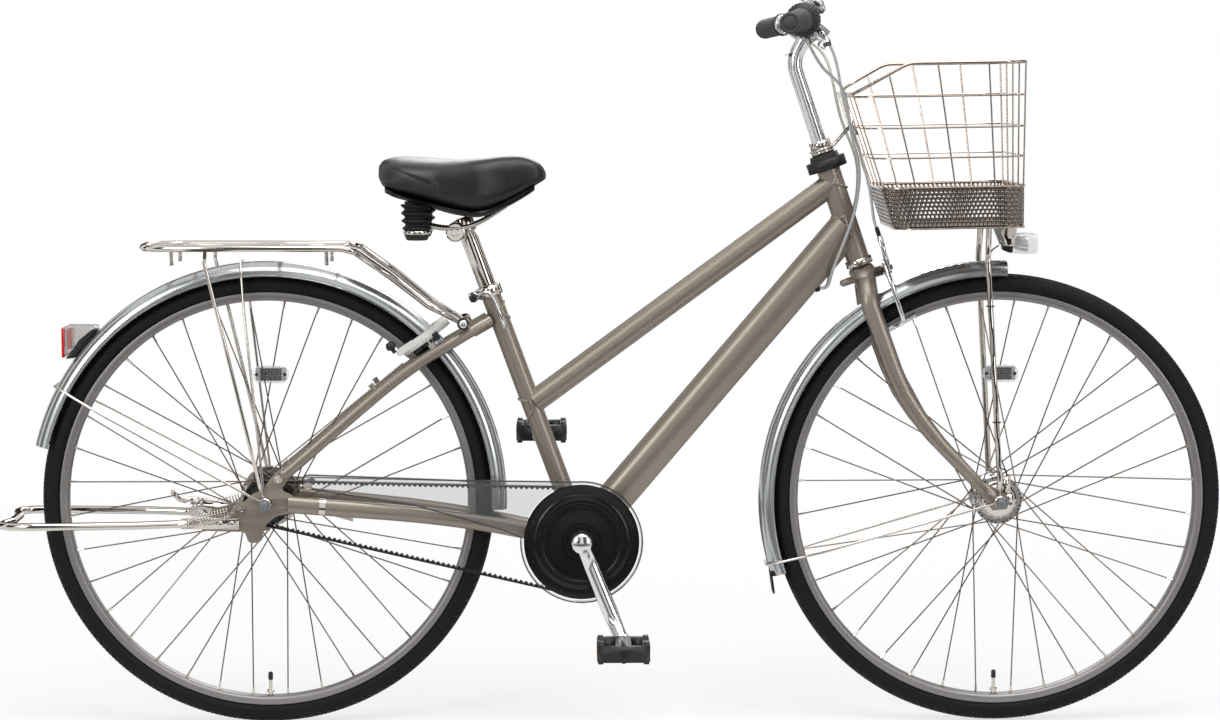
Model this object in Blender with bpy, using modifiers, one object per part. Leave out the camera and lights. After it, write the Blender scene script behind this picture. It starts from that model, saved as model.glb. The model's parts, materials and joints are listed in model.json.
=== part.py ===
"""A city bike with a toothed belt drive, a wire basket, a rear carrier, a ring lock and a two-legged stand.

The bike stands upright on its two tyres. Lengths are in metres, +X is forward, +Y is the rider's left
and +Z is up. The origin is on the ground, midway along the bike.
"""

import math

import bmesh
import bpy
from mathutils import Matrix, Vector

# Clearances between pieces
GAP = 0.0003
RUNNING_GAP = 0.0005
BELT_GAP = 0.0006

# Wheels
WHEEL_RADIUS = 0.3415
WHEELBASE = 1.1043
TYRE_WIDTH = 0.037
RIM_EDGE_RADIUS = 0.3146
RIM_INNER_RADIUS = 0.3017
RIM_BED_RADIUS = 0.3060
RIM_WIDTH = 0.026
RIM_WALL = 0.002
BEAD_DEPTH = 0.0035
SPOKE_RADIUS = 0.001
SPOKES = 36
SPOKE_LACING = math.radians(60)
VALVE_RADIUS = 0.0032
VALVE_LENGTH = 0.034
REFLECTOR_RADIUS = 0.190
REFLECTOR_SIZE = (0.054, 0.010, 0.026)
WHEEL_STEPS = 32

# Front hub, a dynamo
FRONT_FLANGE_RADIUS = 0.037
FRONT_FLANGE_SPACING = 0.058
FRONT_SHELL_RADIUS = 0.033
FRONT_DROPOUT_SPACING = 0.100

# Rear hub, with gears inside
REAR_FLANGE_RADIUS = 0.036
REAR_FLANGE_SPACING = 0.056
REAR_SHELL_RADIUS = 0.030
REAR_DROPOUT_SPACING = 0.120
BRAKE_DRUM_RADIUS = 0.046
AXLE_RADIUS = 0.005
FLANGE_THICKNESS = 0.003
HUB_NECK_END = 0.0410

# Frame
BB_AHEAD = 0.474
BB_DROP = 0.0595
BB_SHELL_RADIUS = 0.0205
BB_SHELL_LENGTH = 0.070
BB_BORE_RADIUS = 0.0170
SEAT_ANGLE = math.radians(69.7)
SEAT_TUBE_LENGTH = 0.408
SEATPOST_RADIUS = 0.0130
POST_CLEARANCE = 0.0004
SEAT_TUBE_WALL = 0.0013
SEAT_TUBE_BORE = SEATPOST_RADIUS + POST_CLEARANCE
SEAT_TUBE_RADIUS = SEAT_TUBE_BORE + SEAT_TUBE_WALL
SEAT_BORE_DEPTH = 0.300
HEAD_ANGLE = math.radians(71.4)
FORK_RAKE = 0.085
FORK_LENGTH = 0.4129
HEAD_TUBE_LENGTH = 0.1418
HEAD_TUBE_RADIUS = 0.0175
HEAD_TUBE_BORE = 0.0148
TOP_TUBE_RADIUS = 0.0175
TOP_TUBE_ON_SEAT = 0.217
TOP_TUBE_ON_HEAD = 0.1205
DOWN_TUBE_DEPTH = 0.054
DOWN_TUBE_WIDTH = 0.044
DOWN_TUBE_ON_HEAD = 0.0515
CABLE_ENTRY_ALONG = 0.520
CABLE_ENTRY_LEFT = 0.0065
CHAIN_STAY_WIDTH = 0.016
CHAIN_STAY_DEPTH = 0.025
SEAT_STAY_RADIUS = 0.009
DROPOUT_THICKNESS = 0.005
STAND_PIN_RADIUS = 0.0038
CARRIER_LUG_AHEAD = 0.300
CARRIER_LUG_ABOVE = 0.2680
CARRIER_LUG_FACE = 0.0400
SEAT_STAY_ROUTE = (
    (0.026, 0.0610, 0.0440), (0.044, 0.0600, 0.0570), (0.170, 0.0500, 0.1650), (0.230, 0.0420, 0.2100),
    (0.276, 0.0375, 0.2380), (0.312, 0.0240, 0.2590), (0.336, 0.0125, 0.2725),
)
CHAIN_STAY_ROUTE = (
    (0.034, 0.0620, -0.0012), (0.100, 0.0575, -0.0070), (0.227, 0.0450, -0.0190), (0.330, 0.0350, -0.0340),
    (0.400, 0.0290, -0.0480), (0.468, 0.0240, -0.0585),
)

# Belt drive
BELT_PITCH = 0.016
BELT_WIDTH = 0.012
BELT_LINE = -0.048
BELT_BACK = 0.0024
BELT_TOOTH_HEIGHT = 0.0030
BELT_ROOT = 0.0008
FRONT_TEETH = 32
REAR_TEETH = 13

# Crank
CRANK_LENGTH = 0.160
CRANK_ANGLE = math.radians(-67.6)
SPINDLE_RADIUS = 0.008
SPINDLE_LENGTH = 0.122
CRANK_INNER_FACE = 0.0605
CRANK_EYE_FACE = 0.0800
CRANK_BOSS_RADIUS = 0.0165
SPINDLE_SQUARE = 0.0110
CRANK_EYE_RADIUS = 0.0145
COVER_DISC_RADIUS = 0.087
PEDAL_AXLE_RADIUS = 0.0045
PEDAL_SHOULDER = CRANK_EYE_FACE + 0.0135
PEDAL_START = PEDAL_SHOULDER + 0.0035
PEDAL_LENGTH = 0.078
PEDAL_WIDTH = 0.092
PEDAL_HEIGHT = 0.032

# Front end
BAR_RADIUS = 0.0111
BAR_HALF_WIDTH = 0.280
GRIP_RADIUS = 0.0155
GRIP_LENGTH = 0.095
STEERER_RADIUS = 0.0127
STEERER_BORE = 0.0116
QUILL_RADIUS = 0.0110
STEM_HEIGHT = 0.3140
STEM_REACH = 0.0360
STEM_RISE = 0.0330
FORK_BLADE_DEPTH = 0.029
FORK_BLADE_WIDTH = 0.018

# Basket
BASKET_WIRE = 0.0018
BASKET_RIM_WIRE = 0.0028
BASKET_SHEET = 0.0012

# Seat; the saddle's own measures start at a point behind and below the top of the seat tube
SADDLE_ZERO_BACK = 0.332450254158
SADDLE_ZERO_DROP = 0.323158685322
SADDLE_LENGTH = 0.249
SADDLE_WIDTH = 0.216

# Mudguards
MUDGUARD_RADIUS = 0.361
MUDGUARD_WIDTH = 0.054
MUDGUARD_DEPTH = 0.021
MUDGUARD_WALL = 0.0012
STAY_RADIUS = 0.0025

# Carrier
CARRIER_HEIGHT = 0.7250
CARRIER_WIDTH = 0.150
CARRIER_TUBE = 0.0055
CARRIER_ROD = 0.0035

# Stand
STAND_PIVOT_BACK = 0.0500
STAND_PIVOT_DROP = 0.0290
STAND_LEG_LENGTH = 0.3427
STAND_TAB_LENGTH = 0.0757
STAND_TUBE = 0.0060
STAND_SPREAD = 0.100

# Ring lock
LOCK_ANGLE = math.radians(36)
LOCK_AHEAD = 0.2310
LOCK_ABOVE = 0.2430
LOCK_RING_RADIUS = 0.0425
LOCK_BODY_WIDTH = 0.0150
LOCK_BODY_THICKNESS = 0.0140
SHACKLE_RADIUS = 0.0038

# The bike's length runs from the foot of the folded stand to the front of the front tyre
LENGTH_AHEAD = WHEELBASE + WHEEL_RADIUS
LENGTH_BEHIND = STAND_PIVOT_BACK + STAND_LEG_LENGTH + STAND_TUBE
REAR_X = (LENGTH_BEHIND - LENGTH_AHEAD) / 2

X_AXIS = Vector((1, 0, 0))
Y_AXIS = Vector((0, 1, 0))
Z_AXIS = Vector((0, 0, 1))
RIGHT = -Y_AXIS
LEFT = Y_AXIS

REAR_AXLE = Vector((REAR_X, 0, WHEEL_RADIUS))
FRONT_AXLE = REAR_AXLE + WHEELBASE * X_AXIS
BOTTOM_BRACKET = REAR_AXLE + Vector((BB_AHEAD, 0, -BB_DROP))
SEAT_UP = Vector((-math.cos(SEAT_ANGLE), 0, math.sin(SEAT_ANGLE)))
SEAT_BACK = Vector((-math.sin(SEAT_ANGLE), 0, -math.cos(SEAT_ANGLE)))
SEAT_TOP = BOTTOM_BRACKET + SEAT_TUBE_LENGTH * SEAT_UP
HEAD_UP = Vector((-math.cos(HEAD_ANGLE), 0, math.sin(HEAD_ANGLE)))
HEAD_FORWARD = Vector((math.sin(HEAD_ANGLE), 0, math.cos(HEAD_ANGLE)))
HEAD_BOTTOM = FRONT_AXLE - FORK_RAKE * HEAD_FORWARD + FORK_LENGTH * HEAD_UP
SADDLE_ZERO_AHEAD = BB_AHEAD - SEAT_TUBE_LENGTH * math.cos(SEAT_ANGLE) - SADDLE_ZERO_BACK
SADDLE_ZERO_UP = -BB_DROP + SEAT_TUBE_LENGTH * math.sin(SEAT_ANGLE) - SADDLE_ZERO_DROP
REAR_END = REAR_DROPOUT_SPACING / 2
FRONT_END = FRONT_DROPOUT_SPACING / 2


def from_rear(ahead, left, up):
    """The point that lies so far ahead, left of and above the rear axle."""
    return REAR_AXLE + Vector((ahead, left, up))


def from_front(ahead, left, up):
    """The point that lies so far ahead, left of and above the front axle."""
    return FRONT_AXLE + Vector((ahead, left, up))


def from_saddle(ahead, left, up):
    """The point that lies so far ahead, left of and above the saddle's zero."""
    return from_rear(SADDLE_ZERO_AHEAD + ahead, left, SADDLE_ZERO_UP + up)


def on_head(along, forward=0.0, left=0.0):
    """The point so far up the steering axis from the head tube's foot, and so far ahead of it."""
    return HEAD_BOTTOM + along * HEAD_UP + forward * HEAD_FORWARD + left * Y_AXIS


# Scene and collections

def clear_scene():
    for obj in list(bpy.data.objects):
        bpy.data.objects.remove(obj)


def new_collection(name):
    collection = bpy.data.collections.new(name)
    bpy.context.scene.collection.children.link(collection)
    return collection


clear_scene()
PARTS = new_collection("city_bike")
CUTTERS = new_collection("cutters")


def add(name, data):
    obj = bpy.data.objects.new(name, data)
    PARTS.objects.link(obj)
    return obj


# Materials

def material(name, colour, roughness, metallic):
    result = bpy.data.materials.new(name)
    result.use_nodes = True
    shader = result.node_tree.nodes["Principled BSDF"]
    shader.inputs["Base Color"].default_value = (*colour, 1)
    shader.inputs["Roughness"].default_value = roughness
    shader.inputs["Metallic"].default_value = metallic
    return result


PAINT = material("satin_frame_paint", (0.33, 0.29, 0.25), 0.42, 0.6)
CHROME = material("polished_steel", (0.72, 0.70, 0.68), 0.14, 1.0)
ALUMINIUM = material("bright_aluminium", (0.68, 0.68, 0.69), 0.28, 1.0)
RIM_METAL = material("satin_rim", (0.50, 0.49, 0.48), 0.40, 1.0)
GUARD_METAL = material("mudguard_grey", (0.45, 0.47, 0.48), 0.32, 0.8)
DARK_METAL = material("dark_hub", (0.10, 0.10, 0.10), 0.40, 0.8)
RUBBER = material("tyre_rubber", (0.015, 0.015, 0.016), 0.75, 0.0)
BLACK_PLASTIC = material("black_plastic", (0.02, 0.02, 0.02), 0.45, 0.0)
GLOSS_BLACK = material("gloss_black", (0.012, 0.012, 0.012), 0.12, 0.0)
GREY_PLASTIC = material("grey_plastic", (0.62, 0.62, 0.60), 0.45, 0.0)
CLEAR_PLASTIC = material("clear_plastic", (0.80, 0.82, 0.84), 0.08, 0.0)
LEATHER = material("saddle_cover", (0.02, 0.02, 0.021), 0.5, 0.0)
LAMP = material("lamp", (0.75, 0.77, 0.80), 0.08, 0.0)
RED_LENS = material("red_lens", (0.60, 0.02, 0.02), 0.15, 0.0)
CABLE_HOUSING = material("cable_housing", (0.30, 0.33, 0.28), 0.5, 0.0)


# Meshes from curves and modifiers

def as_mesh(obj):
    """Replaces an object by the mesh that its curve or modifiers give, in world space."""
    bpy.context.view_layer.update()
    graph = bpy.context.evaluated_depsgraph_get()
    mesh = bpy.data.meshes.new_from_object(obj.evaluated_get(graph), depsgraph=graph)
    mesh.transform(obj.matrix_world)
    bm = bmesh.new()
    bm.from_mesh(mesh)
    bmesh.ops.remove_doubles(bm, verts=bm.verts, dist=1e-6)
    bmesh.ops.recalc_face_normals(bm, faces=bm.faces)
    bm.to_mesh(mesh)
    bm.free()
    name = obj.name
    bpy.data.objects.remove(obj)
    return add(name, mesh)


def boolean(body, tool, operation):
    """Joins a tool to a body, or cuts it out, and removes the tool."""
    PARTS.objects.unlink(tool)
    CUTTERS.objects.link(tool)
    tool.hide_render = True
    tool.display_type = "WIRE"
    modifier = body.modifiers.new(operation.lower(), "BOOLEAN")
    modifier.operation = operation
    modifier.object = tool
    modifier.solver = "EXACT"
    name = body.name
    result = as_mesh(body)
    bpy.data.objects.remove(tool)
    result.name = name
    return result


def join(body, *tools):
    for tool in tools:
        body = boolean(body, tool, "UNION")
    return body


def cut(body, *tools):
    for tool in tools:
        body = boolean(body, tool, "DIFFERENCE")
    return body


def finish(obj, name, finish_material, origin=None, smooth=35):
    """Names and paints a finished piece, shades it and puts its origin on its joint's axis."""
    obj.name = name
    obj.data.materials.clear()
    obj.data.materials.append(finish_material)
    if obj.type == "MESH":
        obj.data.shade_smooth()
        obj.data.set_sharp_from_angle(angle=math.radians(smooth))
    if origin is not None and obj.type == "MESH" and not obj.modifiers:
        obj.data.transform(Matrix.Translation(-origin))
        obj.location = origin
    return obj


# Frames of reference for shapes

def frame_matrix(origin, x_direction, z_direction):
    """A placement with the given origin, its Z along one direction and its X near the other."""
    z = Vector(z_direction).normalized()
    x = Vector(x_direction)
    x = (x - x.dot(z) * z).normalized()
    y = z.cross(x)
    matrix = Matrix((x, y, z)).transposed().to_4x4()
    matrix.translation = origin
    return matrix


def side_matrix(origin):
    """Draws in side view: local X is forward, local Y is up and local Z points to the right side."""
    return frame_matrix(origin, X_AXIS, RIGHT)


def axis_matrix(origin, direction):
    """Puts local Z along a direction, with any X."""
    helper = X_AXIS if abs(Vector(direction).normalized().x) < 0.9 else Z_AXIS
    return frame_matrix(origin, helper, direction)


# Basic shapes

def rod(start, end, radius, end_radius=None, sides=8):
    """A cylinder or cone between two points."""
    start = Vector(start)
    end = Vector(end)
    bm = bmesh.new()
    bmesh.ops.create_cone(
        bm,
        cap_ends=True,
        segments=sides,
        radius1=radius,
        radius2=radius if end_radius is None else end_radius,
        depth=(end - start).length,
    )
    mesh = bpy.data.meshes.new("rod")
    bm.to_mesh(mesh)
    bm.free()
    mesh.transform(axis_matrix((start + end) / 2, end - start))
    return add("rod", mesh)


def box(centre, size, matrix=None):
    """A box of the given size, turned by a placement matrix where one is given."""
    bm = bmesh.new()
    bmesh.ops.create_cube(bm, size=1, matrix=Matrix.Diagonal((*size, 1)))
    mesh = bpy.data.meshes.new("box")
    bm.to_mesh(mesh)
    bm.free()
    if matrix is not None:
        mesh.transform(matrix.to_3x3().to_4x4())
    mesh.transform(Matrix.Translation(Vector(centre)))
    return add("box", mesh)


def turned(outline, matrix, steps=24, angle=math.tau, ring=False):
    """An outline of (radius, height) points turned about local Z.

    The outline runs from the top down its outer side. A ring's outline returns up its inner side and
    closes on its first point, and any other starts and ends on the axis.
    """
    bm = bmesh.new()
    verts = [bm.verts.new((radius, 0, height)) for radius, height in outline]
    for first, second in zip(verts, verts[1:]):
        bm.edges.new((first, second))
    if ring:
        bm.edges.new((verts[-1], verts[0]))
    mesh = bpy.data.meshes.new("turned")
    bm.to_mesh(mesh)
    bm.free()
    obj = add("turned", mesh)
    obj.matrix_world = matrix
    screw = obj.modifiers.new("screw", "SCREW")
    screw.axis = "Z"
    screw.angle = angle
    screw.steps = steps
    screw.render_steps = steps
    screw.use_merge_vertices = True
    screw.merge_threshold = 0.00001
    return as_mesh(obj)


def tube(points, radius, radii=None, resolution=2, cyclic=False):
    """A round wire or tube through the given points."""
    curve = bpy.data.curves.new("tube", "CURVE")
    curve.dimensions = "3D"
    curve.bevel_depth = radius
    curve.bevel_resolution = resolution
    curve.use_fill_caps = not cyclic
    spline = curve.splines.new("POLY")
    spline.points.add(len(points) - 1)
    for index, point in enumerate(points):
        spline.points[index].co = (*point, 1)
        spline.points[index].radius = 1 if radii is None else radii[index] / radius
    spline.use_cyclic_u = cyclic
    return as_mesh(add("tube", curve))


def extruded(outlines, thickness, matrix):
    """Flat outlines in local X and Y, thickened along local Z. Outlines inside the first are holes."""
    curve = bpy.data.curves.new("plate", "CURVE")
    curve.dimensions = "2D"
    curve.fill_mode = "BOTH"
    curve.extrude = thickness / 2
    for outline in outlines:
        spline = curve.splines.new("POLY")
        spline.points.add(len(outline) - 1)
        for index, (x, y) in enumerate(outline):
            spline.points[index].co = (x, y, 0, 1)
        spline.use_cyclic_u = True
    obj = add("plate", curve)
    obj.matrix_world = matrix
    return as_mesh(obj)


def beam(start, end, outline, up):
    """A straight bar of constant section. The section's local Y points towards up."""
    along = end - start
    sideways = Vector(up).cross(along)
    matrix = frame_matrix((start + end) / 2, sideways, along)
    return extruded([outline], along.length, matrix)


def loft(sections):
    """A closed skin over rings of points that all have the same count."""
    bm = bmesh.new()
    rings = [[bm.verts.new(point) for point in section] for section in sections]
    count = len(rings[0])
    for first, second in zip(rings, rings[1:]):
        for index in range(count):
            after = (index + 1) % count
            bm.faces.new((first[index], first[after], second[after], second[index]))
    bm.faces.new(list(reversed(rings[0])))
    bm.faces.new(rings[-1])
    bmesh.ops.recalc_face_normals(bm, faces=bm.faces)
    mesh = bpy.data.meshes.new("loft")
    bm.to_mesh(mesh)
    bm.free()
    return add("loft", mesh)


def stretched(obj, factors, centre):
    """Scales a mesh about a point, by a factor along each world axis."""
    matrix = Matrix.Translation(centre) @ Matrix.Diagonal((*factors, 1)) @ Matrix.Translation(-centre)
    obj.data.transform(matrix)
    return obj


# Outlines and paths

def circle(x, y, radius, count=16):
    return [
        (x + radius * math.cos(math.tau * k / count), y + radius * math.sin(math.tau * k / count))
        for k in range(count)
    ]


def clear_radius(radius, sides, gap=GAP):
    """The corner radius of a many-sided hole whose flats clear a round pin by the gap."""
    return (radius + gap) / math.cos(math.pi / sides)


def bore(x, y, radius, sides=8, gap=GAP):
    """The outline of a hole that lets through a pin of the given radius, with a gap."""
    return circle(x, y, clear_radius(radius, sides, gap), sides)


def arc(x, y, radius, first, last, count):
    """Points on an arc from one angle to another, in degrees."""
    return [
        (
            x + radius * math.cos(math.radians(first + (last - first) * k / count)),
            y + radius * math.sin(math.radians(first + (last - first) * k / count)),
        )
        for k in range(count + 1)
    ]


def rounded(outline, radius, count=4):
    """A closed outline with each corner turned into an arc of the given radius."""
    result = []
    corners = [Vector(point) for point in outline]
    for index, corner in enumerate(corners):
        result += corner_arc(corners[index - 1], corner, corners[(index + 1) % len(corners)], radius, count)
    return [tuple(point) for point in result]


def bent(points, radius, count=4):
    """An open path with each inner corner turned into an arc of the given radius."""
    path = [Vector(point) for point in points]
    result = [path[0]]
    for before, corner, after in zip(path, path[1:], path[2:]):
        result += corner_arc(before, corner, after, radius, count)
    return result + [path[-1]]


def corner_arc(before, corner, after, radius, count):
    """The points of the arc that rounds one corner of a path."""
    to_before = (before - corner).normalized()
    to_after = (after - corner).normalized()
    half = math.acos(max(-1.0, min(1.0, to_before.dot(to_after)))) / 2
    if half > math.radians(88):
        return [corner]
    room = 0.45 * min((before - corner).length, (after - corner).length)
    reach = min(radius / math.tan(half), room)
    used = reach * math.tan(half)
    centre = corner + (to_before + to_after).normalized() * (used / math.sin(half))
    start = corner + to_before * reach - centre
    end = corner + to_after * reach - centre
    turn = math.pi - 2 * half
    points = []
    for k in range(count + 1):
        share = k / count
        points.append(
            centre
            + (math.sin((1 - share) * turn) * start + math.sin(share * turn) * end) / math.sin(turn)
        )
    return points


def smooth_path(points, per_span=6):
    """A smooth curve through a few points, read off at even steps."""
    path = [Vector(point) for point in points]
    padded = [2 * path[0] - path[1]] + path + [2 * path[-1] - path[-2]]
    result = []
    for p0, p1, p2, p3 in zip(padded, padded[1:], padded[2:], padded[3:]):
        for k in range(per_span):
            t = k / per_span
            result.append(
                0.5
                * (
                    2 * p1
                    + (p2 - p0) * t
                    + (2 * p0 - 5 * p1 + 4 * p2 - p3) * t ** 2
                    + (3 * p1 - p0 - 3 * p2 + p3) * t ** 3
                )
            )
    return result + [path[-1]]


# Main frame

def down_tube_section():
    """An oval tube with a flat keel."""
    half_width = DOWN_TUBE_WIDTH / 2
    half_depth = DOWN_TUBE_DEPTH / 2
    keel = half_width * 0.42
    upper = [
        (half_width * math.cos(math.radians(angle)),
            half_depth * 0.86 * math.sin(math.radians(angle)) + 0.0038)
        for angle in range(-12, 193, 34)
    ]
    return upper + [(-half_width * 0.80, -half_depth * 0.45), (-keel, -half_depth), (keel, -half_depth),
                    (half_width * 0.80, -half_depth * 0.45)]


def cable_entry(side):
    """Where a cable goes into the down tube's keel on one side, and its direction there."""
    along = (on_head(DOWN_TUBE_ON_HEAD) - BOTTOM_BRACKET).normalized()
    down = Vector((along.z, 0, -along.x))
    surface = BOTTOM_BRACKET + CABLE_ENTRY_ALONG * along + DOWN_TUBE_DEPTH / 2 * down
    return surface + side * CABLE_ENTRY_LEFT * Y_AXIS, (-0.8 * along - 0.6 * down).normalized()


def make_main_frame():
    seat_tube = rod(BOTTOM_BRACKET, SEAT_TOP, SEAT_TUBE_RADIUS, sides=14)
    shell_half = BB_SHELL_LENGTH / 2 * Y_AXIS
    shell = rod(BOTTOM_BRACKET - shell_half, BOTTOM_BRACKET + shell_half, BB_SHELL_RADIUS, sides=14)
    head_tube = turned(
        [
            (HEAD_TUBE_BORE, HEAD_TUBE_LENGTH), (HEAD_TUBE_RADIUS, HEAD_TUBE_LENGTH), (HEAD_TUBE_RADIUS, 0),
            (HEAD_TUBE_BORE, 0),
        ],
        frame_matrix(HEAD_BOTTOM, HEAD_FORWARD, HEAD_UP),
        steps=14,
        ring=True,
    )
    top_tube = rod(
        BOTTOM_BRACKET + TOP_TUBE_ON_SEAT * SEAT_UP, on_head(TOP_TUBE_ON_HEAD), TOP_TUBE_RADIUS, sides=12
    )
    down_tube = beam(BOTTOM_BRACKET, on_head(DOWN_TUBE_ON_HEAD), down_tube_section(), Z_AXIS)
    frame = join(down_tube, shell, seat_tube, top_tube)
    head_bore = rod(on_head(-0.01), on_head(HEAD_TUBE_LENGTH + 0.01), HEAD_TUBE_BORE + 0.0008, sides=14)
    frame = join(cut(frame, head_bore), head_tube)
    seat_bore = rod(SEAT_TOP - SEAT_BORE_DEPTH * SEAT_UP, SEAT_TOP + 0.01 * SEAT_UP, SEAT_TUBE_BORE,
        sides=14)
    bb_bore = rod(BOTTOM_BRACKET - 2 * shell_half, BOTTOM_BRACKET + 2 * shell_half, BB_BORE_RADIUS,
        sides=12)
    slot_centre = SEAT_TOP + SEAT_TUBE_RADIUS * SEAT_BACK
    slot = box(slot_centre, (0.012, 0.002, 0.050), frame_matrix(slot_centre, X_AXIS, SEAT_UP))
    holes = []
    for side in (-1, 1):
        surface, way = cable_entry(side)
        holes.append(rod(surface - 0.020 * way, surface + 0.026 * way, CABLE_RADIUS + 3 * RUNNING_GAP,
            sides=6))
    return finish(cut(frame, seat_bore, bb_bore, slot, *holes), "main_frame", PAINT)


# Rear triangle: chain stays, seat stays and dropout plates, with the stand's brackets

def dropout_outline():
    """The plate round the axle, with arms to both stays, back to the stand and an ear for its spring."""
    return [
        (0.044, 0.0115), (0.044, -0.0130), (0.016, -0.0180), (-0.002, -0.0340), (-0.006, -0.0580),
        (-0.026, -0.0590), (-0.030, -0.0420), (-0.094, -0.0400), (-0.098, -0.0240), (-0.052, -0.0140),
        (-0.046, 0.0000), (-0.034, 0.0010), (-0.018, 0.0160), (-0.006, 0.0200), (0.010, 0.0400),
        (0.022, 0.0530), (0.038, 0.0420), (0.024, 0.0210),
    ]


def chain_stay_solid(side, grow=0.0):
    """One oval chain stay, from its dropout to the bottom bracket."""
    squash = CHAIN_STAY_DEPTH / CHAIN_STAY_WIDTH
    path = [from_rear(x, side * y, z / squash) for x, y, z in CHAIN_STAY_ROUTE]
    return stretched(tube(path, CHAIN_STAY_WIDTH / 2 + grow, resolution=2), (1, 1, squash), REAR_AXLE)


def seat_stay_solid(side, grow=0.0):
    """One seat stay, from its dropout to the seat tube."""
    path = [from_rear(x, side * y, z) for x, y, z in SEAT_STAY_ROUTE]
    return tube(path, SEAT_STAY_RADIUS + grow, resolution=2)


def make_rear_triangle():
    sides = []
    for side in (-1, 1):
        plate = extruded(
            [
                dropout_outline(),
                bore(0, 0, AXLE_RADIUS),
                bore(-STAND_PIVOT_BACK, -STAND_PIVOT_DROP, STAND_PIN_RADIUS),
            ],
            DROPOUT_THICKNESS,
            side_matrix(REAR_AXLE + side * (REAR_END + DROPOUT_THICKNESS / 2) * Y_AXIS),
        )
        lug_start = from_rear(CARRIER_LUG_AHEAD, side * 0.0260, CARRIER_LUG_ABOVE)
        lug_end = from_rear(CARRIER_LUG_AHEAD, side * CARRIER_LUG_FACE, CARRIER_LUG_ABOVE)
        lug = rod(lug_start, lug_end, 0.0075)
        post_start = spring_post(side) - side * (SPRING_POST_LEFT - REAR_END - 0.002) * Y_AXIS
        post = rod(post_start, spring_post(side) + side * 0.004 * Y_AXIS, SPRING_POST_RADIUS, sides=6)
        sides.append(join(plate, chain_stay_solid(side), seat_stay_solid(side), lug, post))
    yoke = rod(from_rear(0.308, 0, 0.2570), from_rear(0.334, 0, 0.2720), 0.0125, sides=10)
    chain_bridge = rod(from_rear(0.392, -0.030, -0.047), from_rear(0.392, 0.030, -0.047), 0.0065, sides=6)
    triangle = join(sides[0], chain_bridge, yoke, sides[1])
    seat_clear = rod(BOTTOM_BRACKET, SEAT_TOP, SEAT_TUBE_RADIUS + GAP, sides=14)
    shell_half = (BB_SHELL_LENGTH / 2 + 0.01) * Y_AXIS
    shell_clear = rod(
        BOTTOM_BRACKET - shell_half, BOTTOM_BRACKET + shell_half, BB_SHELL_RADIUS + GAP, sides=14
    )
    return finish(cut(triangle, seat_clear, shell_clear), "rear_triangle", PAINT)


# Wheels

def make_tyre(name, centre):
    half = TYRE_WIDTH / 2
    bead = RIM_WIDTH / 2 - RIM_WALL - GAP
    tread = [
        (RIM_EDGE_RADIUS - BEAD_DEPTH, bead), (RIM_EDGE_RADIUS + GAP, bead), (WHEEL_RADIUS - 0.0125, half),
        (WHEEL_RADIUS, half * 0.45),
    ]
    outline = tread + [(radius, -height) for radius, height in reversed(tread)]
    return finish(turned(outline, side_matrix(centre), WHEEL_STEPS, ring=True), name, RUBBER, centre)


def make_rim(name, centre, flange_radius, flange_spacing):
    """A hooked rim with its valve, the spokes that pull on it and the reflector that they carry."""
    half = RIM_WIDTH / 2
    outline = [
        (RIM_BED_RADIUS, half - RIM_WALL), (RIM_EDGE_RADIUS, half - RIM_WALL), (RIM_EDGE_RADIUS, half),
        (RIM_INNER_RADIUS, half * 0.84), (RIM_INNER_RADIUS, -half * 0.84), (RIM_EDGE_RADIUS, -half),
        (RIM_EDGE_RADIUS, RIM_WALL - half), (RIM_BED_RADIUS, RIM_WALL - half),
    ]
    rim = turned(outline, side_matrix(centre), WHEEL_STEPS, ring=True)
    foot = centre - (RIM_BED_RADIUS - 0.002) * Z_AXIS
    valve = rod(foot, foot + VALVE_LENGTH * Z_AXIS, VALVE_RADIUS, VALVE_RADIUS * 0.85, sides=6)
    spokes = [spoke(centre, flange_radius, flange_spacing / 2, index) for index in range(SPOKES)]
    lens = box(centre + Vector((0.005, -0.006, REFLECTOR_RADIUS)), REFLECTOR_SIZE)
    return finish(join(rim, valve, *spokes, lens), name, RIM_METAL, centre)


def spoke(centre, flange_radius, flange_y, index):
    """One spoke from its flange's edge to the rim. The spokes of a flange cross in pairs."""
    rim_angle = math.radians(90) + math.tau / SPOKES * (index + 0.5)
    lean = SPOKE_LACING if index // 2 % 2 else -SPOKE_LACING
    hub_angle = rim_angle + lean
    side = 1 if index % 2 else -1
    hub_radius = flange_radius + 2 * GAP
    outer = RIM_INNER_RADIUS + 0.002
    layer = SPOKE_RADIUS + GAP if index // 2 % 2 else -SPOKE_RADIUS - GAP
    start = centre + Vector((0, side * flange_y + layer, 0))
    start += hub_radius * Vector((math.cos(hub_angle), 0, math.sin(hub_angle)))
    end = centre + Vector((outer * math.cos(rim_angle), side * 0.0015, outer * math.sin(rim_angle)))
    return rod(start, end, SPOKE_RADIUS, sides=3)


def make_hub(name, centre, flange_radius, flange_spacing, shell_radius, neck_side, neck_end,
    finish_material):
    """A hub shell with its two flanges and a neck on its right (-1) or left (1) side."""
    flange = flange_spacing / 2
    rim = flange + FLANGE_THICKNESS / 2
    web = flange - FLANGE_THICKNESS / 2
    hole = clear_radius(AXLE_RADIUS, 16, RUNNING_GAP)
    neck = 0.0120
    outline = [
        (flange_radius, rim), (flange_radius, web), (shell_radius, web - 0.003), (shell_radius,
            -web + 0.003),
        (flange_radius, -web), (flange_radius, -rim),
    ]
    if neck_side < 0:
        outline = [(hole, neck_end), (neck, neck_end), (neck, rim)] + outline + [(hole, -rim)]
    else:
        outline = [(hole, rim)] + outline + [(neck, -rim), (neck, -neck_end), (hole, -neck_end)]
    hub = turned(outline, side_matrix(centre), 16, ring=True)
    return finish(hub, name, finish_material, centre)


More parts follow.
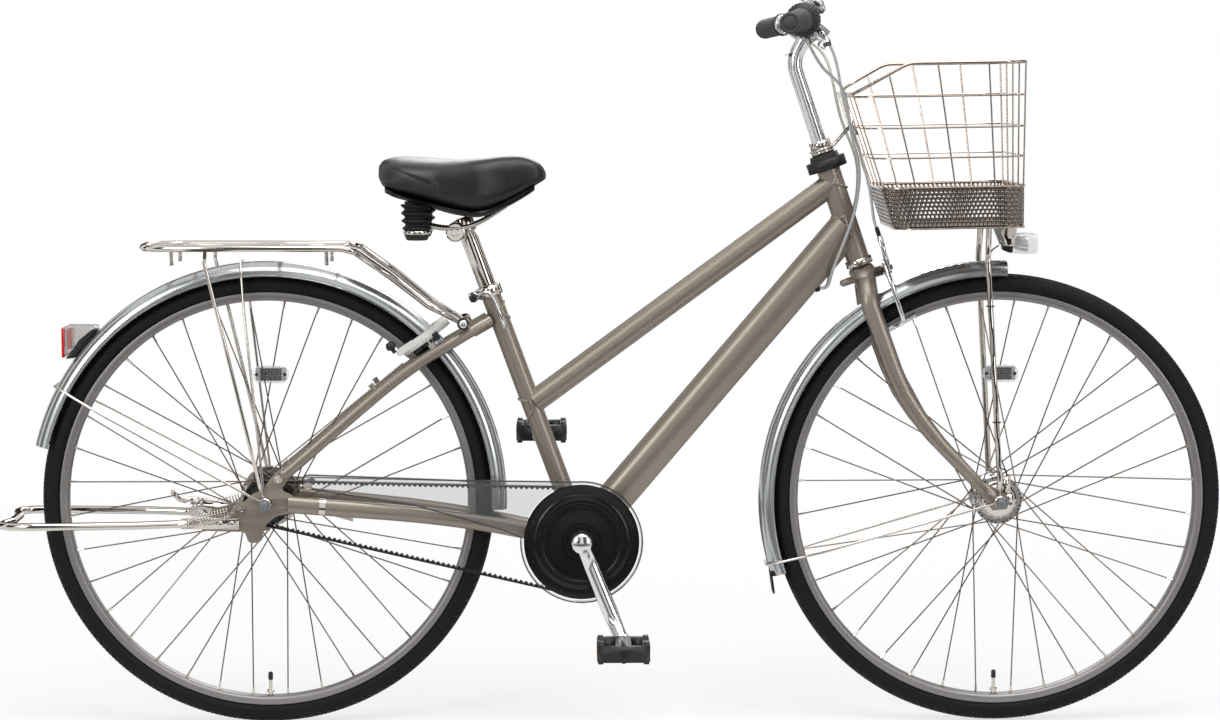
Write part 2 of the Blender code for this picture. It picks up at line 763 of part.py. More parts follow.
def make_axle(name, centre, end, washers, extra):
    """An axle with a washer, a nut and a domed cap at each end, outside what it carries."""
    axle = rod(centre - (end + 0.020) * Y_AXIS, centre + (end + 0.020) * Y_AXIS, AXLE_RADIUS)
    pieces = list(extra)
    for side in (-1, 1):
        start = centre + side * (end + DROPOUT_THICKNESS + washers + GAP) * Y_AXIS
        pieces.append(rod(start, start + side * 0.0015 * Y_AXIS, 0.0100))
        pieces.append(rod(start + side * 0.001 * Y_AXIS, start + side * 0.0085 * Y_AXIS, 0.0085, sides=6))
        cap = turned(
            [(0, 0.0210), (0.0055, 0.0190), (0.0066, 0.0150), (0.0066, 0.0070), (0, 0.0070)],
            axis_matrix(start, side * Y_AXIS),
            8,
        )
        pieces.append(cap)
    return finish(join(axle, *pieces), name, CHROME)


def make_front_axle():
    """The axle, with the dynamo's fixed cap and its plug inside the right fork end."""
    inner = FRONT_FLANGE_SPACING / 2 + FLANGE_THICKNESS / 2 + RUNNING_GAP
    cap = turned(
        [(0.0040, inner + 0.0115), (0.0200, inner + 0.0115), (0.0280, inner + 0.0060), (0.0280, inner),
            (0.0040, inner)],
        side_matrix(FRONT_AXLE),
        14,
        ring=True,
    )
    plug = box(from_front(0.011, -inner - 0.0075, 0.026), (0.012, 0.011, 0.022))
    return make_axle("front_axle", FRONT_AXLE, FRONT_END, STAY_STACK, [cap, plug])


STAY_PLATE = 0.0020
STAY_STACK = 2 * (STAY_PLATE + GAP)
DRUM_INNER = REAR_FLANGE_SPACING / 2 + 2 * SPOKE_RADIUS + GAP + RUNNING_GAP
BRAKE_ARM_LEFT = DRUM_INNER + 0.0240
BRAKE_ARM_THICKNESS = 0.0030
BRAKE_STUD_RADIUS = 0.0030


def brake_arm_pivot():
    return REAR_AXLE + Vector((0.026, BRAKE_ARM_LEFT, 0.020))


def make_rear_axle():
    """The axle with the brake's fixed drum plate, its reaction arm and the stud that the brake arm turns on."""
    inner = DRUM_INNER
    drum = turned(
        [
            (0.0040, inner + 0.0200), (0.0200, inner + 0.0200), (BRAKE_DRUM_RADIUS, inner + 0.0150),
            (BRAKE_DRUM_RADIUS, inner), (0.0040, inner),
        ],
        frame_matrix(REAR_AXLE, X_AXIS, LEFT),
        16,
        ring=True,
    )
    arm = extruded(
        [[(0.030, 0.006), (0.125, -0.028), (0.125, -0.040), (0.030, -0.014)]],
        0.003,
        side_matrix(REAR_AXLE + (inner + 0.0040) * Y_AXIS),
    )
    pivot = brake_arm_pivot()
    face = pivot - (BRAKE_ARM_THICKNESS / 2 + GAP) * Y_AXIS
    shoulder = rod(Vector((pivot.x, inner + 0.010, pivot.z)), face, 0.0055)
    stud = rod(face - 0.001 * Y_AXIS, pivot + 0.0030 * Y_AXIS, BRAKE_STUD_RADIUS)
    return make_axle("rear_axle", REAR_AXLE, REAR_END, STAY_STACK, [drum, arm, shoulder, stud])


def make_rear_brake_arm():
    """The small arm on the brake plate that the rear brake cable pulls."""
    outline = rounded([(-0.007, -0.007), (0.040, -0.005), (0.040, 0.005), (-0.007, 0.007)], 0.004, 2)
    arm = extruded([outline, bore(0, 0, BRAKE_STUD_RADIUS)], BRAKE_ARM_THICKNESS,
        side_matrix(brake_arm_pivot()))
    return finish(arm, "rear_brake_arm", CHROME, brake_arm_pivot())


# Belt drive

def pitch_radius(teeth):
    return teeth * BELT_PITCH / math.tau


BELT_CENTRES = math.hypot(BB_AHEAD, BB_DROP)
BELT_TILT = math.atan2(-BB_DROP, BB_AHEAD)
BELT_LEAN = math.asin((pitch_radius(FRONT_TEETH) - pitch_radius(REAR_TEETH)) / BELT_CENTRES)


def belt_sprocket_outline(teeth, phase):
    """The outline of a pulley with V grooves that are centred on even angles from the phase."""
    outer = pitch_radius(teeth) - BELT_ROOT - BELT_GAP
    inner = outer - BELT_TOOTH_HEIGHT
    points = []
    for k in range(2 * teeth):
        angle = phase + math.pi * k / teeth
        radius = outer if k % 2 else inner
        points.append((radius * math.cos(angle), radius * math.sin(angle)))
    return points


def belt_stations():
    """Where each belt tooth sits: its point on the pitch line and the way inwards, once round.

    The teeth on each pulley follow its grooves, and those of the two straight runs lie evenly between.
    """
    front = Vector((BOTTOM_BRACKET.x, BOTTOM_BRACKET.z))
    rear = Vector((REAR_AXLE.x, REAR_AXLE.z))
    half_front = math.pi / 2 + BELT_LEAN
    half_rear = math.pi / 2 - BELT_LEAN
    wraps = []
    for centre, teeth, middle, half in (
        (front, FRONT_TEETH, BELT_TILT, half_front),
        (rear, REAR_TEETH, BELT_TILT + math.pi, half_rear),
    ):
        step = math.tau / teeth
        count = int(half / step)
        radius = pitch_radius(teeth)
        wrap = []
        for k in range(-count, count + 1):
            angle = middle + k * step
            way = Vector((math.cos(angle), math.sin(angle)))
            wrap.append((centre + radius * way, -way))
        wraps.append(wrap)
    stations = []
    for wrap, following in ((wraps[0], wraps[1]), (wraps[1], wraps[0])):
        stations += wrap
        start = wrap[-1][0]
        end = following[0][0]
        run = end - start
        count = round(run.length / BELT_PITCH)
        normal = Vector((-run.y, run.x)).normalized()
        for k in range(1, count):
            stations.append((start + run * k / count, normal))
    return stations


def make_drive_belt():
    """The belt with a V tooth at each station, bent only where it runs round a pulley."""
    stations = belt_stations()
    roots = [point + BELT_ROOT * way_in for point, way_in in stations]
    inside = []
    outside = []
    for index, (point, way_in) in enumerate(stations):
        following = (index + 1) % len(stations)
        before = stations[index - 1][1]
        after = stations[following][1]
        rise = (roots[following] - roots[index]).length / 2 * math.tan(way_in.angle(after) / 4)
        between = (roots[index] + roots[following]) / 2 - rise * (way_in + after).normalized()
        inside += [roots[index] + BELT_TOOTH_HEIGHT * way_in, between]
        if before.dot(way_in) < 0.99999 or after.dot(way_in) < 0.99999:
            outside.append(point - (BELT_BACK - BELT_ROOT) * way_in)
    matrix = side_matrix(BELT_LINE * Y_AXIS)
    belt = extruded([[tuple(p) for p in outside], [tuple(p) for p in inside]], BELT_WIDTH, matrix)
    return finish(belt, "drive_belt", RUBBER, smooth=25)


PULLEY_WIDTH = BELT_WIDTH + 0.001
PULLEY_INNER = -BELT_LINE - PULLEY_WIDTH / 2
PULLEY_OUTER = -BELT_LINE + PULLEY_WIDTH / 2
SPIGOT_RADIUS = 0.0160


def make_rear_pulley():
    """The small toothed pulley, with the collar that drives the hub."""
    matrix = side_matrix(REAR_AXLE + BELT_LINE * Y_AXIS)
    body = extruded(
        [belt_sprocket_outline(REAR_TEETH, BELT_TILT + math.pi), circle(0, 0, 0.0145,
            10)], PULLEY_WIDTH, matrix
    )
    collar = turned(
        [
            (0.0135, PULLEY_INNER + 0.002), (0.0205, PULLEY_INNER + 0.002), (0.0205, DRUM_INNER),
            (0.0135, DRUM_INNER),
        ],
        side_matrix(REAR_AXLE),
        10,
        ring=True,
    )
    return finish(join(body, collar), "rear_pulley", DARK_METAL, REAR_AXLE)


def make_front_pulley():
    """The large toothed pulley, a ring on five arms."""
    matrix = side_matrix(BOTTOM_BRACKET + BELT_LINE * Y_AXIS)
    windows = []
    for k in range(5):
        middle = 90 + 72 * k
        outer = arc(0, 0, 0.066, middle - 27, middle + 27, 2)
        inner = arc(0, 0, 0.032, middle + 20, middle - 20, 1)
        windows.append(outer + inner)
    ring = extruded(
        [belt_sprocket_outline(FRONT_TEETH, BELT_TILT), bore(0, 0, SPIGOT_RADIUS, 12)] + windows,
        PULLEY_WIDTH,
        matrix,
    )
    return finish(ring, "front_pulley", DARK_METAL, BOTTOM_BRACKET)


def make_pulley_cover():
    """The black disc on the pulley's outer face, with a raised middle."""
    face = PULLEY_OUTER + GAP
    hole = clear_radius(SPIGOT_RADIUS, 24, GAP)
    disc = turned(
        [
            (hole, face + 0.0042), (0.0600, face + 0.0042), (0.0640, face + 0.0026),
            (COVER_DISC_RADIUS, face + 0.0014), (COVER_DISC_RADIUS, face), (hole, face),
        ],
        side_matrix(BOTTOM_BRACKET),
        24,
        ring=True,
    )
    return finish(disc, "pulley_cover", GLOSS_BLACK, BOTTOM_BRACKET)


COVER_GAP = 0.0016
COVER_LIP = 0.0165
COVER_WALL = 0.0014


def belt_cover_outline(inset):
    """The clear case's outline, from its rear end over the upper run and down round the disc.

    The inset outline runs out past the rear end and the lower edge, so that the case has no lip there.
    """
    radius = COVER_DISC_RADIUS + 0.0045 - inset
    bb = (BOTTOM_BRACKET.x, BOTTOM_BRACKET.z)
    rear = REAR_AXLE
    upper = arc(*bb, radius, -95, 95, 12)
    top = [
        (rear.x + 0.300, rear.z + 0.0340 - inset), (rear.x + 0.064, rear.z + 0.0430 - inset),
        (rear.x + 0.056 - 4 * inset, rear.z + 0.0400 - inset),
        (rear.x + 0.056 - 4 * inset, rear.z + 0.0240 - 4 * inset),
    ]
    lower = [
        (rear.x + 0.082, rear.z + 0.0190 - 4 * inset), (rear.x + 0.225, rear.z - 0.0030 - 4 * inset),
        (rear.x + 0.360, rear.z - 0.0420 - 4 * inset),
    ]
    return upper + top + lower + arc(*bb, radius + 5 * inset, 175, 260, 6)


def make_belt_cover():
    """The clear case: a face with a lip turned in over the belt, open round the disc, on a tab to the stay."""
    face = -BELT_LINE + BELT_WIDTH / 2 + 0.0030
    shell = extruded([belt_cover_outline(0)], COVER_LIP,
        side_matrix(-(face - COVER_LIP / 2 + COVER_WALL) * Y_AXIS))
    inner = extruded([belt_cover_outline(COVER_WALL)], COVER_LIP,
        side_matrix(-(face - COVER_LIP / 2) * Y_AXIS))
    bb = BOTTOM_BRACKET
    disc_hole = rod(bb - 0.030 * Y_AXIS, bb - 0.090 * Y_AXIS, COVER_DISC_RADIUS + COVER_GAP, sides=24)
    tab = box(from_rear(0.110, -face - COVER_WALL / 2, 0.0125), (0.018, COVER_WALL - GAP, 0.0194))
    tab = cut(tab, chain_stay_solid(-1, GAP))
    return finish(cut(join(cut(shell, inner), tab), disc_hole), "belt_cover", CLEAR_PLASTIC)


# Crank and pedals

CRANK_WAY = Vector((math.cos(CRANK_ANGLE), 0, math.sin(CRANK_ANGLE)))


def make_bottom_bracket():
    """The bearing cartridge, with a flanged cup at each end of the shell."""
    half = BB_SHELL_LENGTH / 2
    hole = clear_radius(SPINDLE_RADIUS, 12, RUNNING_GAP)
    body = BB_BORE_RADIUS - 4 * GAP
    lip = BB_SHELL_RADIUS - 0.0010
    cartridge = turned(
        [
            (hole, half + 0.0035), (lip, half + 0.0035), (lip, half + GAP), (body, half + GAP),
            (body, -half - GAP), (lip, -half - GAP), (lip, -half - 0.0035), (hole, -half - 0.0035),
        ],
        side_matrix(BOTTOM_BRACKET),
        12,
        ring=True,
    )
    return finish(cartridge, "bottom_bracket", DARK_METAL)


def make_crank_spindle():
    inner = SPINDLE_LENGTH / 2 - 0.018
    spindle = rod(BOTTOM_BRACKET - inner * Y_AXIS, BOTTOM_BRACKET + inner * Y_AXIS, SPINDLE_RADIUS)
    square = box(BOTTOM_BRACKET, (SPINDLE_SQUARE, SPINDLE_LENGTH, SPINDLE_SQUARE), side_turn(CRANK_ANGLE))
    return finish(join(spindle, square), "crank_spindle", CHROME, BOTTOM_BRACKET)


def side_turn(angle):
    """A turn in side view, counter-clockwise as the right side sees it."""
    return Matrix.Rotation(-angle, 4, "Y")


def make_crank_arm(name, side, reach):
    """A forged arm: a boss with a square hole, a tapered blade, an eye and the pedal's axle.

    The right arm's spigot carries the front pulley.
    """
    origin = BOTTOM_BRACKET
    up = Vector((-CRANK_WAY.z, 0, CRANK_WAY.x))
    sections = []
    for share, half_height, thick, face in (
        (-0.050, 0.0110, 0.0155, CRANK_INNER_FACE), (0.250, 0.0120, 0.0130, CRANK_INNER_FACE + 0.004),
        (0.700, 0.0120, 0.0120, CRANK_EYE_FACE - 0.004), (1.080, 0.0090, 0.0115, CRANK_EYE_FACE),
    ):
        centre = origin + reach * share * CRANK_WAY
        sections.append(
            [
                centre + half_height * height * up + side * (face + thick * depth) * Y_AXIS
                for height, depth in ((-1.0, 0.15), (-0.80, 0.0), (0.80, 0.0), (1.0, 0.15), (0.80, 1.0),
                    (-0.80, 1.0))
            ]
        )
    boss = turned(
        [
            (0, CRANK_INNER_FACE + 0.0190), (0.0130, CRANK_INNER_FACE + 0.0190),
            (CRANK_BOSS_RADIUS, CRANK_INNER_FACE + 0.0150), (CRANK_BOSS_RADIUS, CRANK_INNER_FACE),
            (0, CRANK_INNER_FACE),
        ],
        axis_matrix(origin, side * Y_AXIS),
        12,
    )
    eye = origin + reach * CRANK_WAY
    pieces = [
        boss,
        rod(eye + side * CRANK_EYE_FACE * Y_AXIS, eye + side * PEDAL_SHOULDER * Y_AXIS, CRANK_EYE_RADIUS,
            sides=12),
        rod(
            eye + side * (PEDAL_SHOULDER - 0.003) * Y_AXIS,
            eye + side * (PEDAL_START + PEDAL_WIDTH - 0.008) * Y_AXIS,
            PEDAL_AXLE_RADIUS,
        ),
        rod(eye + side * (PEDAL_SHOULDER - 0.001) * Y_AXIS,
            eye + side * (PEDAL_START - RUNNING_GAP) * Y_AXIS, 0.0075),
    ]
    hole_start = CRANK_INNER_FACE - 0.005
    if side < 0:
        hole_start = PULLEY_INNER + 0.001
        spigot_end = origin + side * (CRANK_INNER_FACE + 0.002) * Y_AXIS
        pieces.append(rod(origin + side * (hole_start + 0.001) * Y_AXIS, spigot_end, SPIGOT_RADIUS,
            sides=12))
    hole_end = SPINDLE_LENGTH / 2 + GAP
    hole = box(
        origin + side * (hole_start + hole_end) / 2 * Y_AXIS,
        (SPINDLE_SQUARE + 2 * GAP, hole_end - hole_start, SPINDLE_SQUARE + 2 * GAP),
        side_turn(CRANK_ANGLE),
    )
    return finish(cut(join(loft(sections), *pieces), hole), name, ALUMINIUM, BOTTOM_BRACKET)


def make_pedal(name, side, way):
    """A resin platform round its axle, with a window before and behind the barrel and raised corners."""
    centre = BOTTOM_BRACKET + CRANK_LENGTH * way + side * (PEDAL_START + PEDAL_WIDTH / 2) * Y_AXIS
    half_x = PEDAL_LENGTH / 2
    half_y = PEDAL_WIDTH / 2
    outer = rounded([(-half_x, -half_y), (half_x, -half_y), (half_x, half_y), (-half_x, half_y)], 0.008, 1)
    windows = []
    pads = []
    for sign in (-1, 1):
        low, high = sorted((sign * 0.0115, sign * (half_x - 0.0100)))
        reach = half_y - 0.0110
        windows.append([(low, -reach), (high, -reach), (high, reach), (low, reach)])
        for across in (-0.28, 0.28):
            spot = centre + Vector((sign * (half_x - 0.0053), across * PEDAL_WIDTH, 0))
            pads.append(box(spot, (0.0078, 0.0200, PEDAL_HEIGHT)))
    body = extruded([outer] + windows, PEDAL_HEIGHT - 0.008, frame_matrix(centre, X_AXIS, Z_AXIS))
    barrel = rod(centre - (half_y - 0.0017) * Y_AXIS, centre + (half_y - 0.0017) * Y_AXIS, 0.0140)
    hole = rod(
        centre - side * (half_y + 0.004) * Y_AXIS,
        centre + side * (half_y - 0.0050) * Y_AXIS,
        clear_radius(PEDAL_AXLE_RADIUS, 8, RUNNING_GAP),
    )
    return finish(cut(join(body, barrel, *pads), hole), name, BLACK_PLASTIC,
        BOTTOM_BRACKET + CRANK_LENGTH * way)


# Fork and headset

LOWER_CUP_HEIGHT = 0.0105
CROWN_TOP = -LOWER_CUP_HEIGHT - 0.0020
STEERER_TOP = 0.1860


def make_lower_cup():
    """The pressed ring under the head tube, which holds the lower bearing."""
    hole = clear_radius(STEERER_RADIUS, 14, RUNNING_GAP)
    inner = HEAD_TUBE_BORE - 2 * GAP
    cup = turned(
        [
            (inner, 0.0100), (inner, -GAP), (0.0205, -GAP), (0.0205, -LOWER_CUP_HEIGHT),
            (hole, -LOWER_CUP_HEIGHT), (hole, 0.0100),
        ],
        frame_matrix(HEAD_BOTTOM, HEAD_FORWARD, HEAD_UP),
        14,
        ring=True,
    )
    return finish(cup, "headset_lower_cup", CHROME)


def crown_solid(grow=0.0):
    """The fork's crown, wide from side to side, under the lower bearing."""
    return loft(
        [
            [on_head(CROWN_TOP - depth + grow * up, ahead * (half_x + grow), left * (half_y + grow))
             for ahead, left in OCTAGON]
            for depth, half_x, half_y, up in (
                (0.0, 0.0165, 0.0165, 1), (0.0060, 0.0195, 0.0240, 1), (0.0140, 0.0170, 0.0390, 0),
                (0.0310, 0.0140, 0.0440, -1),
            )
        ]
    )


FORK_ROUTE = (
    (-0.2020, 0.0330, 0.3360, 0.0140), (-0.1955, 0.0385, 0.2935, 0.0140), (-0.1606, 0.0410, 0.1985, 0.0132),
    (-0.1430, 0.0425, 0.1600, 0.0124), (-0.1200, 0.0440, 0.1250, 0.0116), (-0.0910, 0.0465, 0.0885, 0.0106),
    (-0.0220, 0.0515, 0.0150, 0.0085),
)


def make_fork():
    """Two raked oval blades under a crown, with the steerer tube, the flat fork ends and the brake's bolt."""
    squeeze = FORK_BLADE_WIDTH / FORK_BLADE_DEPTH
    sides = []
    for side in (-1, 1):
        path = [from_front(x, 0, z) + side * y / squeeze * Y_AXIS for x, y, z, _ in FORK_ROUTE]
        blade = tube(path, FORK_BLADE_DEPTH / 2, [radius for *_, radius in FORK_ROUTE], 2)
        stretched(blade, (1, squeeze, 1), Vector((0, 0, 0)))
        fork_end = [
            (-0.034, 0.030), (-0.020, 0.028), (0.010, 0.011), (0.014, 0.000), (0.010, -0.011), (-0.011,
                -0.013),
            (-0.032, 0.014),
        ]
        plate = extruded(
            [fork_end, bore(0, 0, AXLE_RADIUS)],
            DROPOUT_THICKNESS,
            side_matrix(FRONT_AXLE + side * (FRONT_END + DROPOUT_THICKNESS / 2) * Y_AXIS),
        )
        sides.append(join(blade, plate))
    steerer = rod(on_head(CROWN_TOP - 0.010), on_head(STEERER_TOP), STEERER_RADIUS, sides=14)
    fork = join(sides[0], crown_solid(), sides[1], steerer)
    hole = rod(on_head(0.070), on_head(STEERER_TOP + 0.01), STEERER_BORE, sides=14)
    return finish(join(cut(fork, hole), *caliper_bolt_solids()), "fork", PAINT, HEAD_BOTTOM)


OCTAGON = [
    (1.0, 0.45), (0.55, 0.92), (-0.55, 0.92), (-1.0, 0.45), (-1.0, -0.45), (-0.55, -0.92), (0.55, -0.92),
    (1.0, -0.45),
]

CALIPER_BOLT_AT = CROWN_TOP - 0.0160
CALIPER_BOLT_RADIUS = 0.0035
CALIPER_ARM_PLANE = 0.0300
CALIPER_ARM_THICKNESS = 0.0060
CALIPER_REACH = 0.0750
CALIPER_CABLE_RISE = 0.0400
CALIPER_CABLE_ACROSS = 0.0250


def caliper_bolt_solids():
    """The brake's centre bolt through the crown, with its domed nut behind and its spacer in front."""
    middle = on_head(CALIPER_BOLT_AT)
    bolt_end = middle + (CALIPER_ARM_PLANE + 2 * CALIPER_ARM_THICKNESS + 0.0040) * HEAD_FORWARD
    bolt = rod(middle - 0.0300 * HEAD_FORWARD, bolt_end, CALIPER_BOLT_RADIUS)
    nut = turned(
        [(0, 0.0380), (0.0045, 0.0360), (0.0055, 0.0320), (0.0055, 0.0150), (0, 0.0150)],
        axis_matrix(middle, -HEAD_FORWARD),
        8,
    )
    spacer = rod(middle + 0.012 * HEAD_FORWARD, middle + (CALIPER_ARM_PLANE - GAP) * HEAD_FORWARD, 0.0075)
    return [bolt, nut, spacer]


def caliper_middle(layer):
    """Where an arm of the front brake sits on the centre bolt. The second arm lies ahead of the first."""
    offset = CALIPER_ARM_THICKNESS / 2 + GAP + layer * (CALIPER_ARM_THICKNESS + GAP)
    return on_head(CALIPER_BOLT_AT, CALIPER_ARM_PLANE + offset)


def caliper_cable_stop():
    """The top of the adjuster on the front brake, where its cable comes in."""
    return caliper_middle(1) + (CALIPER_CABLE_RISE + 0.012) * HEAD_UP - CALIPER_CABLE_ACROSS * Y_AXIS


def make_caliper_arm(name, side, layer):
    """One curved arm of the front brake, from the centre bolt over the mudguard to its brake block.

    The arm on the left reaches back over the bolt to the cable's adjuster on the right.
    """
    middle = caliper_middle(layer)
    matrix = frame_matrix(middle, LEFT, HEAD_FORWARD)
    outline = [
        (-0.009, 0.004), (-0.008, -0.008), (0.006, -0.009), (0.028, -0.005), (0.037, -0.024),
        (0.038, -CALIPER_REACH - 0.006), (0.048, -CALIPER_REACH - 0.006), (0.050, -0.018), (0.040, 0.010),
        (0.020, 0.014),
    ]
    if side > 0:
        outline += [
            (0.000, 0.018), (-CALIPER_CABLE_ACROSS + 0.006, CALIPER_CABLE_RISE),
            (-CALIPER_CABLE_ACROSS - 0.006, CALIPER_CABLE_RISE), (-0.018, 0.014),
        ]
    outline = rounded([(side * x, y) for x, y in outline], 0.004, 1)
    arm = extruded([outline, bore(0, 0, CALIPER_BOLT_RADIUS)], CALIPER_ARM_THICKNESS, matrix)
    foot = middle - CALIPER_REACH * HEAD_UP + side * 0.0430 * Y_AXIS
    shoe = shoe_middle(side)
    stud = rod(foot + side * 0.002 * Y_AXIS, shoe, 0.0032, sides=6)
    block = box(shoe, (0.046, SHOE_DEPTH, SHOE_HEIGHT), frame_matrix(shoe, shoe_direction(), shoe_up()))
    pieces = [stud, block]
    if side > 0:
        stop = caliper_cable_stop()
        pieces.append(rod(stop - 0.016 * HEAD_UP, stop, 0.0040, sides=8))
    return finish(join(arm, *pieces), name, ALUMINIUM, on_head(CALIPER_BOLT_AT))


SHOE_ANGLE = math.radians(118.5)
SHOE_RADIUS = 0.3065
SHOE_HEIGHT = 0.0080
SHOE_DEPTH = 0.0090
SHOE_GAP = 0.0025


def shoe_middle(side):
    """The middle of a brake block, a little off the rim's side."""
    offset = RIM_WIDTH / 2 + SHOE_GAP + SHOE_DEPTH / 2
    return FRONT_AXLE + Vector(
        (SHOE_RADIUS * math.cos(SHOE_ANGLE), side * offset, SHOE_RADIUS * math.sin(SHOE_ANGLE))
    )


def shoe_direction():
    return Vector((-math.sin(SHOE_ANGLE), 0, math.cos(SHOE_ANGLE)))


def shoe_up():
    return Vector((math.cos(SHOE_ANGLE), 0, math.sin(SHOE_ANGLE)))


LOCK_START = HEAD_TUBE_LENGTH + GAP
LOCK_HEIGHT = 0.0240


def make_steering_lock():
    """The black lock ring on top of the head tube, long from front to back."""
    outline = []
    for k in range(16):
        angle = math.tau * k / 16
        outline.append((0.0300 * math.cos(angle), 0.0240 * math.sin(angle)))
    matrix = frame_matrix(on_head(LOCK_START + LOCK_HEIGHT * 0.33), HEAD_FORWARD, HEAD_UP)
    lower = extruded([outline, circle(0, 0, 0.0150, 10)], LOCK_HEIGHT * 0.66, matrix)
    cap = turned(
        [
            (0.0150, LOCK_HEIGHT), (0.0210, LOCK_HEIGHT), (0.0235, LOCK_HEIGHT * 0.6),
            (0.0150, LOCK_HEIGHT * 0.6),
        ],
        frame_matrix(on_head(LOCK_START), HEAD_FORWARD, HEAD_UP),
        10,
        ring=True,
    )
    return finish(join(lower, cap), "steering_lock", BLACK_PLASTIC)


NUTS_START = LOCK_START + LOCK_HEIGHT + RUNNING_GAP
NUTS_TOP = 0.1870
STRAP_AT = 0.1740
STRAP_THICKNESS = 0.0020
STRAP_GROOVE = 0.0142


def make_headset_nuts():
    """The bright adjusting nut and lock nut on the steerer, with a groove for the basket's strap."""
    hole = clear_radius(STEERER_RADIUS, 14, GAP)
    low = STRAP_AT - STRAP_THICKNESS / 2 - GAP
    high = STRAP_AT + STRAP_THICKNESS / 2 + GAP
    nuts = turned(
        [
            (hole, NUTS_TOP), (0.0160, NUTS_TOP), (0.0165, high), (STRAP_GROOVE, high), (STRAP_GROOVE, low),
            (0.0175, low), (0.0175, NUTS_START), (hole, NUTS_START),
        ],
        frame_matrix(HEAD_BOTTOM, HEAD_FORWARD, HEAD_UP),
        14,
        ring=True,
    )
    return finish(nuts, "headset_nuts", CHROME, HEAD_BOTTOM)


# Stem, handlebar and controls

STEM_TOP = on_head(STEM_HEIGHT)
BAR_CLAMP = on_head(STEM_HEIGHT + STEM_RISE, STEM_REACH)


def bar_route(side):
    """The right or left half of the bar's centre line, from the clamp to the bar's tip."""
    half = [
        BAR_CLAMP,
        BAR_CLAMP + Vector((0.001, side * 0.040, 0.001)),
        BAR_CLAMP + Vector((0.000, side * 0.075, 0.008)),
        BAR_CLAMP + Vector((-0.005, side * 0.106, 0.015)),
        BAR_CLAMP + Vector((-0.0125, side * 0.133, 0.0175)),
    ]
    end = BAR_CLAMP + Vector((-0.047, side * BAR_HALF_WIDTH, 0.009))
    return smooth_path(half, 2) + [end]


def grip_axis(side):
    """The straight outer end of the bar: where it starts and its direction."""
    route = bar_route(side)
    start = route[-2]
    return start, (route[-1] - start).normalized(), (route[-1] - start).length


def on_grip(side, along):
    start, way, _ = grip_axis(side)
    return start + along * way


def grip_end(side):
    return grip_axis(side)[2]


def make_stem():
    """A quill stem that leans forward to a clamp round the bar."""
    quill = tube(
        bent([on_head(0.095), STEM_TOP, BAR_CLAMP - 0.004 * (BAR_CLAMP - STEM_TOP).normalized()], 0.018, 2),
        QUILL_RADIUS,
        resolution=3,
    )
    clamp = rod(BAR_CLAMP - 0.021 * Y_AXIS, BAR_CLAMP + 0.021 * Y_AXIS, 0.0165, sides=14)
    tilt = Matrix.Rotation(math.radians(25), 4, "Y")
    ear = box(BAR_CLAMP + Vector((0.016, 0, -0.008)), (0.016, 0.020, 0.010), tilt)
    bolt = rod(BAR_CLAMP + Vector((0.020, 0, -0.022)), BAR_CLAMP + Vector((0.022, 0, 0.004)), 0.0040,
        sides=6)
    hole = rod(BAR_CLAMP - 0.03 * Y_AXIS, BAR_CLAMP + 0.03 * Y_AXIS, clear_radius(BAR_RADIUS, 14, 2 * GAP),
        sides=14)
    return finish(cut(join(quill, clamp, ear, bolt), hole), "stem", ALUMINIUM, HEAD_BOTTOM)


def make_handlebar():
    right = bar_route(-1)
    left = bar_route(1)
    bar = tube(right[::-1] + left[1:], BAR_RADIUS, resolution=2)
    return finish(bar, "handlebar", ALUMINIUM, HEAD_BOTTOM)


GRIP_BORE = clear_radius(BAR_RADIUS, 12, GAP)


def make_grip(name, side):
    """A soft grip closed at its outer end, with a raised collar inboard."""
    start, way, total = grip_axis(side)
    tip = total + 0.0045
    inner = total - GRIP_LENGTH
    profile = [
        (0, tip), (GRIP_RADIUS - 0.0025, tip), (GRIP_RADIUS, tip - 0.0030), (GRIP_RADIUS, inner + 0.008),
        (GRIP_RADIUS + 0.0020, inner), (GRIP_BORE, inner), (GRIP_BORE, total + GAP), (0, total + GAP),
    ]
    return finish(turned(profile, axis_matrix(start, way), 12), name, BLACK_PLASTIC, HEAD_BOTTOM)


SHIFTER_LENGTH = 0.034


def shifter_outer():
    """Where the shifter's outer face lies along the bar's straight end."""
    return grip_end(-1) - GRIP_LENGTH - RUNNING_GAP


def make_shifter_drum():
    """The twist shifter's drum between the right grip and the brake bracket."""
    start, way, _ = grip_axis(-1)
    outer = shifter_outer()
    inner = outer - SHIFTER_LENGTH
    drum = turned(
        [
            (GRIP_BORE, outer), (0.0185, outer), (0.0195, outer - 0.010), (0.0252, outer - 0.014),
            (0.0252, inner + 0.004), (0.0230, inner), (GRIP_BORE, inner),
        ],
        axis_matrix(start, way),
        12,
        ring=True,
    )
    return finish(drum, "shifter_drum", BLACK_PLASTIC, on_grip(-1, 0))


LEVER_FORWARD = Vector((0.78, 0, -0.62)).normalized()
BRACKET_WIDTH = 0.013
LEVER_PIVOT_REACH = 0.0330


def bracket_place(side):
    """Where a brake bracket grips the bar, measured along its straight outer end."""
    total = grip_end(side)
    inset = GRIP_LENGTH + RUNNING_GAP + BRACKET_WIDTH / 2 + RUNNING_GAP
    if side < 0:
        inset += SHIFTER_LENGTH + RUNNING_GAP
    return total - inset


LEVER_EYE_RADIUS = 0.0070
LEVER_THICKNESS = 0.0060
LEVER_PIN_RADIUS = 0.0025
CHEEK = 0.0035
BELL_POST_RADIUS = 0.0040


def lever_pivot(side):
    return on_grip(side, bracket_place(side)) + LEVER_PIVOT_REACH * LEVER_FORWARD


def barrel_end(side):
    """Where a brake cable leaves its bracket, inboard of the lever's pivot."""
    return lever_pivot(side) - side * 0.022 * Y_AXIS + 0.004 * LEVER_FORWARD


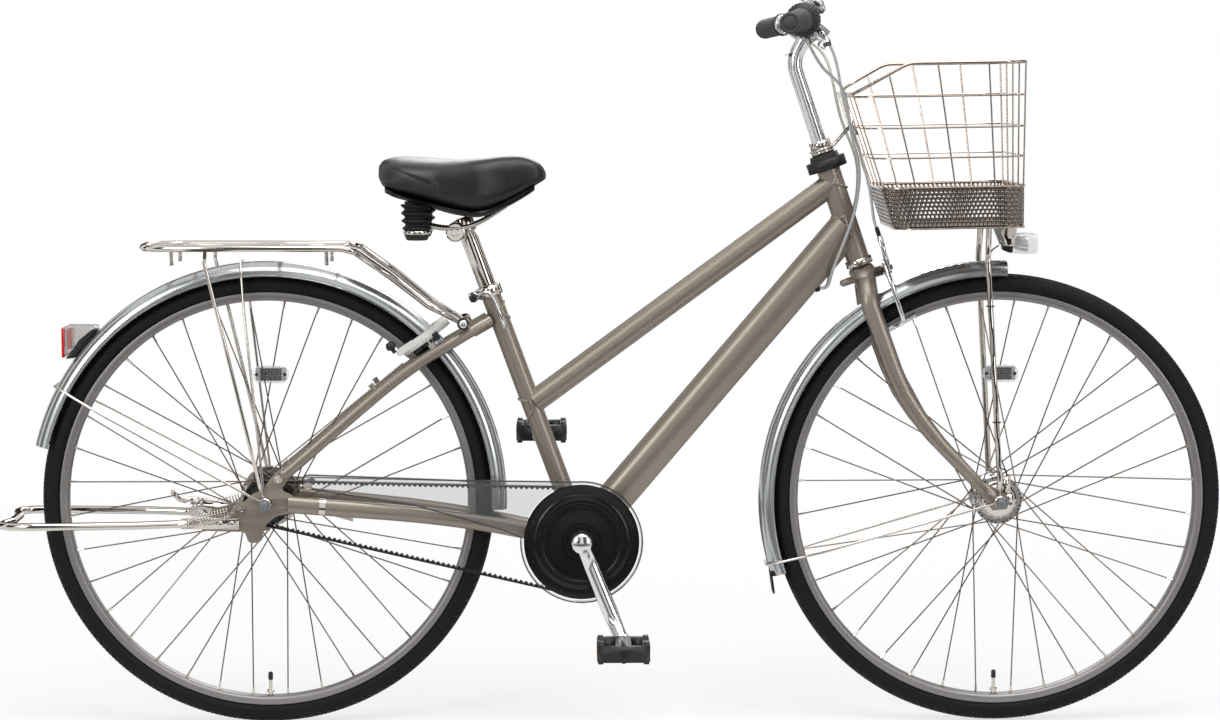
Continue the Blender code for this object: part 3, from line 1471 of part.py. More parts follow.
def make_brake_bracket(name, side):
    """A clamp round the bar with two cheeks that hold the lever's pin. The right one carries the bell."""
    _, way, _ = grip_axis(side)
    centre = on_grip(side, bracket_place(side))
    half = BRACKET_WIDTH / 2
    ring = turned(
        [(GRIP_BORE, half), (0.0160, half), (0.0160, -half), (GRIP_BORE, -half)],
        axis_matrix(centre, way),
        12,
        ring=True,
    )
    pivot = lever_pivot(side)
    normal = lever_axis(side)
    turn = frame_matrix(centre, LEVER_FORWARD, normal)
    reach = (pivot - centre).length + LEVER_EYE_RADIUS
    pieces = []
    cheek_at = LEVER_THICKNESS / 2 + RUNNING_GAP + CHEEK / 2
    for sign in (-1, 1):
        spot = turn @ Vector(((0.0130 + reach) / 2, 0.0042, sign * cheek_at))
        pieces.append(box(spot, (reach - 0.0130, 0.0205, CHEEK), turn))
    spot = turn @ Vector(((0.0130 + reach) / 2, LEVER_EYE_RADIUS + 0.0045, 0))
    pieces.append(box(spot, (reach - 0.0140, 0.0060, 2 * cheek_at), turn))
    pieces.append(rod(barrel_end(side) + side * 0.012 * Y_AXIS, barrel_end(side), 0.0045, sides=6))
    pieces.append(rod(pivot - (cheek_at + 0.001) * normal, pivot + (cheek_at + 0.001) * normal,
        LEVER_PIN_RADIUS))
    if side < 0:
        up = bell_up()
        base = bell_place()
        pieces.append(rod(centre + 0.0152 * up, base + 0.004 * up, BELL_POST_RADIUS))
        dome = turned(
            [(0, 0.0130), (0.0100, 0.0112), (0.0165, 0.0050), (0.0170, 0.0), (0, 0.0)], axis_matrix(base,
                up), 12
        )
        pieces.append(dome)
    return finish(join(ring, *pieces), name, ALUMINIUM, HEAD_BOTTOM)


def bell_up():
    return Vector((0.55, 0.35, 0.76)).normalized()


def bell_place():
    return on_grip(-1, bracket_place(-1)) + 0.0250 * bell_up()


def make_bell_lever():
    """The thumb striker, which turns on the post under the bell's dome."""
    up = bell_up()
    pivot = bell_place() - 0.0030 * up
    out = up.cross(Y_AXIS).normalized()
    eye = extruded([circle(0, 0, 0.0072, 8), bore(0, 0, BELL_POST_RADIUS)], 0.0020, frame_matrix(pivot, out,
        up))
    tip = pivot + 0.0230 * out
    flat = [(-0.0030, -0.0008), (0.0030, -0.0008), (0.0030, 0.0008), (-0.0030, 0.0008)]
    arm = beam(pivot + 0.0055 * out, tip, flat, up)
    pad = rod(tip - 0.0005 * up, tip + 0.0080 * up, 0.0035, sides=6)
    return finish(join(eye, arm, pad), "bell_lever", CHROME, pivot)


def lever_axis(side):
    """The lever turns about an axis square to the grip and to the bracket's arm."""
    _, way, _ = grip_axis(side)
    return way.cross(LEVER_FORWARD).normalized()


def make_brake_lever(name, side):
    """A curved blade from its pivot outwards in front of the grip."""
    pivot = lever_pivot(side)
    _, way, _ = grip_axis(side)
    normal = lever_axis(side)
    reach = grip_end(side) - bracket_place(side)
    path = [
        pivot + 0.0010 * way + 0.0010 * LEVER_FORWARD,
        pivot + 0.0120 * way + 0.0070 * LEVER_FORWARD,
        pivot + 0.0250 * way + 0.0130 * LEVER_FORWARD,
        pivot + 0.0480 * way + 0.0195 * LEVER_FORWARD,
        pivot + 0.0800 * way + 0.0185 * LEVER_FORWARD,
        pivot + (reach - 0.018) * way + 0.0210 * LEVER_FORWARD,
        pivot + (reach - 0.014) * way + 0.0220 * LEVER_FORWARD,
        pivot + (reach - 0.008) * way + 0.0235 * LEVER_FORWARD,
    ]
    blade = tube(path, 0.0060, [0.0062, 0.0062, 0.0060, 0.0056, 0.0052, 0.0050, 0.0064, 0.0052], 1)
    blade.data.transform(flat_matrix(normal, 0.45, pivot))
    eye = rod(pivot - LEVER_THICKNESS / 2 * normal, pivot + LEVER_THICKNESS / 2 * normal, LEVER_EYE_RADIUS,
        sides=10)
    hole = rod(pivot - 0.010 * normal, pivot + 0.010 * normal, clear_radius(LEVER_PIN_RADIUS, 8))
    return finish(cut(join(blade, eye), hole), name, ALUMINIUM, pivot)


def flat_matrix(direction, factor, centre):
    """Scales by a factor along one direction, about a point."""
    scale = Matrix.Scale(factor, 4, direction)
    return Matrix.Translation(centre) @ scale @ Matrix.Translation(-centre)


# Basket

BASKET_REAR_FLOOR = from_rear(WHEELBASE - 0.1683, 0, 0.4120)
BASKET_FRONT_FLOOR = from_rear(WHEELBASE + 0.0257, 0, 0.4160)
BASKET_HALF_FLOOR = 0.130
BASKET_HALF_RIM = 0.172
BAND_HEIGHT = 0.0620
BASKET_FLARE_REAR = 0.0780
BASKET_FLARE_FRONT = 0.0060
BASKET_STEPS = (0.0620, 0.1060, 0.1500, 0.1960, 0.2440)
REAR_RIM_HEIGHT = 0.2010
RIM_KNEE = 0.34


def basket_ring(height, corner=0.030, grow=0.0):
    """The basket's outline at a height above its floor: a rounded rectangle that flares with height."""
    rear = basket_wall_point(height, 0.0, 1)
    front = basket_wall_point(height, 1.0, 1)
    half = rear.y + grow
    low = rear.x - grow
    high = front.x + grow
    plan = rounded([(low, -half), (high, -half), (high, half), (low, half)], corner, 1)
    return [Vector((x, y, rear.z + (x - low) / (high - low) * (front.z - rear.z))) for x, y in plan]


def basket_wall_point(height, x_share, side):
    """A point on a side wall, so far along it and so high."""
    share = height / BASKET_STEPS[-1]
    half = BASKET_HALF_FLOOR + (BASKET_HALF_RIM - BASKET_HALF_FLOOR) * share
    rear_x = BASKET_REAR_FLOOR.x - BASKET_FLARE_REAR * share
    front_x = BASKET_FRONT_FLOOR.x - BASKET_FLARE_FRONT * share
    x = rear_x + (front_x - rear_x) * x_share
    z = BASKET_REAR_FLOOR.z + height + x_share * (BASKET_FRONT_FLOOR.z - BASKET_REAR_FLOOR.z)
    return Vector((x, side * half, z))


def make_basket():
    """A sheet metal pan with a wire cage welded to its rim."""
    pan = loft([basket_ring(0.0), basket_ring(BAND_HEIGHT)])
    hollow = loft(
        [basket_ring(BASKET_SHEET, 0.030, -BASKET_SHEET), basket_ring(BAND_HEIGHT + 0.004, 0.030,
            -BASKET_SHEET)]
    )
    basket = cut(pan, hollow)
    corner = 0.10
    rim = []
    for side, shares in ((-1, (corner, RIM_KNEE, 1 - corner)), (1, (1 - corner, RIM_KNEE, corner))):
        rim += [basket_wall_point(rim_height_at(share), share, side) for share in shares]
        end = 1.0 if side < 0 else 0.0
        spot = basket_wall_point(rim_height_at(end), end, 1)
        rim += [Vector((spot.x, side * spot.y * 0.84, spot.z)), Vector((spot.x, -side * spot.y * 0.84,
            spot.z))]
    wires = [tube(rim, BASKET_RIM_WIRE, resolution=0, cyclic=True)]
    for height in BASKET_STEPS[1:4]:
        wires.append(tube(basket_ring(height, 0.034), BASKET_WIRE, resolution=0, cyclic=True))
    foot = BAND_HEIGHT - 0.006
    for share in (0.22, 0.50, 0.78):
        for side in (-1, 1):
            low = basket_wall_point(foot, share, side)
            high = basket_wall_point(rim_height_at(share) + 0.0010, share, side)
            wires.append(rod(low, high, BASKET_WIRE, sides=3))
    for end in (0.0, 1.0):
        for across in (-0.60, 0, 0.60):
            low = basket_wall_point(foot, end, across)
            high = basket_wall_point(rim_height_at(end) + 0.0010, end, across)
            wires.append(rod(low, high, BASKET_WIRE, sides=3))
    return finish(join(basket, *wires), "basket", CHROME, HEAD_BOTTOM)


def floor_at(x):
    """The height of the basket's underside at a place along the bike."""
    share = (x - BASKET_REAR_FLOOR.x) / (BASKET_FRONT_FLOOR.x - BASKET_REAR_FLOOR.x)
    return BASKET_REAR_FLOOR.z + share * (BASKET_FRONT_FLOOR.z - BASKET_REAR_FLOOR.z)


def rim_height_at(x_share):
    """The rim's height above the floor: it dips towards the rider behind its knee."""
    behind = max(0.0, 1 - x_share / RIM_KNEE)
    return BASKET_STEPS[-1] - behind * (BASKET_STEPS[-1] - REAR_RIM_HEIGHT)


# The stay that carries the basket

BASKET_STAY_RADIUS = 0.0045
BASKET_STAY_HALF = 0.0475
BASKET_STAY_TOP = -0.0200
BASKET_PLATE_THICKNESS = 0.0030
CLAMP_THICKNESS = 0.0050


def make_basket_stay():
    """Two rods from the front axle to a plate under the basket's floor, with the lamp's ears under it."""
    top_x = FRONT_AXLE.x + BASKET_STAY_TOP
    slope = math.atan2(BASKET_FRONT_FLOOR.z - BASKET_REAR_FLOOR.z,
        BASKET_FRONT_FLOOR.x - BASKET_REAR_FLOOR.x)
    length = 0.080
    plate_x = top_x + 0.012
    plate_z = floor_at(plate_x) - GAP - BASKET_PLATE_THICKNESS / 2 / math.cos(slope)
    plate = box(
        Vector((plate_x, 0, plate_z)),
        (length, 2 * BASKET_STAY_HALF + 0.020, BASKET_PLATE_THICKNESS),
        Matrix.Rotation(-slope, 4, "Y"),
    )
    pieces = []
    for side in (-1, 1):
        eye = outer_eye(FRONT_END)
        path = [
            FRONT_AXLE + Vector((-0.0006, side * eye, 0.0088)),
            FRONT_AXLE + Vector((-0.0012, side * (eye + 0.0006), 0.0170)),
            FRONT_AXLE + Vector((-0.0020, side * (eye + 0.0045), 0.0290)),
            FRONT_AXLE + Vector((-0.0030, side * (eye + 0.0040), 0.0500)),
            Vector((top_x - 0.002, side * (BASKET_STAY_HALF + 0.008), plate_z - 0.050)),
            Vector((top_x, side * BASKET_STAY_HALF, plate_z)),
        ]
        pieces.append(
            tube(path, BASKET_STAY_RADIUS, [0.0012, 0.0014] + [BASKET_STAY_RADIUS] * 4, 1)
        )
        pieces.append(eye_plate(FRONT_AXLE, 0.0100, side * eye))
        ear_x = LAMP_PIVOT.x
        ear_top = plate_z - LAMP_PIVOT.z
        outline = [(-0.020, ear_top), (0.012, ear_top), (0.008, -0.006), (-0.008, -0.006)]
        pieces.append(
            extruded(
                [outline, bore(0, 0, LAMP_PIN_RADIUS, 8)],
                LAMP_EAR,
                side_matrix(Vector((ear_x, side * (LAMP_HALF + RUNNING_GAP + LAMP_EAR / 2), LAMP_PIVOT.z))),
            )
        )
    return finish(join(plate, *pieces), "basket_stay", CHROME, HEAD_BOTTOM)


def make_basket_bracket():
    """The strap between the headset nuts, with a rod forward to a clamp on the basket's rear wires."""
    matrix = frame_matrix(on_head(STRAP_AT), HEAD_FORWARD, HEAD_UP)
    hole = circle(0, 0, clear_radius(STRAP_GROOVE, 12), 12)
    strap = extruded([circle(0, 0, 0.0195, 12), hole], STRAP_THICKNESS, matrix)
    height = BASKET_STEPS[2] + 0.006
    wall = basket_wall_point(height, 0.0, 1)
    lean = math.atan2(BASKET_FLARE_REAR, BASKET_STEPS[-1])
    back = Vector((-math.cos(lean), 0, -math.sin(lean)))
    face = Vector((wall.x, 0, wall.z)) + (BASKET_WIRE + GAP + CLAMP_THICKNESS / 2) * back
    neck = rod(on_head(STRAP_AT, 0.0184), face, 0.0028, sides=6)
    clamp = box(face, (CLAMP_THICKNESS, 0.050, 0.034), Matrix.Rotation(-lean, 4, "Y"))
    return finish(join(strap, neck, clamp), "basket_bracket", CHROME, HEAD_BOTTOM)


# Headlight

LAMP_PIVOT = Vector((BASKET_FRONT_FLOOR.x - 0.012, 0, BASKET_FRONT_FLOOR.z - 0.0260))
LAMP_HALF = 0.0220
LAMP_EAR = 0.0020
LAMP_PIN_RADIUS = 0.0030


def make_headlight():
    """A lamp under the basket's front edge: a housing behind a clear lens, on its tilting pins."""
    middle = LAMP_PIVOT + Vector((0.0085, 0, -0.003))
    lamp = loft(
        [
            [
                middle + Vector((along, wide * half_y, tall * half_z))
                for wide, tall in (
                    (-1, -0.6), (-0.75, -1), (0.75, -1), (1, -0.6), (1, 0.6), (0.75, 1), (-0.75, 1), (-1,
                        0.6),
                )
            ]
            for along, half_y, half_z in (
                (-0.016, 0.012, 0.009), (-0.008, 0.020, 0.0135), (0.020, LAMP_HALF, 0.0155),
                (0.0365, 0.0205, 0.0140),
            )
        ]
    )
    reach = LAMP_HALF + RUNNING_GAP + LAMP_EAR + 0.001
    pin = rod(LAMP_PIVOT - reach * Y_AXIS, LAMP_PIVOT + reach * Y_AXIS, LAMP_PIN_RADIUS, sides=8)
    return finish(join(lamp, pin), "headlight", LAMP, LAMP_PIVOT)


# Mudguards

def mudguard_shell(centre, first, last, steps):
    """A curved guard over part of a wheel, between two angles in degrees. It is a thickened sheet."""
    half = MUDGUARD_WIDTH / 2
    crown = MUDGUARD_RADIUS
    section = [(crown - MUDGUARD_DEPTH, half), (crown - 0.0060, half * 0.84), (crown, 0)]
    section += [(radius, -height) for radius, height in reversed(section[:-1])]
    start = math.radians(first)
    bm = bmesh.new()
    verts = [bm.verts.new((radius, 0, height)) for radius, height in section]
    for one, two in zip(verts, verts[1:]):
        bm.edges.new((one, two))
    mesh = bpy.data.meshes.new("mudguard")
    bm.to_mesh(mesh)
    bm.free()
    obj = add("mudguard", mesh)
    obj.matrix_world = frame_matrix(centre, Vector((math.cos(start), 0, math.sin(start))), RIGHT)
    screw = obj.modifiers.new("screw", "SCREW")
    screw.axis = "Z"
    screw.angle = math.radians(last - first)
    screw.steps = steps
    screw.render_steps = steps
    screw.use_merge_vertices = False
    solidify = obj.modifiers.new("wall", "SOLIDIFY")
    solidify.thickness = MUDGUARD_WALL
    solidify.offset = 0
    return as_mesh(obj)


def wheel_point(centre, radius, degrees, left=0.0):
    angle = math.radians(degrees)
    return centre + Vector((radius * math.cos(angle), left, radius * math.sin(angle)))


def u_stay(centre, degrees, eye, spread):
    """A wire stay that runs from one axle end over the guard to the other axle end."""
    crown = MUDGUARD_RADIUS + MUDGUARD_WALL / 2 + STAY_RADIUS * 0.5
    half = MUDGUARD_WIDTH / 2 + MUDGUARD_WALL / 2 + STAY_RADIUS * 0.6
    leg = [
        (0.0082, eye, 0.0009), (0.0170, eye, 0.0009), (0.0270, eye + 0.0014, STAY_RADIUS),
        (MUDGUARD_RADIUS - 0.080, spread, STAY_RADIUS), (MUDGUARD_RADIUS - 0.016, half + 0.001,
            STAY_RADIUS),
        (crown, half * 0.74, STAY_RADIUS),
    ]
    path = []
    radii = []
    for side, half_route in ((-1, leg), (1, leg[::-1])):
        path += [wheel_point(centre, radius, degrees, side * left) for radius, left, _ in half_route]
        radii += [thickness for *_, thickness in half_route]
    return tube(path, STAY_RADIUS, radii, 0)


def eye_plate(centre, radius, left):
    """A thin round stay end on an axle."""
    return extruded([circle(0, 0, radius, 8), bore(0, 0, AXLE_RADIUS)], STAY_PLATE,
        side_matrix(centre + left * Y_AXIS))


def outer_eye(end):
    """Where the second stay plate on an axle sits, outside the first."""
    return end + DROPOUT_THICKNESS + STAY_PLATE * 1.5 + 2 * GAP


def inner_eye(end):
    return end + DROPOUT_THICKNESS + STAY_PLATE * 0.5 + GAP


def make_rear_mudguard():
    shell = mudguard_shell(REAR_AXLE, -2.4, 166.5, 20)
    eye = inner_eye(REAR_END)
    pieces = [u_stay(REAR_AXLE, 96, eye, 0.052), u_stay(REAR_AXLE, 151.4, eye, 0.050)]
    pieces += [eye_plate(REAR_AXLE, 0.0100, -eye), eye_plate(REAR_AXLE, 0.0100, eye)]
    return finish(join(shell, *pieces), "rear_mudguard", GUARD_METAL)


def make_front_mudguard():
    """The front guard, with its stay, its tab under the crown and the flap that hangs from its rear end."""
    shell = mudguard_shell(FRONT_AXLE, 88.0, 199.3, 14)
    eye = inner_eye(FRONT_END)
    flap_high = wheel_point(FRONT_AXLE, MUDGUARD_RADIUS - 0.0010, 198.0)
    way = (wheel_point(FRONT_AXLE, MUDGUARD_RADIUS + 0.006, 203.0) - flap_high).normalized()
    across = way.cross(Y_AXIS)
    flap = loft(
        [
            [
                flap_high + along * way + half * sign * Y_AXIS + depth * across
                for sign, depth in ((-1, -0.0014), (1, -0.0014), (1, 0.0014), (-1, 0.0014))
            ]
            for along, half in ((0.0, 0.0215), (0.020, 0.0240), (0.034, 0.0180))
        ]
    )
    under = wheel_point(FRONT_AXLE, MUDGUARD_RADIUS + 0.012, 121.6)
    tab = box(under, (0.012, 0.016, 0.028), Matrix.Rotation(-math.radians(121.6 - 90), 4, "Y"))
    pieces = [u_stay(FRONT_AXLE, 196, eye, 0.052), eye_plate(FRONT_AXLE, 0.0100, -eye)]
    pieces += [eye_plate(FRONT_AXLE, 0.0100, eye), flap, cut(tab, crown_solid(GAP))]
    return finish(join(shell, *pieces), "front_mudguard", GUARD_METAL, HEAD_BOTTOM)


# Carrier

def make_rear_carrier():
    """Polished tubes: a loop with inner rods, hook studs, struts to the seat stays and legs to the axle."""
    half = CARRIER_WIDTH / 2
    level = CARRIER_HEIGHT - WHEEL_RADIUS
    rear = -0.1820
    front = 0.1400
    loop = tube(
        bent(
            [
                from_rear(front, -half, level - 0.006), from_rear(front - 0.020, -half, level),
                from_rear(rear, -half, level), from_rear(rear, half, level),
                from_rear(front - 0.020, half, level), from_rear(front, half, level - 0.006),
            ],
            0.045,
            2,
        ),
        CARRIER_TUBE,
        resolution=1,
    )
    pieces = []
    for across in (-0.028, 0.028):
        ends = from_rear(rear + 0.002, across, level), from_rear(front - 0.022, across, level)
        pieces.append(rod(*ends, CARRIER_ROD, sides=5))
    for along in (-0.125, 0.020, front - 0.022):
        ends = from_rear(along, -half, level - 0.001), from_rear(along, half, level - 0.001)
        pieces.append(rod(*ends, CARRIER_ROD, sides=5))
    for side in (-1, 1):
        for along in (-0.137, 0.094):
            hook = [
                from_rear(along, side * half, level - 0.002), from_rear(along, side * (half - 0.018),
                    level - 0.005),
                from_rear(along, side * (half - 0.021), level - 0.026),
            ]
            pieces.append(tube(hook, 0.0028, resolution=0))
        strut = [
            from_rear(front - 0.001, side * half, level - 0.006),
            from_rear(0.190, side * 0.0720, 0.3420),
            from_rear(0.245, side * 0.0600, 0.2980),
            from_rear(CARRIER_LUG_AHEAD - 0.006, side * (CARRIER_LUG_FACE + 0.0042),
                CARRIER_LUG_ABOVE + 0.002),
        ]
        pieces.append(tube(strut, CARRIER_TUBE * 0.9, [0.0050, 0.0050, 0.0050, 0.0034], 0))
        bolt_start = from_rear(CARRIER_LUG_AHEAD, side * (CARRIER_LUG_FACE + GAP), CARRIER_LUG_ABOVE)
        pieces.append(rod(bolt_start, bolt_start + side * 0.0080 * Y_AXIS, 0.0075, sides=6))
        eye = outer_eye(REAR_END)
        leg = [
            (-0.0840, half, level + 0.001, CARRIER_ROD), (-0.0860, half + 0.002, level - 0.022,
                CARRIER_ROD),
            (-0.0640, half + 0.003, level - 0.110, CARRIER_ROD), (-0.0068, eye + 0.0060, 0.0270,
                CARRIER_ROD),
            (-0.0038, eye, 0.0165, 0.0009), (-0.0020, eye, 0.0082, 0.0009),
        ]
        path = [from_rear(x, side * y, z) for x, y, z, _ in leg]
        pieces.append(tube(path, CARRIER_ROD, [radius for *_, radius in leg], 0))
        pieces.append(eye_plate(REAR_AXLE, 0.0100, side * eye))
    return finish(join(loop, *pieces), "rear_carrier", CHROME)


def make_tail_light():
    """A lamp on the rear guard, with its lens facing back."""
    angle = 140.5
    radius = MUDGUARD_RADIUS + MUDGUARD_WALL / 2 + GAP
    foot = wheel_point(REAR_AXLE, radius, angle)
    out = (foot - REAR_AXLE).normalized()
    along = Vector((-out.z, 0, out.x))
    body = loft(
        [
            [
                foot + up * out + half_x * sx * along + half_y * sy * Y_AXIS
                for sx, sy in ((-1, -0.7), (-0.8, -1), (0.8, -1), (1, -0.7), (1, 0.7), (0.8, 1), (-0.8, 1),
                    (-1, 0.7))
            ]
            for up, half_x, half_y in (
                (0.0, 0.0090, 0.0040), (0.008, 0.0270, 0.0190), (0.022, 0.0270, 0.0200), (0.027, 0.0230,
                    0.0170),
            )
        ]
    )
    return finish(body, "tail_light", RED_LENS)


# Ring lock

LOCK_ALONG = Vector((math.cos(LOCK_ANGLE), 0, math.sin(LOCK_ANGLE)))
LOCK_NORMAL = Vector((-math.sin(LOCK_ANGLE), 0, math.cos(LOCK_ANGLE)))
LOCK_CENTRE = from_rear(LOCK_AHEAD, 0, LOCK_ABOVE)
LOCK_END = 52


def lock_matrix():
    """Local X is to the left, local Y is outwards from the wheel and local Z is the ring's axis."""
    return frame_matrix(LOCK_CENTRE, LEFT, LEFT.cross(LOCK_ALONG))


def make_ring_lock_body():
    """A horseshoe case round the tyre, hollow for the shackle, on two posts against the seat stays."""
    inner = LOCK_RING_RADIUS - LOCK_BODY_WIDTH / 2
    outer = LOCK_RING_RADIUS + LOCK_BODY_WIDTH / 2
    outline = arc(0, 0, outer, LOCK_END - 90, 270 - LOCK_END, 14) + arc(0, 0, inner, 270 - LOCK_END,
        LOCK_END - 90, 12)
    case = extruded([outline], LOCK_BODY_THICKNESS, lock_matrix())
    path = []
    for k in range(30):
        angle = math.tau * k / 30
        path.append(lock_matrix() @ Vector((LOCK_RING_RADIUS * math.cos(angle),
            LOCK_RING_RADIUS * math.sin(angle), 0)))
    groove = tube(path, clear_radius(SHACKLE_RADIUS, 4, RUNNING_GAP), resolution=0, cyclic=True)
    case = cut(case, groove)
    for side in (-1, 1):
        start = LOCK_CENTRE + 0.0110 * LOCK_ALONG - 0.0056 * LOCK_NORMAL + side * 0.0410 * Y_AXIS
        post = rod(start, start - 0.0230 * LOCK_NORMAL, 0.0055)
        case = join(case, cut(post, seat_stay_solid(side, GAP)))
    return finish(case, "ring_lock_body", GREY_PLASTIC)


def make_ring_lock_shackle():
    """The curved bolt that swings between the spokes to close the lock."""
    count = 24
    matrix = lock_matrix()
    path = []
    for k in range(count + 1):
        angle = math.radians(LOCK_END - 85 + 243 * k / count)
        path.append(matrix @ Vector((LOCK_RING_RADIUS * math.cos(angle), LOCK_RING_RADIUS * math.sin(angle),
            0)))
    return finish(tube(path, SHACKLE_RADIUS, resolution=1), "ring_lock_shackle", CHROME, LOCK_CENTRE)


# Stand

STAND_PIVOT = from_rear(-STAND_PIVOT_BACK, 0, -STAND_PIVOT_DROP)
STAND_TAB = 0.0040
STAND_TAB_LEFT = REAR_END + DROPOUT_THICKNESS + GAP + STAND_TAB / 2
SPRING_POST_LEFT = 0.0880
SPRING_POST_RADIUS = 0.0020
SPRING_COIL = 0.0080
SPRING_WIRE = 0.0011
LOCK_LEVER_PIVOT = STAND_PIVOT + Vector((0.0160 - STAND_TAB_LENGTH, STAND_TAB_LEFT, 0.0150))
LOCK_LEVER_PIN = 0.0030


def spring_post(side):
    """Where the fixed end of a stand spring sits, on the dropout's ear."""
    return from_rear(-0.0400, side * SPRING_POST_LEFT, -0.0070)


def leg_pin(side):
    """Where the moving end of a stand spring sits, on the leg."""
    return STAND_PIVOT + Vector((-STAND_TAB_LENGTH - 0.0013, side * SPRING_POST_LEFT, 0))


def make_stand_legs():
    """Two legs and a foot bar in one bent tube, with a flat tab, a pivot pin and a spring pin at each side."""
    length = STAND_LEG_LENGTH
    half = [
        (0.020 - STAND_TAB_LENGTH, 0.0716, 0.0), (-STAND_TAB_LENGTH - 0.0080, 0.0718, 0.0),
        (-STAND_TAB_LENGTH - 0.070, 0.0880, 0.0),
        (-length + 0.050, STAND_SPREAD, 0.0), (-length + 0.006, STAND_SPREAD - 0.004, 0.0),
        (-length, STAND_SPREAD - 0.030, 0.0), (-length + 0.010, STAND_SPREAD - 0.062, 0.0),
    ]
    points = [[STAND_PIVOT + Vector((x, side * y, z)) for x, y, z in half] for side in (-1, 1)]
    legs = tube(bent(points[0] + points[1][::-1], 0.018, 1), STAND_TUBE, resolution=2)
    pieces = []
    for side in (-1, 1):
        spot = STAND_PIVOT + side * STAND_TAB_LEFT * Y_AXIS
        outline = [(0.011, 0.009), (0.011, -0.009), (-STAND_TAB_LENGTH, -0.0075), (-STAND_TAB_LENGTH,
            0.0075)]
        holes = []
        if side > 0:
            ear = LOCK_LEVER_PIVOT - spot
            outline += [(ear.x - 0.007, ear.z + 0.006), (ear.x + 0.007, ear.z + 0.006)]
            holes.append(bore(ear.x, ear.z, LOCK_LEVER_PIN))
        tab = extruded([outline] + holes, STAND_TAB, side_matrix(spot))
        reach = DROPOUT_THICKNESS + STAND_TAB / 2 + 0.0015
        pin = rod(spot + side * 0.001 * Y_AXIS, spot - side * reach * Y_AXIS, STAND_PIN_RADIUS)
        hook = leg_pin(side)
        spring_pin = rod(hook - side * 0.017 * Y_AXIS, hook + side * 0.003 * Y_AXIS, SPRING_POST_RADIUS,
            sides=6)
        pieces += [tab, pin, spring_pin]
    return finish(join(legs, *pieces), "stand_legs", CHROME, STAND_PIVOT)


def make_stand_spring(name, side):
    """A coil spring with a straight hook at each end, between the pin on the leg and the dropout's post."""
    way = (spring_post(side) - leg_pin(side)).normalized()
    first = leg_pin(side) + (SPRING_POST_RADIUS + SPRING_WIRE + GAP) * way
    last = spring_post(side) - (SPRING_POST_RADIUS + SPRING_WIRE + GAP) * way
    start = first + 0.0080 * way
    matrix = axis_matrix(start, way)
    turns = 6
    per_turn = 5
    length = (last - first).length - 0.0160
    points = [first]
    for k in range(turns * per_turn + 1):
        angle = math.tau * k / per_turn
        along = length * k / (turns * per_turn)
        points.append(matrix @ Vector((SPRING_COIL * math.cos(angle), SPRING_COIL * math.sin(angle),
            along)))
    points.append(last)
    return finish(tube(points, SPRING_WIRE, resolution=0), name, CHROME)


def make_stand_lock_lever():
    """The foot lever on the left leg that holds the stand down."""
    plate_left = STAND_TAB_LEFT + STAND_TAB / 2 + GAP + 0.0015
    spot = Vector((LOCK_LEVER_PIVOT.x, plate_left, LOCK_LEVER_PIVOT.z))
    outline = [
        (0.0060, -0.0050), (0.0060, 0.0050), (-0.0060, 0.0070), (-0.0300, 0.0090), (-0.0440, 0.0200),
        (-0.0500, 0.0150), (-0.0360, 0.0005), (-0.0100, -0.0050),
    ]
    blade = extruded([rounded(outline, 0.003, 1)], 0.0030, side_matrix(spot))
    pin = rod(spot, spot - (STAND_TAB + 0.0030) * Y_AXIS, LOCK_LEVER_PIN)
    return finish(join(blade, pin), "stand_lock_lever", CHROME, LOCK_LEVER_PIVOT)


# Seat

def on_seat(along, back=0.0, left=0.0):
    return SEAT_TOP + along * SEAT_UP + back * SEAT_BACK + left * Y_AXIS


COLLAR_AT = -0.0080
COLLAR_BOLT_BACK = SEAT_TUBE_RADIUS + 0.0103
COLLAR_HEIGHT = 0.0170
CLAMP_BOLT_RADIUS = 0.0032


def make_seat_collar():
    """The clamp round the seat tube's top, with two ears behind it and the bolt through them."""
    matrix = frame_matrix(on_seat(COLLAR_AT), SEAT_BACK, SEAT_UP)
    inner = clear_radius(SEAT_TUBE_RADIUS, 11)
    outline = arc(0, 0, SEAT_TUBE_RADIUS + 0.0043, 20, 340, 10) + arc(0, 0, inner, 344, 16, 10)
    collar = extruded([outline], COLLAR_HEIGHT, matrix)
    pieces = []
    for side in (-1, 1):
        spot = on_seat(COLLAR_AT, SEAT_TUBE_RADIUS + 0.0088, side * 0.0055)
        way = frame_matrix(spot, SEAT_BACK, SEAT_UP)
        pieces.append(box(spot, (0.0160, 0.0050, COLLAR_HEIGHT * 0.8), way))
    bolt_left = on_seat(COLLAR_AT, COLLAR_BOLT_BACK, 0.0170)
    bolt_right = on_seat(COLLAR_AT, COLLAR_BOLT_BACK, -0.0205)
    pieces.append(rod(bolt_left, bolt_right, CLAMP_BOLT_RADIUS))
    head_start = on_seat(COLLAR_AT, COLLAR_BOLT_BACK, 0.0140)
    head_end = on_seat(COLLAR_AT, COLLAR_BOLT_BACK, 0.0190)
    pieces.append(rod(head_start, head_end, 0.0065))
    return finish(join(collar, *pieces), "seat_collar", CHROME)


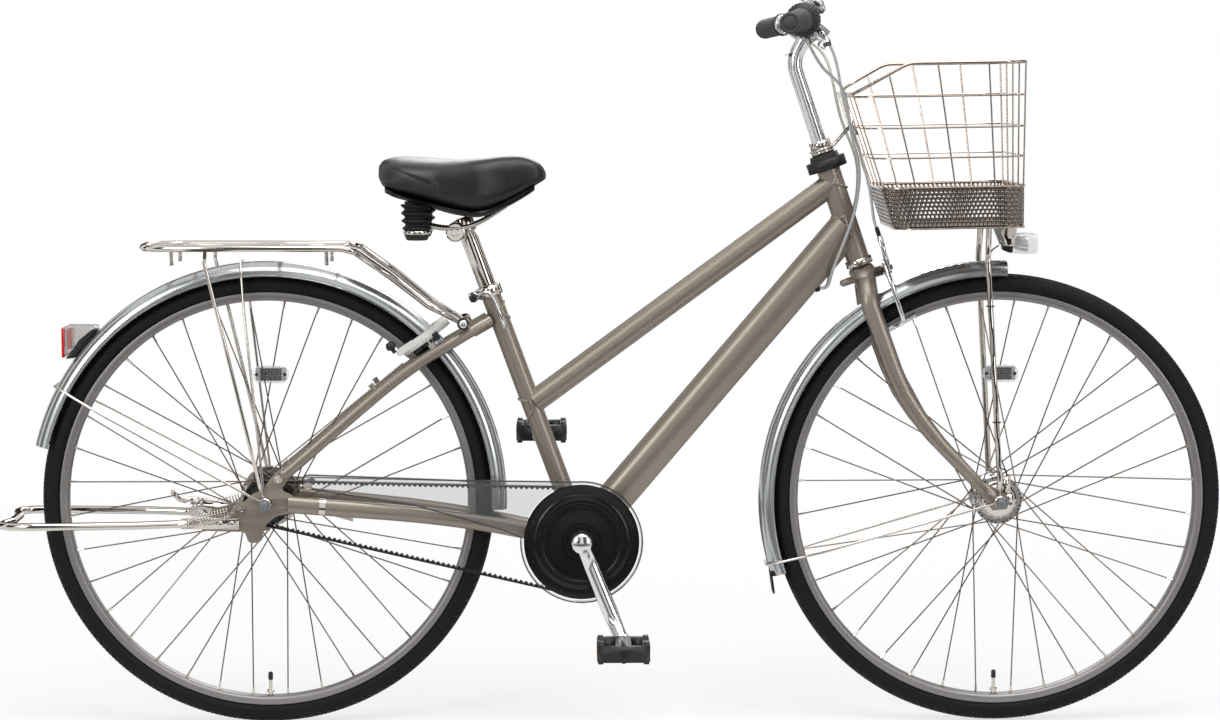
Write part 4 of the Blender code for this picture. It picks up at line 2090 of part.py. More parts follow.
def make_seat_clamp_lever():
    """The lever that turns on the collar's bolt, curved down along the seat tube."""
    pivot = on_seat(COLLAR_AT, COLLAR_BOLT_BACK, -0.0140)
    eye_outline = [circle(0, 0, 0.0080, 10), bore(0, 0, CLAMP_BOLT_RADIUS)]
    eye = extruded(eye_outline, 0.0104, axis_matrix(pivot, RIGHT))
    wall = SEAT_TUBE_RADIUS
    blade = tube(
        smooth_path(
            [
                on_seat(COLLAR_AT, wall + 0.0033, -wall - 0.0008),
                on_seat(COLLAR_AT + 0.002, 0.0050, -wall - 0.0093),
                on_seat(COLLAR_AT - 0.012, -0.0030, -wall - 0.0108),
                on_seat(COLLAR_AT - 0.060, -0.0040, -wall - 0.0098),
            ],
            2,
        ),
        0.0032,
        resolution=1,
    )
    return finish(join(eye, blade), "seat_clamp_lever", ALUMINIUM, pivot)


POST_TOP = 0.1000
POST_INSERT = 0.1900
POST_NECK = 0.0108


def make_seatpost():
    """A plain post that narrows to its head inside the saddle clamp."""
    matrix = frame_matrix(SEAT_TOP, SEAT_BACK, SEAT_UP)
    post = turned(
        [
            (0, POST_TOP + 0.010), (POST_NECK, POST_TOP + 0.010), (POST_NECK, POST_TOP - 0.016),
            (SEATPOST_RADIUS, POST_TOP - 0.024), (SEATPOST_RADIUS, -POST_INSERT), (0, -POST_INSERT),
        ],
        matrix,
        14,
    )
    return finish(post, "seatpost", CHROME)


BELLOWS_AT = from_saddle(0.2290, 0, 0.3950)
PAN_THICKNESS = 0.0055


def make_saddle_springs():
    """The saddle's undercarriage: a clamp on the post, two rails, a bellows at each side and the pan."""
    head = on_seat(POST_TOP - 0.002)
    hole = clear_radius(POST_NECK, 14)
    clamp_ring = turned(
        [(hole, 0.011), (0.0155, 0.011), (0.0155, -0.011), (hole, -0.011)],
        frame_matrix(head, SEAT_BACK, SEAT_UP),
        14,
        ring=True,
    )
    clamp_bolt = from_saddle(0.2850, 0, 0.4050)
    barrel = rod(clamp_bolt - 0.0240 * Y_AXIS, clamp_bolt + 0.0240 * Y_AXIS, 0.0145, sides=10)
    link = box((clamp_bolt + head) / 2, (0.020, 0.020, 0.018))
    bridge = rod(from_saddle(0.2290, -0.056, 0.4180), from_saddle(0.2290, 0.056, 0.4180), 0.0045, sides=6)
    pieces = [barrel, link, bridge]
    for side in (-1, 1):
        rail = tube(
            bent(
                [
                    from_saddle(0.2290, side * 0.0220, 0.4180), clamp_bolt + Vector((-0.012, side * 0.0220,
                        0.004)),
                    clamp_bolt + Vector((0.030, side * 0.0200, 0.010)), from_saddle(0.3600, side * 0.0100,
                        0.4435),
                ],
                0.02,
                1,
            ),
            0.0035,
            resolution=0,
        )
        profile = [
            (0, 0.0550), (0.0200, 0.0550), (0.0255, 0.0380), (0.0190, 0.0300), (0.0235, 0.0220),
            (0.0175, 0.0140), (0.0205, 0.0070), (0.0160, 0.0), (0, 0.0),
        ]
        bellows = turned(profile, frame_matrix(BELLOWS_AT + side * 0.0560 * Y_AXIS, X_AXIS, Z_AXIS), 10)
        pieces += [rail, bellows]
    sections = []
    for along, half, _, bottom in saddle_heights()[1:-1]:
        x = SADDLE_REAR.x + along
        level = bottom - GAP
        sections.append(
            [
                Vector((x, half * 0.78, level)), Vector((x, half * 0.70, level - PAN_THICKNESS)),
                Vector((x, -half * 0.70, level - PAN_THICKNESS)), Vector((x, -half * 0.78, level)),
            ]
        )
    frame = join(clamp_ring, *pieces, loft(sections))
    neck_clear = rod(on_seat(POST_TOP - 0.030), on_seat(POST_TOP + 0.016), hole, sides=14)
    post_clear = rod(on_seat(POST_TOP - 0.060), on_seat(POST_TOP - 0.0140), SEATPOST_RADIUS + 2 * GAP,
        sides=14)
    return finish(cut(frame, neck_clear, post_clear), "saddle_springs", CHROME)


SADDLE_REAR = from_saddle(0.1720, 0, 0)


def saddle_section(along, half, top, bottom, crown=0.010):
    """One cross ring of the saddle's cushion."""
    x = SADDLE_REAR.x + along
    mid = (top + bottom) / 2
    return [
        Vector((x, half * 0.80, bottom)), Vector((x, half * 0.97, bottom + 0.004)),
        Vector((x, half, mid)), Vector((x, half * 0.80, top - crown)), Vector((x, half * 0.36,
            top - 0.001)),
        Vector((x, -half * 0.36, top - 0.001)), Vector((x, -half * 0.80, top - crown)),
        Vector((x, -half, mid)), Vector((x, -half * 0.97, bottom + 0.004)), Vector((x, -half * 0.80,
            bottom)),
    ]


def saddle_heights():
    """Along the saddle: distance from its tail, half width, top and lower edge above its zero."""
    wide = SADDLE_WIDTH / 2
    rows = (
        (0.0, wide * 0.62, 0.5025, 0.4825), (0.008, wide * 0.84, 0.5145, 0.4705),
        (0.040, wide * 1.00, 0.5185, 0.4625), (0.080, wide * 0.95, 0.5165, 0.4505),
        (0.115, wide * 0.74, 0.5145, 0.4395), (0.150, wide * 0.46, 0.5165, 0.4345),
        (0.185, wide * 0.32, 0.5195, 0.4465), (0.215, wide * 0.27, 0.5195, 0.4625),
        (0.236, wide * 0.22, 0.5085, 0.4765), (SADDLE_LENGTH, wide * 0.10, 0.4935, 0.4825),
    )
    level = WHEEL_RADIUS + SADDLE_ZERO_UP
    return [(along, half, level + top, level + bottom) for along, half, top, bottom in rows]


def make_saddle():
    sections = [saddle_section(*row) for row in saddle_heights()]
    return finish(loft(sections), "saddle", LEATHER)


# Cables

CABLE_RADIUS = 0.0024


def front_brake_route():
    """From the right lever's bracket down ahead of the head tube to the adjuster on the front brake."""
    start = barrel_end(-1) + (RUNNING_GAP + GAP) * Y_AXIS
    stop = caliper_cable_stop() + GAP * HEAD_UP
    return [
        start,
        start + Vector((0.003, 0.014, -0.001)),
        from_rear(0.8500, -0.0820, 0.6620),
        from_rear(0.8655, -0.0640, 0.5950),
        from_rear(0.8905, -0.0420, 0.5260),
        from_rear(0.9070, -0.0290, 0.4680),
        stop + 0.0260 * HEAD_UP,
        stop,
    ]


def rear_brake_route():
    """From the left lever's bracket round the head tube to the hole in the down tube's left side."""
    start = barrel_end(1) - (RUNNING_GAP + GAP) * Y_AXIS
    surface, way = cable_entry(1)
    return [
        start,
        start + Vector((0.004, -0.016, -0.001)),
        from_rear(0.8520, 0.0980, 0.6620),
        from_rear(0.8700, 0.0620, 0.5780),
        from_rear(0.8920, 0.0420, 0.5140),
        from_rear(0.8930, 0.0310, 0.4640),
        from_rear(0.8830, 0.0268, 0.4240),
        from_rear(0.8680, 0.0262, 0.3885),
        from_rear(0.8530, 0.0200, 0.3480),
        surface - 0.0150 * way,
        surface,
        surface + 0.0180 * way,
    ]


def shift_route():
    """From the twist shifter's drum round the head tube to the hole in the down tube's right side."""
    out = Vector((0.25, 0, -0.97)).normalized()
    start = on_grip(-1, shifter_outer() - SHIFTER_LENGTH * 0.6) + (0.0252 + GAP) * out
    surface, way = cable_entry(-1)
    return [
        start,
        start + 0.0120 * out + Vector((0, 0.002, 0)),
        from_rear(0.8270, -0.1220, 0.6520),
        from_rear(0.8610, -0.0880, 0.6180),
        from_rear(0.8745, -0.0600, 0.5600),
        from_rear(0.8895, -0.0400, 0.5030),
        from_rear(0.8885, -0.0290, 0.4590),
        from_rear(0.8810, -0.0265, 0.4240),
        from_rear(0.8680, -0.0262, 0.3885),
        from_rear(0.8530, -0.0200, 0.3480),
        surface - 0.0150 * way,
        surface,
        surface + 0.0180 * way,
    ]


def make_cable(name, route):
    return finish(tube(smooth_path(route, 3), CABLE_RADIUS), name, CABLE_HOUSING)


# Build

make_main_frame()
make_rear_triangle()
make_lower_cup()
make_steering_lock()
make_bottom_bracket()
make_seat_collar()
make_seat_clamp_lever()
make_seatpost()
make_saddle_springs()
make_saddle()
make_rear_axle()
make_rear_brake_arm()
make_rear_mudguard()
make_tail_light()
make_rear_carrier()
make_belt_cover()
make_drive_belt()
make_rear_pulley()
make_front_pulley()
make_pulley_cover()
make_crank_spindle()
make_crank_arm("crank_arm_right", -1, CRANK_LENGTH)
make_crank_arm("crank_arm_left", 1, -CRANK_LENGTH)
make_pedal("pedal_right", -1, CRANK_WAY)
make_pedal("pedal_left", 1, -CRANK_WAY)
make_tyre("rear_tyre", REAR_AXLE)
make_rim("rear_rim", REAR_AXLE, REAR_FLANGE_RADIUS, REAR_FLANGE_SPACING)
make_hub(
    "rear_hub", REAR_AXLE, REAR_FLANGE_RADIUS, REAR_FLANGE_SPACING, REAR_SHELL_RADIUS, -1, HUB_NECK_END, DARK_METAL
)
make_tyre("front_tyre", FRONT_AXLE)
make_rim("front_rim", FRONT_AXLE, FRONT_FLANGE_RADIUS, FRONT_FLANGE_SPACING)
make_hub(
    "front_hub", FRONT_AXLE, FRONT_FLANGE_RADIUS, FRONT_FLANGE_SPACING, FRONT_SHELL_RADIUS, 1, HUB_NECK_END, ALUMINIUM
)
make_fork()
make_front_axle()
make_headset_nuts()
make_stem()
make_handlebar()
make_grip("grip_right", -1)
make_grip("grip_left", 1)
make_shifter_drum()
make_brake_bracket("brake_bracket_right", -1)
make_brake_bracket("brake_bracket_left", 1)
make_brake_lever("brake_lever_right", -1)
make_brake_lever("brake_lever_left", 1)
make_bell_lever()
make_caliper_arm("caliper_arm_right", -1, 0)
make_caliper_arm("caliper_arm_left", 1, 1)
make_front_mudguard()
make_basket()
make_basket_bracket()
make_basket_stay()
make_headlight()
make_ring_lock_body()
make_ring_lock_shackle()
make_stand_legs()
make_stand_lock_lever()
make_stand_spring("stand_spring_right", -1)
make_stand_spring("stand_spring_left", 1)
make_cable("front_brake_cable", front_brake_route())
make_cable("rear_brake_cable", rear_brake_route())
make_cable("shift_cable", shift_route())
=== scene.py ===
"""Looks of the city bike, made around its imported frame.

Lengths are in metres, +X is forward, +Y is the rider's left and +Z is up.
"""

import json
import math

import bmesh
import bpy
from mathutils import Matrix, Vector


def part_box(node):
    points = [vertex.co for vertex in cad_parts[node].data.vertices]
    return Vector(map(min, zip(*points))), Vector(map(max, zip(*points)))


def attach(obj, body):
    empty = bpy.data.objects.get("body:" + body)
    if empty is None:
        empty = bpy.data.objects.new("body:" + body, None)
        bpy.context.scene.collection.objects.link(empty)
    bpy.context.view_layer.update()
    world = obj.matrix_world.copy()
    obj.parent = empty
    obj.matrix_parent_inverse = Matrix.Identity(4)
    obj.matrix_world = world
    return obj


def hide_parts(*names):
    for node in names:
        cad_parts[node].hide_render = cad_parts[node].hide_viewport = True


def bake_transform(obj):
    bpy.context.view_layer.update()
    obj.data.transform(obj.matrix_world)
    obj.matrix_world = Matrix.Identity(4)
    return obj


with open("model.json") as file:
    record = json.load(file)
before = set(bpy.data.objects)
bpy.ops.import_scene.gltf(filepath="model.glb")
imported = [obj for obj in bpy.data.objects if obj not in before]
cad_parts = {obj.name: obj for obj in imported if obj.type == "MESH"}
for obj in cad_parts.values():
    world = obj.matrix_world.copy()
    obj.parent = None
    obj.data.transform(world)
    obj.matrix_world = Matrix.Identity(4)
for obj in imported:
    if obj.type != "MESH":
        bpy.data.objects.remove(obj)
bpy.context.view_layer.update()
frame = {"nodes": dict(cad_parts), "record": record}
NODES = frame["nodes"]

X_AXIS = Vector((1, 0, 0))
Y_AXIS = Vector((0, 1, 0))
Z_AXIS = Vector((0, 0, 1))
SIDE_NAMES = {-1: "right", 1: "left"}


def middle(node):
    low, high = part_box(node)
    return (low + high) / 2


# Main places, read from the frame where it gives them

HUB = middle("rear_tyre")
REAR_AXLE = Vector((HUB.x, 0, HUB.z))
HUB = middle("front_tyre")
FRONT_AXLE = Vector((HUB.x, 0, HUB.z))
BOTTOM_BRACKET = middle("bottom_bracket")
WHEEL_RADIUS = REAR_AXLE.z
HEAD_ANGLE = math.radians(71.4)
SEAT_ANGLE = math.radians(69.7)
HEAD_UP = Vector((-math.cos(HEAD_ANGLE), 0, math.sin(HEAD_ANGLE)))
HEAD_FORWARD = Vector((math.sin(HEAD_ANGLE), 0, math.cos(HEAD_ANGLE)))
SEAT_UP = Vector((-math.cos(SEAT_ANGLE), 0, math.sin(SEAT_ANGLE)))
SEAT_BACK = Vector((-math.sin(SEAT_ANGLE), 0, -math.cos(SEAT_ANGLE)))


def from_rear(ahead, left, up):
    """The point that lies so far ahead, left of and above the rear axle."""
    return REAR_AXLE + Vector((ahead, left, up))


def from_front(ahead, left, up):
    return FRONT_AXLE + Vector((ahead, left, up))


def upright(angle):
    """The direction at an angle in the bike's plane, turning from forward to up."""
    return Vector((math.cos(angle), 0, math.sin(angle)))


# Forms

def close_up(bm, mesh, gap=1e-6):
    """Joins a form's seams, turns its faces outward and writes it into a mesh."""
    bmesh.ops.remove_doubles(bm, verts=bm.verts, dist=gap)
    bmesh.ops.recalc_face_normals(bm, faces=bm.faces)
    bm.to_mesh(mesh)
    bm.free()


class Form:
    """Grows the mesh of one piece from tubes, turned shapes and lofts."""

    def __init__(self):
        self.bm = bmesh.new()

    def loft(self, rings, loop=False, open_rings=False):
        rows = [[self.bm.verts.new(point) for point in ring] for ring in rings]
        count = len(rows[0])
        pairs = list(zip(rows, rows[1:]))
        if loop:
            pairs.append((rows[-1], rows[0]))
        for one, two in pairs:
            for k in range(count - 1 if open_rings else count):
                following = (k + 1) % count
                self.bm.faces.new((one[k], one[following], two[following], two[k]))
        if not loop:
            self.bm.faces.new(rows[0][::-1])
            self.bm.faces.new(rows[-1])
        return self

    def tube(self, points, radius, sides=10, loop=False, radii=None):
        points = [Vector(point) for point in points]
        last = len(points) - 1
        up = None
        rings = []
        for k, point in enumerate(points):
            before = points[k - 1] if k or loop else point
            after = points[(k + 1) % len(points)] if k < last or loop else point
            way = (after - before).normalized()
            if up is None:
                up = way.orthogonal()
            up = (up - up.dot(way) * way).normalized()
            across = way.cross(up)
            size = radii[k] if radii else radius
            ring = []
            for j in range(sides):
                angle = math.tau * j / sides
                ring.append(point + size * (math.cos(angle) * up + math.sin(angle) * across))
            rings.append(ring)
        return self.loft(rings, loop)

    def turned(self, profile, origin, axis, steps=48, closed=False):
        """Turns (radius, along) points round an axis. A closed profile makes a ring."""
        axis = Vector(axis).normalized()
        side = axis.orthogonal().normalized()
        other = axis.cross(side)
        rings = []
        for k in range(steps):
            angle = math.tau * k / steps
            out = math.cos(angle) * side + math.sin(angle) * other
            rings.append([Vector(origin) + radius * out + along * axis for radius, along in profile])
        return self.loft(rings, loop=True, open_rings=not closed)

    def box(self, centre, size, turn=None):
        half = Vector(size) / 2
        turn = turn or Matrix.Identity(3)
        rings = []
        for x in (-half.x, half.x):
            corners = ((-half.y, -half.z), (half.y, -half.z), (half.y, half.z), (-half.y, half.z))
            rings.append([Vector(centre) + turn @ Vector((x, y, z)) for y, z in corners])
        return self.loft(rings)

    def make(self, name, finish, body, replaced=(), sharp=38, slot=None, bevel=0.0):
        """Turns the form into a piece that rides on a body, or that stays unattached where it lies when no
        body's name is given.
        """
        mesh = bpy.data.meshes.new(name)
        close_up(self.bm, mesh)
        return piece(name, mesh, finish, body, replaced, sharp, bevel)


def piece(name, mesh, finish, body, replaced=(), sharp=38, bevel=0.0):
    mesh.materials.append(finish)
    mesh.shade_smooth()
    mesh.set_sharp_from_angle(angle=math.radians(sharp))
    obj = bpy.data.objects.new(name, mesh)
    bpy.context.scene.collection.objects.link(obj)
    if bevel:
        rounding = obj.modifiers.new("bevel", "BEVEL")
        rounding.width = bevel
        rounding.segments = 2
        rounding.limit_method = "ANGLE"
        rounding.angle_limit = math.radians(40)
        rounding.harden_normals = False
    if isinstance(body, str):
        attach(obj, body)
    else:
        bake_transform(obj)
    if replaced:
        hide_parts(*replaced)
    return obj


def plate(name, outlines, thickness, place, bevel=0.0):
    """A flat plate with holes: the first outline is its edge. Returns a mesh."""
    curve = bpy.data.curves.new(name, "CURVE")
    curve.dimensions = "2D"
    curve.fill_mode = "BOTH"
    curve.extrude = thickness / 2 - bevel
    curve.bevel_depth = bevel
    curve.bevel_resolution = 1
    curve.offset = -bevel
    for outline in outlines:
        spline = curve.splines.new("POLY")
        spline.points.add(len(outline) - 1)
        for point, (x, y) in zip(spline.points, outline):
            point.co = (x, y, 0, 1)
        spline.use_cyclic_u = True
    obj = bpy.data.objects.new(name, curve)
    bpy.context.scene.collection.objects.link(obj)
    graph = bpy.context.evaluated_depsgraph_get()
    mesh = bpy.data.meshes.new_from_object(obj.evaluated_get(graph))
    mesh.name = name
    mesh.transform(place)
    mesh.materials.clear()
    bpy.data.objects.remove(obj)
    bm = bmesh.new()
    bm.from_mesh(mesh)
    close_up(bm, mesh)
    return mesh


def side_place(centre):
    """Local X forward, local Y up and local Z to the right side."""
    return Matrix.Translation(centre) @ Matrix(((1, 0, 0, 0), (0, 0, -1, 0), (0, 1, 0, 0), (0, 0, 0, 1)))


def circle(x, y, radius, count=48):
    points = []
    for k in range(count):
        angle = math.tau * k / count
        points.append((x + radius * math.cos(angle), y + radius * math.sin(angle)))
    return points


def arc(x, y, radius, first, last, count):
    """Points on an arc between two angles in degrees."""
    points = []
    for k in range(count + 1):
        angle = math.radians(first + (last - first) * k / count)
        points.append((x + radius * math.cos(angle), y + radius * math.sin(angle)))
    return points


def mirrored(profile):
    """A profile with its mirror image behind it, for a shape that is the same both ways."""
    return profile + [(radius, -along) for radius, along in profile[::-1]]


def corner_curve(start, corner, end, count):
    """Points on a smooth turn from start to end that leans toward the corner."""
    points = []
    for k in range(count + 1):
        t = k / count
        points.append((1 - t) ** 2 * start + 2 * t * (1 - t) * corner + t ** 2 * end)
    return points


def round_corners(outline, radius, count=4):
    """An outline with its corners rounded."""
    points = [Vector((x, y, 0)) for x, y in outline]
    result = []
    total = len(points)
    for k, corner in enumerate(points):
        before = points[k - 1]
        after = points[(k + 1) % total]
        reach = min(radius, (before - corner).length * 0.45, (after - corner).length * 0.45)
        start = corner + reach * (before - corner).normalized()
        end = corner + reach * (after - corner).normalized()
        result += [(spot.x, spot.y) for spot in corner_curve(start, corner, end, count)]
    return result


def smooth_path(points, per_span=8):
    """A smooth curve through a few points."""
    path = [Vector(point) for point in points]
    padded = [2 * path[0] - path[1]] + path + [2 * path[-1] - path[-2]]
    result = []
    for p0, p1, p2, p3 in zip(padded, padded[1:], padded[2:], padded[3:]):
        for k in range(per_span):
            t = k / per_span
            result.append(0.5 * (
                2 * p1 + (p2 - p0) * t + (2 * p0 - 5 * p1 + 4 * p2 - p3) * t ** 2
                + (3 * p1 - p0 - 3 * p2 + p3) * t ** 3
            ))
    return result + [path[-1]]


def bent(points, radius, count=6):
    """A path of straight runs with round corners."""
    points = [Vector(point) for point in points]
    path = [points[0]]
    for before, corner, after in zip(points, points[1:], points[2:]):
        inward = (before - corner).normalized()
        outward = (after - corner).normalized()
        reach = min(radius, (before - corner).length * 0.48, (after - corner).length * 0.48)
        start = corner + reach * inward
        end = corner + reach * outward
        path += corner_curve(start, corner, end, count)
    return path + [points[-1]]


# Finishes

BUMP_DEPTH = 0.0002


def set_inputs(tree, node, inputs):
    """Gives a shader node's inputs their values, or links them to another node's output."""
    for name, value in inputs.items():
        if isinstance(value, bpy.types.NodeSocket):
            tree.links.new(value, node.inputs[name])
        else:
            node.inputs[name].default_value = value


def add_node(tree, kind, inputs, operation=None):
    node = tree.nodes.new("ShaderNode" + kind)
    if operation:
        node.operation = operation
    set_inputs(tree, node, inputs)
    return node


def finish_of(name, colour, roughness, metallic=0.0, grain=900.0, shade=0.08, spread=0.06, bump=0.0,
              stretch=(1, 1, 1), coat=0.0, alpha=1.0, shine=0.5):
    """A finish whose colour, gloss and surface vary with a fine grain."""
    finish = bpy.data.materials.new(name)
    finish.use_nodes = True
    tree = finish.node_tree
    place = add_node(tree, "TexCoord", {})
    scale = add_node(tree, "Mapping", {"Scale": stretch, "Vector": place.outputs["Object"]})
    noise = add_node(tree, "TexNoise", {"Scale": grain, "Detail": 3, "Vector": scale.outputs["Vector"]})
    ramp = add_node(tree, "ValToRGB", {"Fac": noise.outputs["Fac"]})
    for element, position, step in zip(ramp.color_ramp.elements, (0.25, 0.75), (-shade, shade)):
        element.position = position
        element.color = (*[min(1, part * (1 + step)) for part in colour], 1)
    wear = add_node(tree, "TexNoise", {"Scale": 35, "Detail": 5, "Vector": scale.outputs["Vector"]})
    gloss = add_node(tree, "MapRange", {
        "From Min": 0.3, "From Max": 0.7, "To Min": max(0.02, roughness - spread),
        "To Max": roughness + spread, "Value": wear.outputs["Fac"],
    })
    shader = tree.nodes["Principled BSDF"]
    set_inputs(tree, shader, {
        "Metallic": metallic, "Coat Weight": coat, "Coat Roughness": 0.08, "Alpha": alpha,
        "Specular IOR Level": shine, "Base Color": ramp.outputs["Color"],
        "Roughness": gloss.outputs["Result"],
    })
    if bump:
        relief = add_node(
            tree, "Bump", {"Strength": bump, "Distance": BUMP_DEPTH, "Height": noise.outputs["Fac"]}
        )
        set_inputs(tree, shader, {"Normal": relief.outputs["Normal"]})
    return finish


PAINT = finish_of("frame_paint", (0.262, 0.226, 0.188), 0.38, 0.62, 2600, 0.16, 0.03, 0.12, coat=0.15)
# Polished steel. Its warm tint is a painted reflection of beige surroundings, put into the base colour.
CHROME_PAINTED_REFLECTION = finish_of("polished_steel", (0.62, 0.58, 0.54), 0.1, 1.0, 1400, 0.03, 0.04)
# Stainless spoke steel. Its dark brown colour is a painted reflection of brown surroundings, put into the
# base colour.
WIRE_PAINTED_REFLECTION = finish_of("stainless_wire_painted_reflection", (0.17, 0.14, 0.12), 0.34, 1.0, 1400, 0.05, 0.05)
ALUMINIUM = finish_of("bright_aluminium", (0.72, 0.72, 0.73), 0.2, 1.0, 700, 0.04, 0.05, 0.05, (1, 9, 1))
RIM = finish_of("rim_metal", (0.255, 0.245, 0.24), 0.42, 0.75, 1200, 0.06, 0.04, 0.06)
GUARD = finish_of("mudguard_metal", (0.47, 0.49, 0.5), 0.2, 0.85, 1600, 0.03, 0.02, coat=0.2)
DARK = finish_of("dark_metal", (0.03, 0.03, 0.031), 0.35, 0.7, 1200, 0.12, 0.06, 0.08)
TYRE = finish_of("tyre_rubber", (0.007, 0.007, 0.0075), 0.62, 0.0, 1500, 0.2, 0.08, 0.35, shine=0.15)
RUBBER = finish_of("black_rubber", (0.008, 0.008, 0.008), 0.52, 0.0, 1800, 0.2, 0.06, 0.3, shine=0.3)
PLASTIC = finish_of("black_plastic", (0.013, 0.013, 0.0135), 0.42, 0.0, 2400, 0.15, 0.05, 0.25, shine=0.35)
GLOSS = finish_of(
    "gloss_black", (0.0045, 0.0045, 0.005), 0.24, 0.0, 900, 0.1, 0.04, 0.0, coat=0.1, shine=0.25
)
GREY = finish_of("grey_plastic", (0.52, 0.52, 0.5), 0.42, 0.0, 2000, 0.05, 0.05, 0.12)
CLEAR = finish_of("clear_plastic", (0.16, 0.165, 0.17), 0.08, 0.0, 500, 0.03, 0.03, alpha=0.2, coat=0.2)
CLEAR_EDGE = finish_of("clear_plastic_edge", (0.03, 0.03, 0.032), 0.1, 0.0, 500, 0.03, 0.03, alpha=0.75)
# Basket wire steel. Its pinkish-brown tint is a painted reflection of beige surroundings, put into the base
# colour.
BASKET_STEEL_PAINTED_REFLECTION = finish_of("basket_wire", (0.46, 0.385, 0.33), 0.22, 1.0, 1400, 0.05, 0.05)
SMOKE = finish_of("smoked_plastic", (0.3, 0.27, 0.25), 0.08, 0.0, 500, 0.04, 0.03, alpha=0.45, coat=0.3)
PRISM = finish_of("reflector_prisms", (0.12, 0.12, 0.125), 0.15, 0.6, 500, 0.2, 0.05)
PAN = finish_of("perforated_steel", (0.2, 0.17, 0.15), 0.22, 1.0, 1400, 0.05, 0.05)
LEATHER = finish_of("saddle_cover", (0.0085, 0.0083, 0.0082), 0.38, 0.0, 1500, 0.15, 0.05, 0.4, shine=0.38)
LENS = finish_of("lamp_lens", (0.7, 0.71, 0.72), 0.06, 0.0, 300, 0.02, 0.02, alpha=0.4, coat=0.4)
RED = finish_of("red_lens", (0.5, 0.012, 0.012), 0.12, 0.0, 500, 0.15, 0.04, coat=0.6)
AMBER = finish_of("amber_reflector", (0.85, 0.3, 0.02), 0.15, 0.0, 700, 0.15, 0.04, coat=0.5)
GRIP = finish_of("grip_rubber", (0.03, 0.03, 0.031), 0.55, 0.0, 2600, 0.12, 0.05, 0.35)
GREY_CAP = finish_of("axle_cap", (0.13, 0.14, 0.145), 0.35, 0.0, 1800, 0.08, 0.05, 0.15)
HOUSING = finish_of("cable_housing", (0.36, 0.39, 0.32), 0.35, 0.0, 1500, 0.06, 0.05, 0.1, coat=0.2)
GREY_HOUSING = finish_of("grey_housing", (0.34, 0.35, 0.35), 0.38, 0.0, 1500, 0.06, 0.05, 0.1, coat=0.2)

SLOT_FINISH = {
    "frame_paint": PAINT, "bright_steel": CHROME_PAINTED_REFLECTION, "aluminium": ALUMINIUM, "rim_metal": RIM,
    "guard_metal": GUARD, "dark_metal": DARK, "tyre": TYRE, "rubber": RUBBER, "black_plastic": PLASTIC,
    "gloss_black": GLOSS, "grey_plastic": GREY, "clear_plastic": CLEAR, "saddle_cover": LEATHER,
    "lamp": LENS, "red_lens": RED, "cable_housing": HOUSING,
}


def dress_frame():
    """Gives every frame node the finish of its slot, shaded smooth across its facets."""
    for row in frame["record"]["subparts"]:
        mesh = NODES[row["node"]].data
        mesh.materials.clear()
        mesh.materials.append(SLOT_FINISH[row["material_slot"]])
        mesh.shade_smooth()
        mesh.set_sharp_from_angle(angle=math.radians(40))
        weld = NODES[row["node"]].modifiers.new("weld", "WELD")
        weld.merge_threshold = 0.00002


dress_frame()


# Wheels

TYRE_HALF = 0.0185
TYRE_WRAP = 98
TYRE_STEPS = 26
TREAD_PITCH = 0.014
TREAD_STEPS = 6
TREAD_SLANT = 34
GROOVE = (12, 24)
SHOULDER = (28, 60)
CROWN_BAND = 8
RIM_EDGE = 0.3146
RIM_INNER = 0.3017
RIM_BED = 0.306
RIM_HALF = 0.013
SPOKES = 36
SPOKE_RADIUS = 0.00105
SPOKE_HOLE_INSET = 0.003
FLANGE_FACE = 0.0015


def tread_cut(degrees, step):
    """How deep the tread is cut at an angle over the tyre, at a step along its pattern."""
    turn = abs(degrees)
    slant = (step / TREAD_STEPS + turn / TREAD_SLANT) % 1
    if GROOVE[0] < turn < GROOVE[1]:
        return 0.0014
    if SHOULDER[0] < turn < SHOULDER[1] and slant < 0.34:
        return 0.0015
    if turn <= CROWN_BAND and (step / TREAD_STEPS * 2) % 1 < 0.2:
        return 0.0008
    return 0.0


def tyre(label, centre):
    """A tyre with a cut tread: two grooves round it and slanted cuts over each shoulder."""
    crown = WHEEL_RADIUS - TYRE_HALF
    bead = [(RIM_BED + 0.0012, -0.0104), (RIM_EDGE + 0.0004, -0.0104), (0.3158, -0.014), (0.3178, -0.0166)]
    section = [(radius, side, 0.0) for radius, side in bead]
    for k in range(TYRE_STEPS + 1):
        degrees = -TYRE_WRAP + 2 * TYRE_WRAP * k / TYRE_STEPS
        angle = math.radians(degrees)
        section.append((crown + TYRE_HALF * math.cos(angle), TYRE_HALF * math.sin(angle), degrees))
    section += [(radius, -side, 0.0) for radius, side in bead[::-1]]
    steps = round(math.tau * WHEEL_RADIUS / TREAD_PITCH) * TREAD_STEPS
    rings = []
    for k in range(steps):
        out = upright(math.tau * k / steps)
        ring = []
        for radius, side, degrees in section:
            if degrees:
                cut = tread_cut(degrees, k)
                fall = math.radians(degrees)
                radius -= cut * math.cos(fall)
                side -= cut * math.sin(fall)
            ring.append(centre + radius * out + side * Y_AXIS)
        rings.append(ring)
    form = Form().loft(rings, loop=True)
    form.make(label + "_tyre_tread", TYRE, label + "_wheel", [label + "_tyre"], sharp=42, slot="tyre")


def spoke_ends(centre, flange_radius, flange_y, index):
    """Where a spoke leaves its flange, where it meets the rim, and the flange's face it lies on."""
    rim_angle = math.radians(90) + math.tau / SPOKES * (index + 0.5)
    side = 1 if index % 2 else -1
    layer = 1 if index // 2 % 2 else -1
    start = centre + Vector((0, side * flange_y + layer * 0.0014, 0))
    start += (flange_radius - SPOKE_HOLE_INSET) * upright(rim_angle + math.radians(60) * layer)
    return start, centre + (RIM_INNER + 0.001) * upright(rim_angle) + side * 0.0015 * Y_AXIS, layer


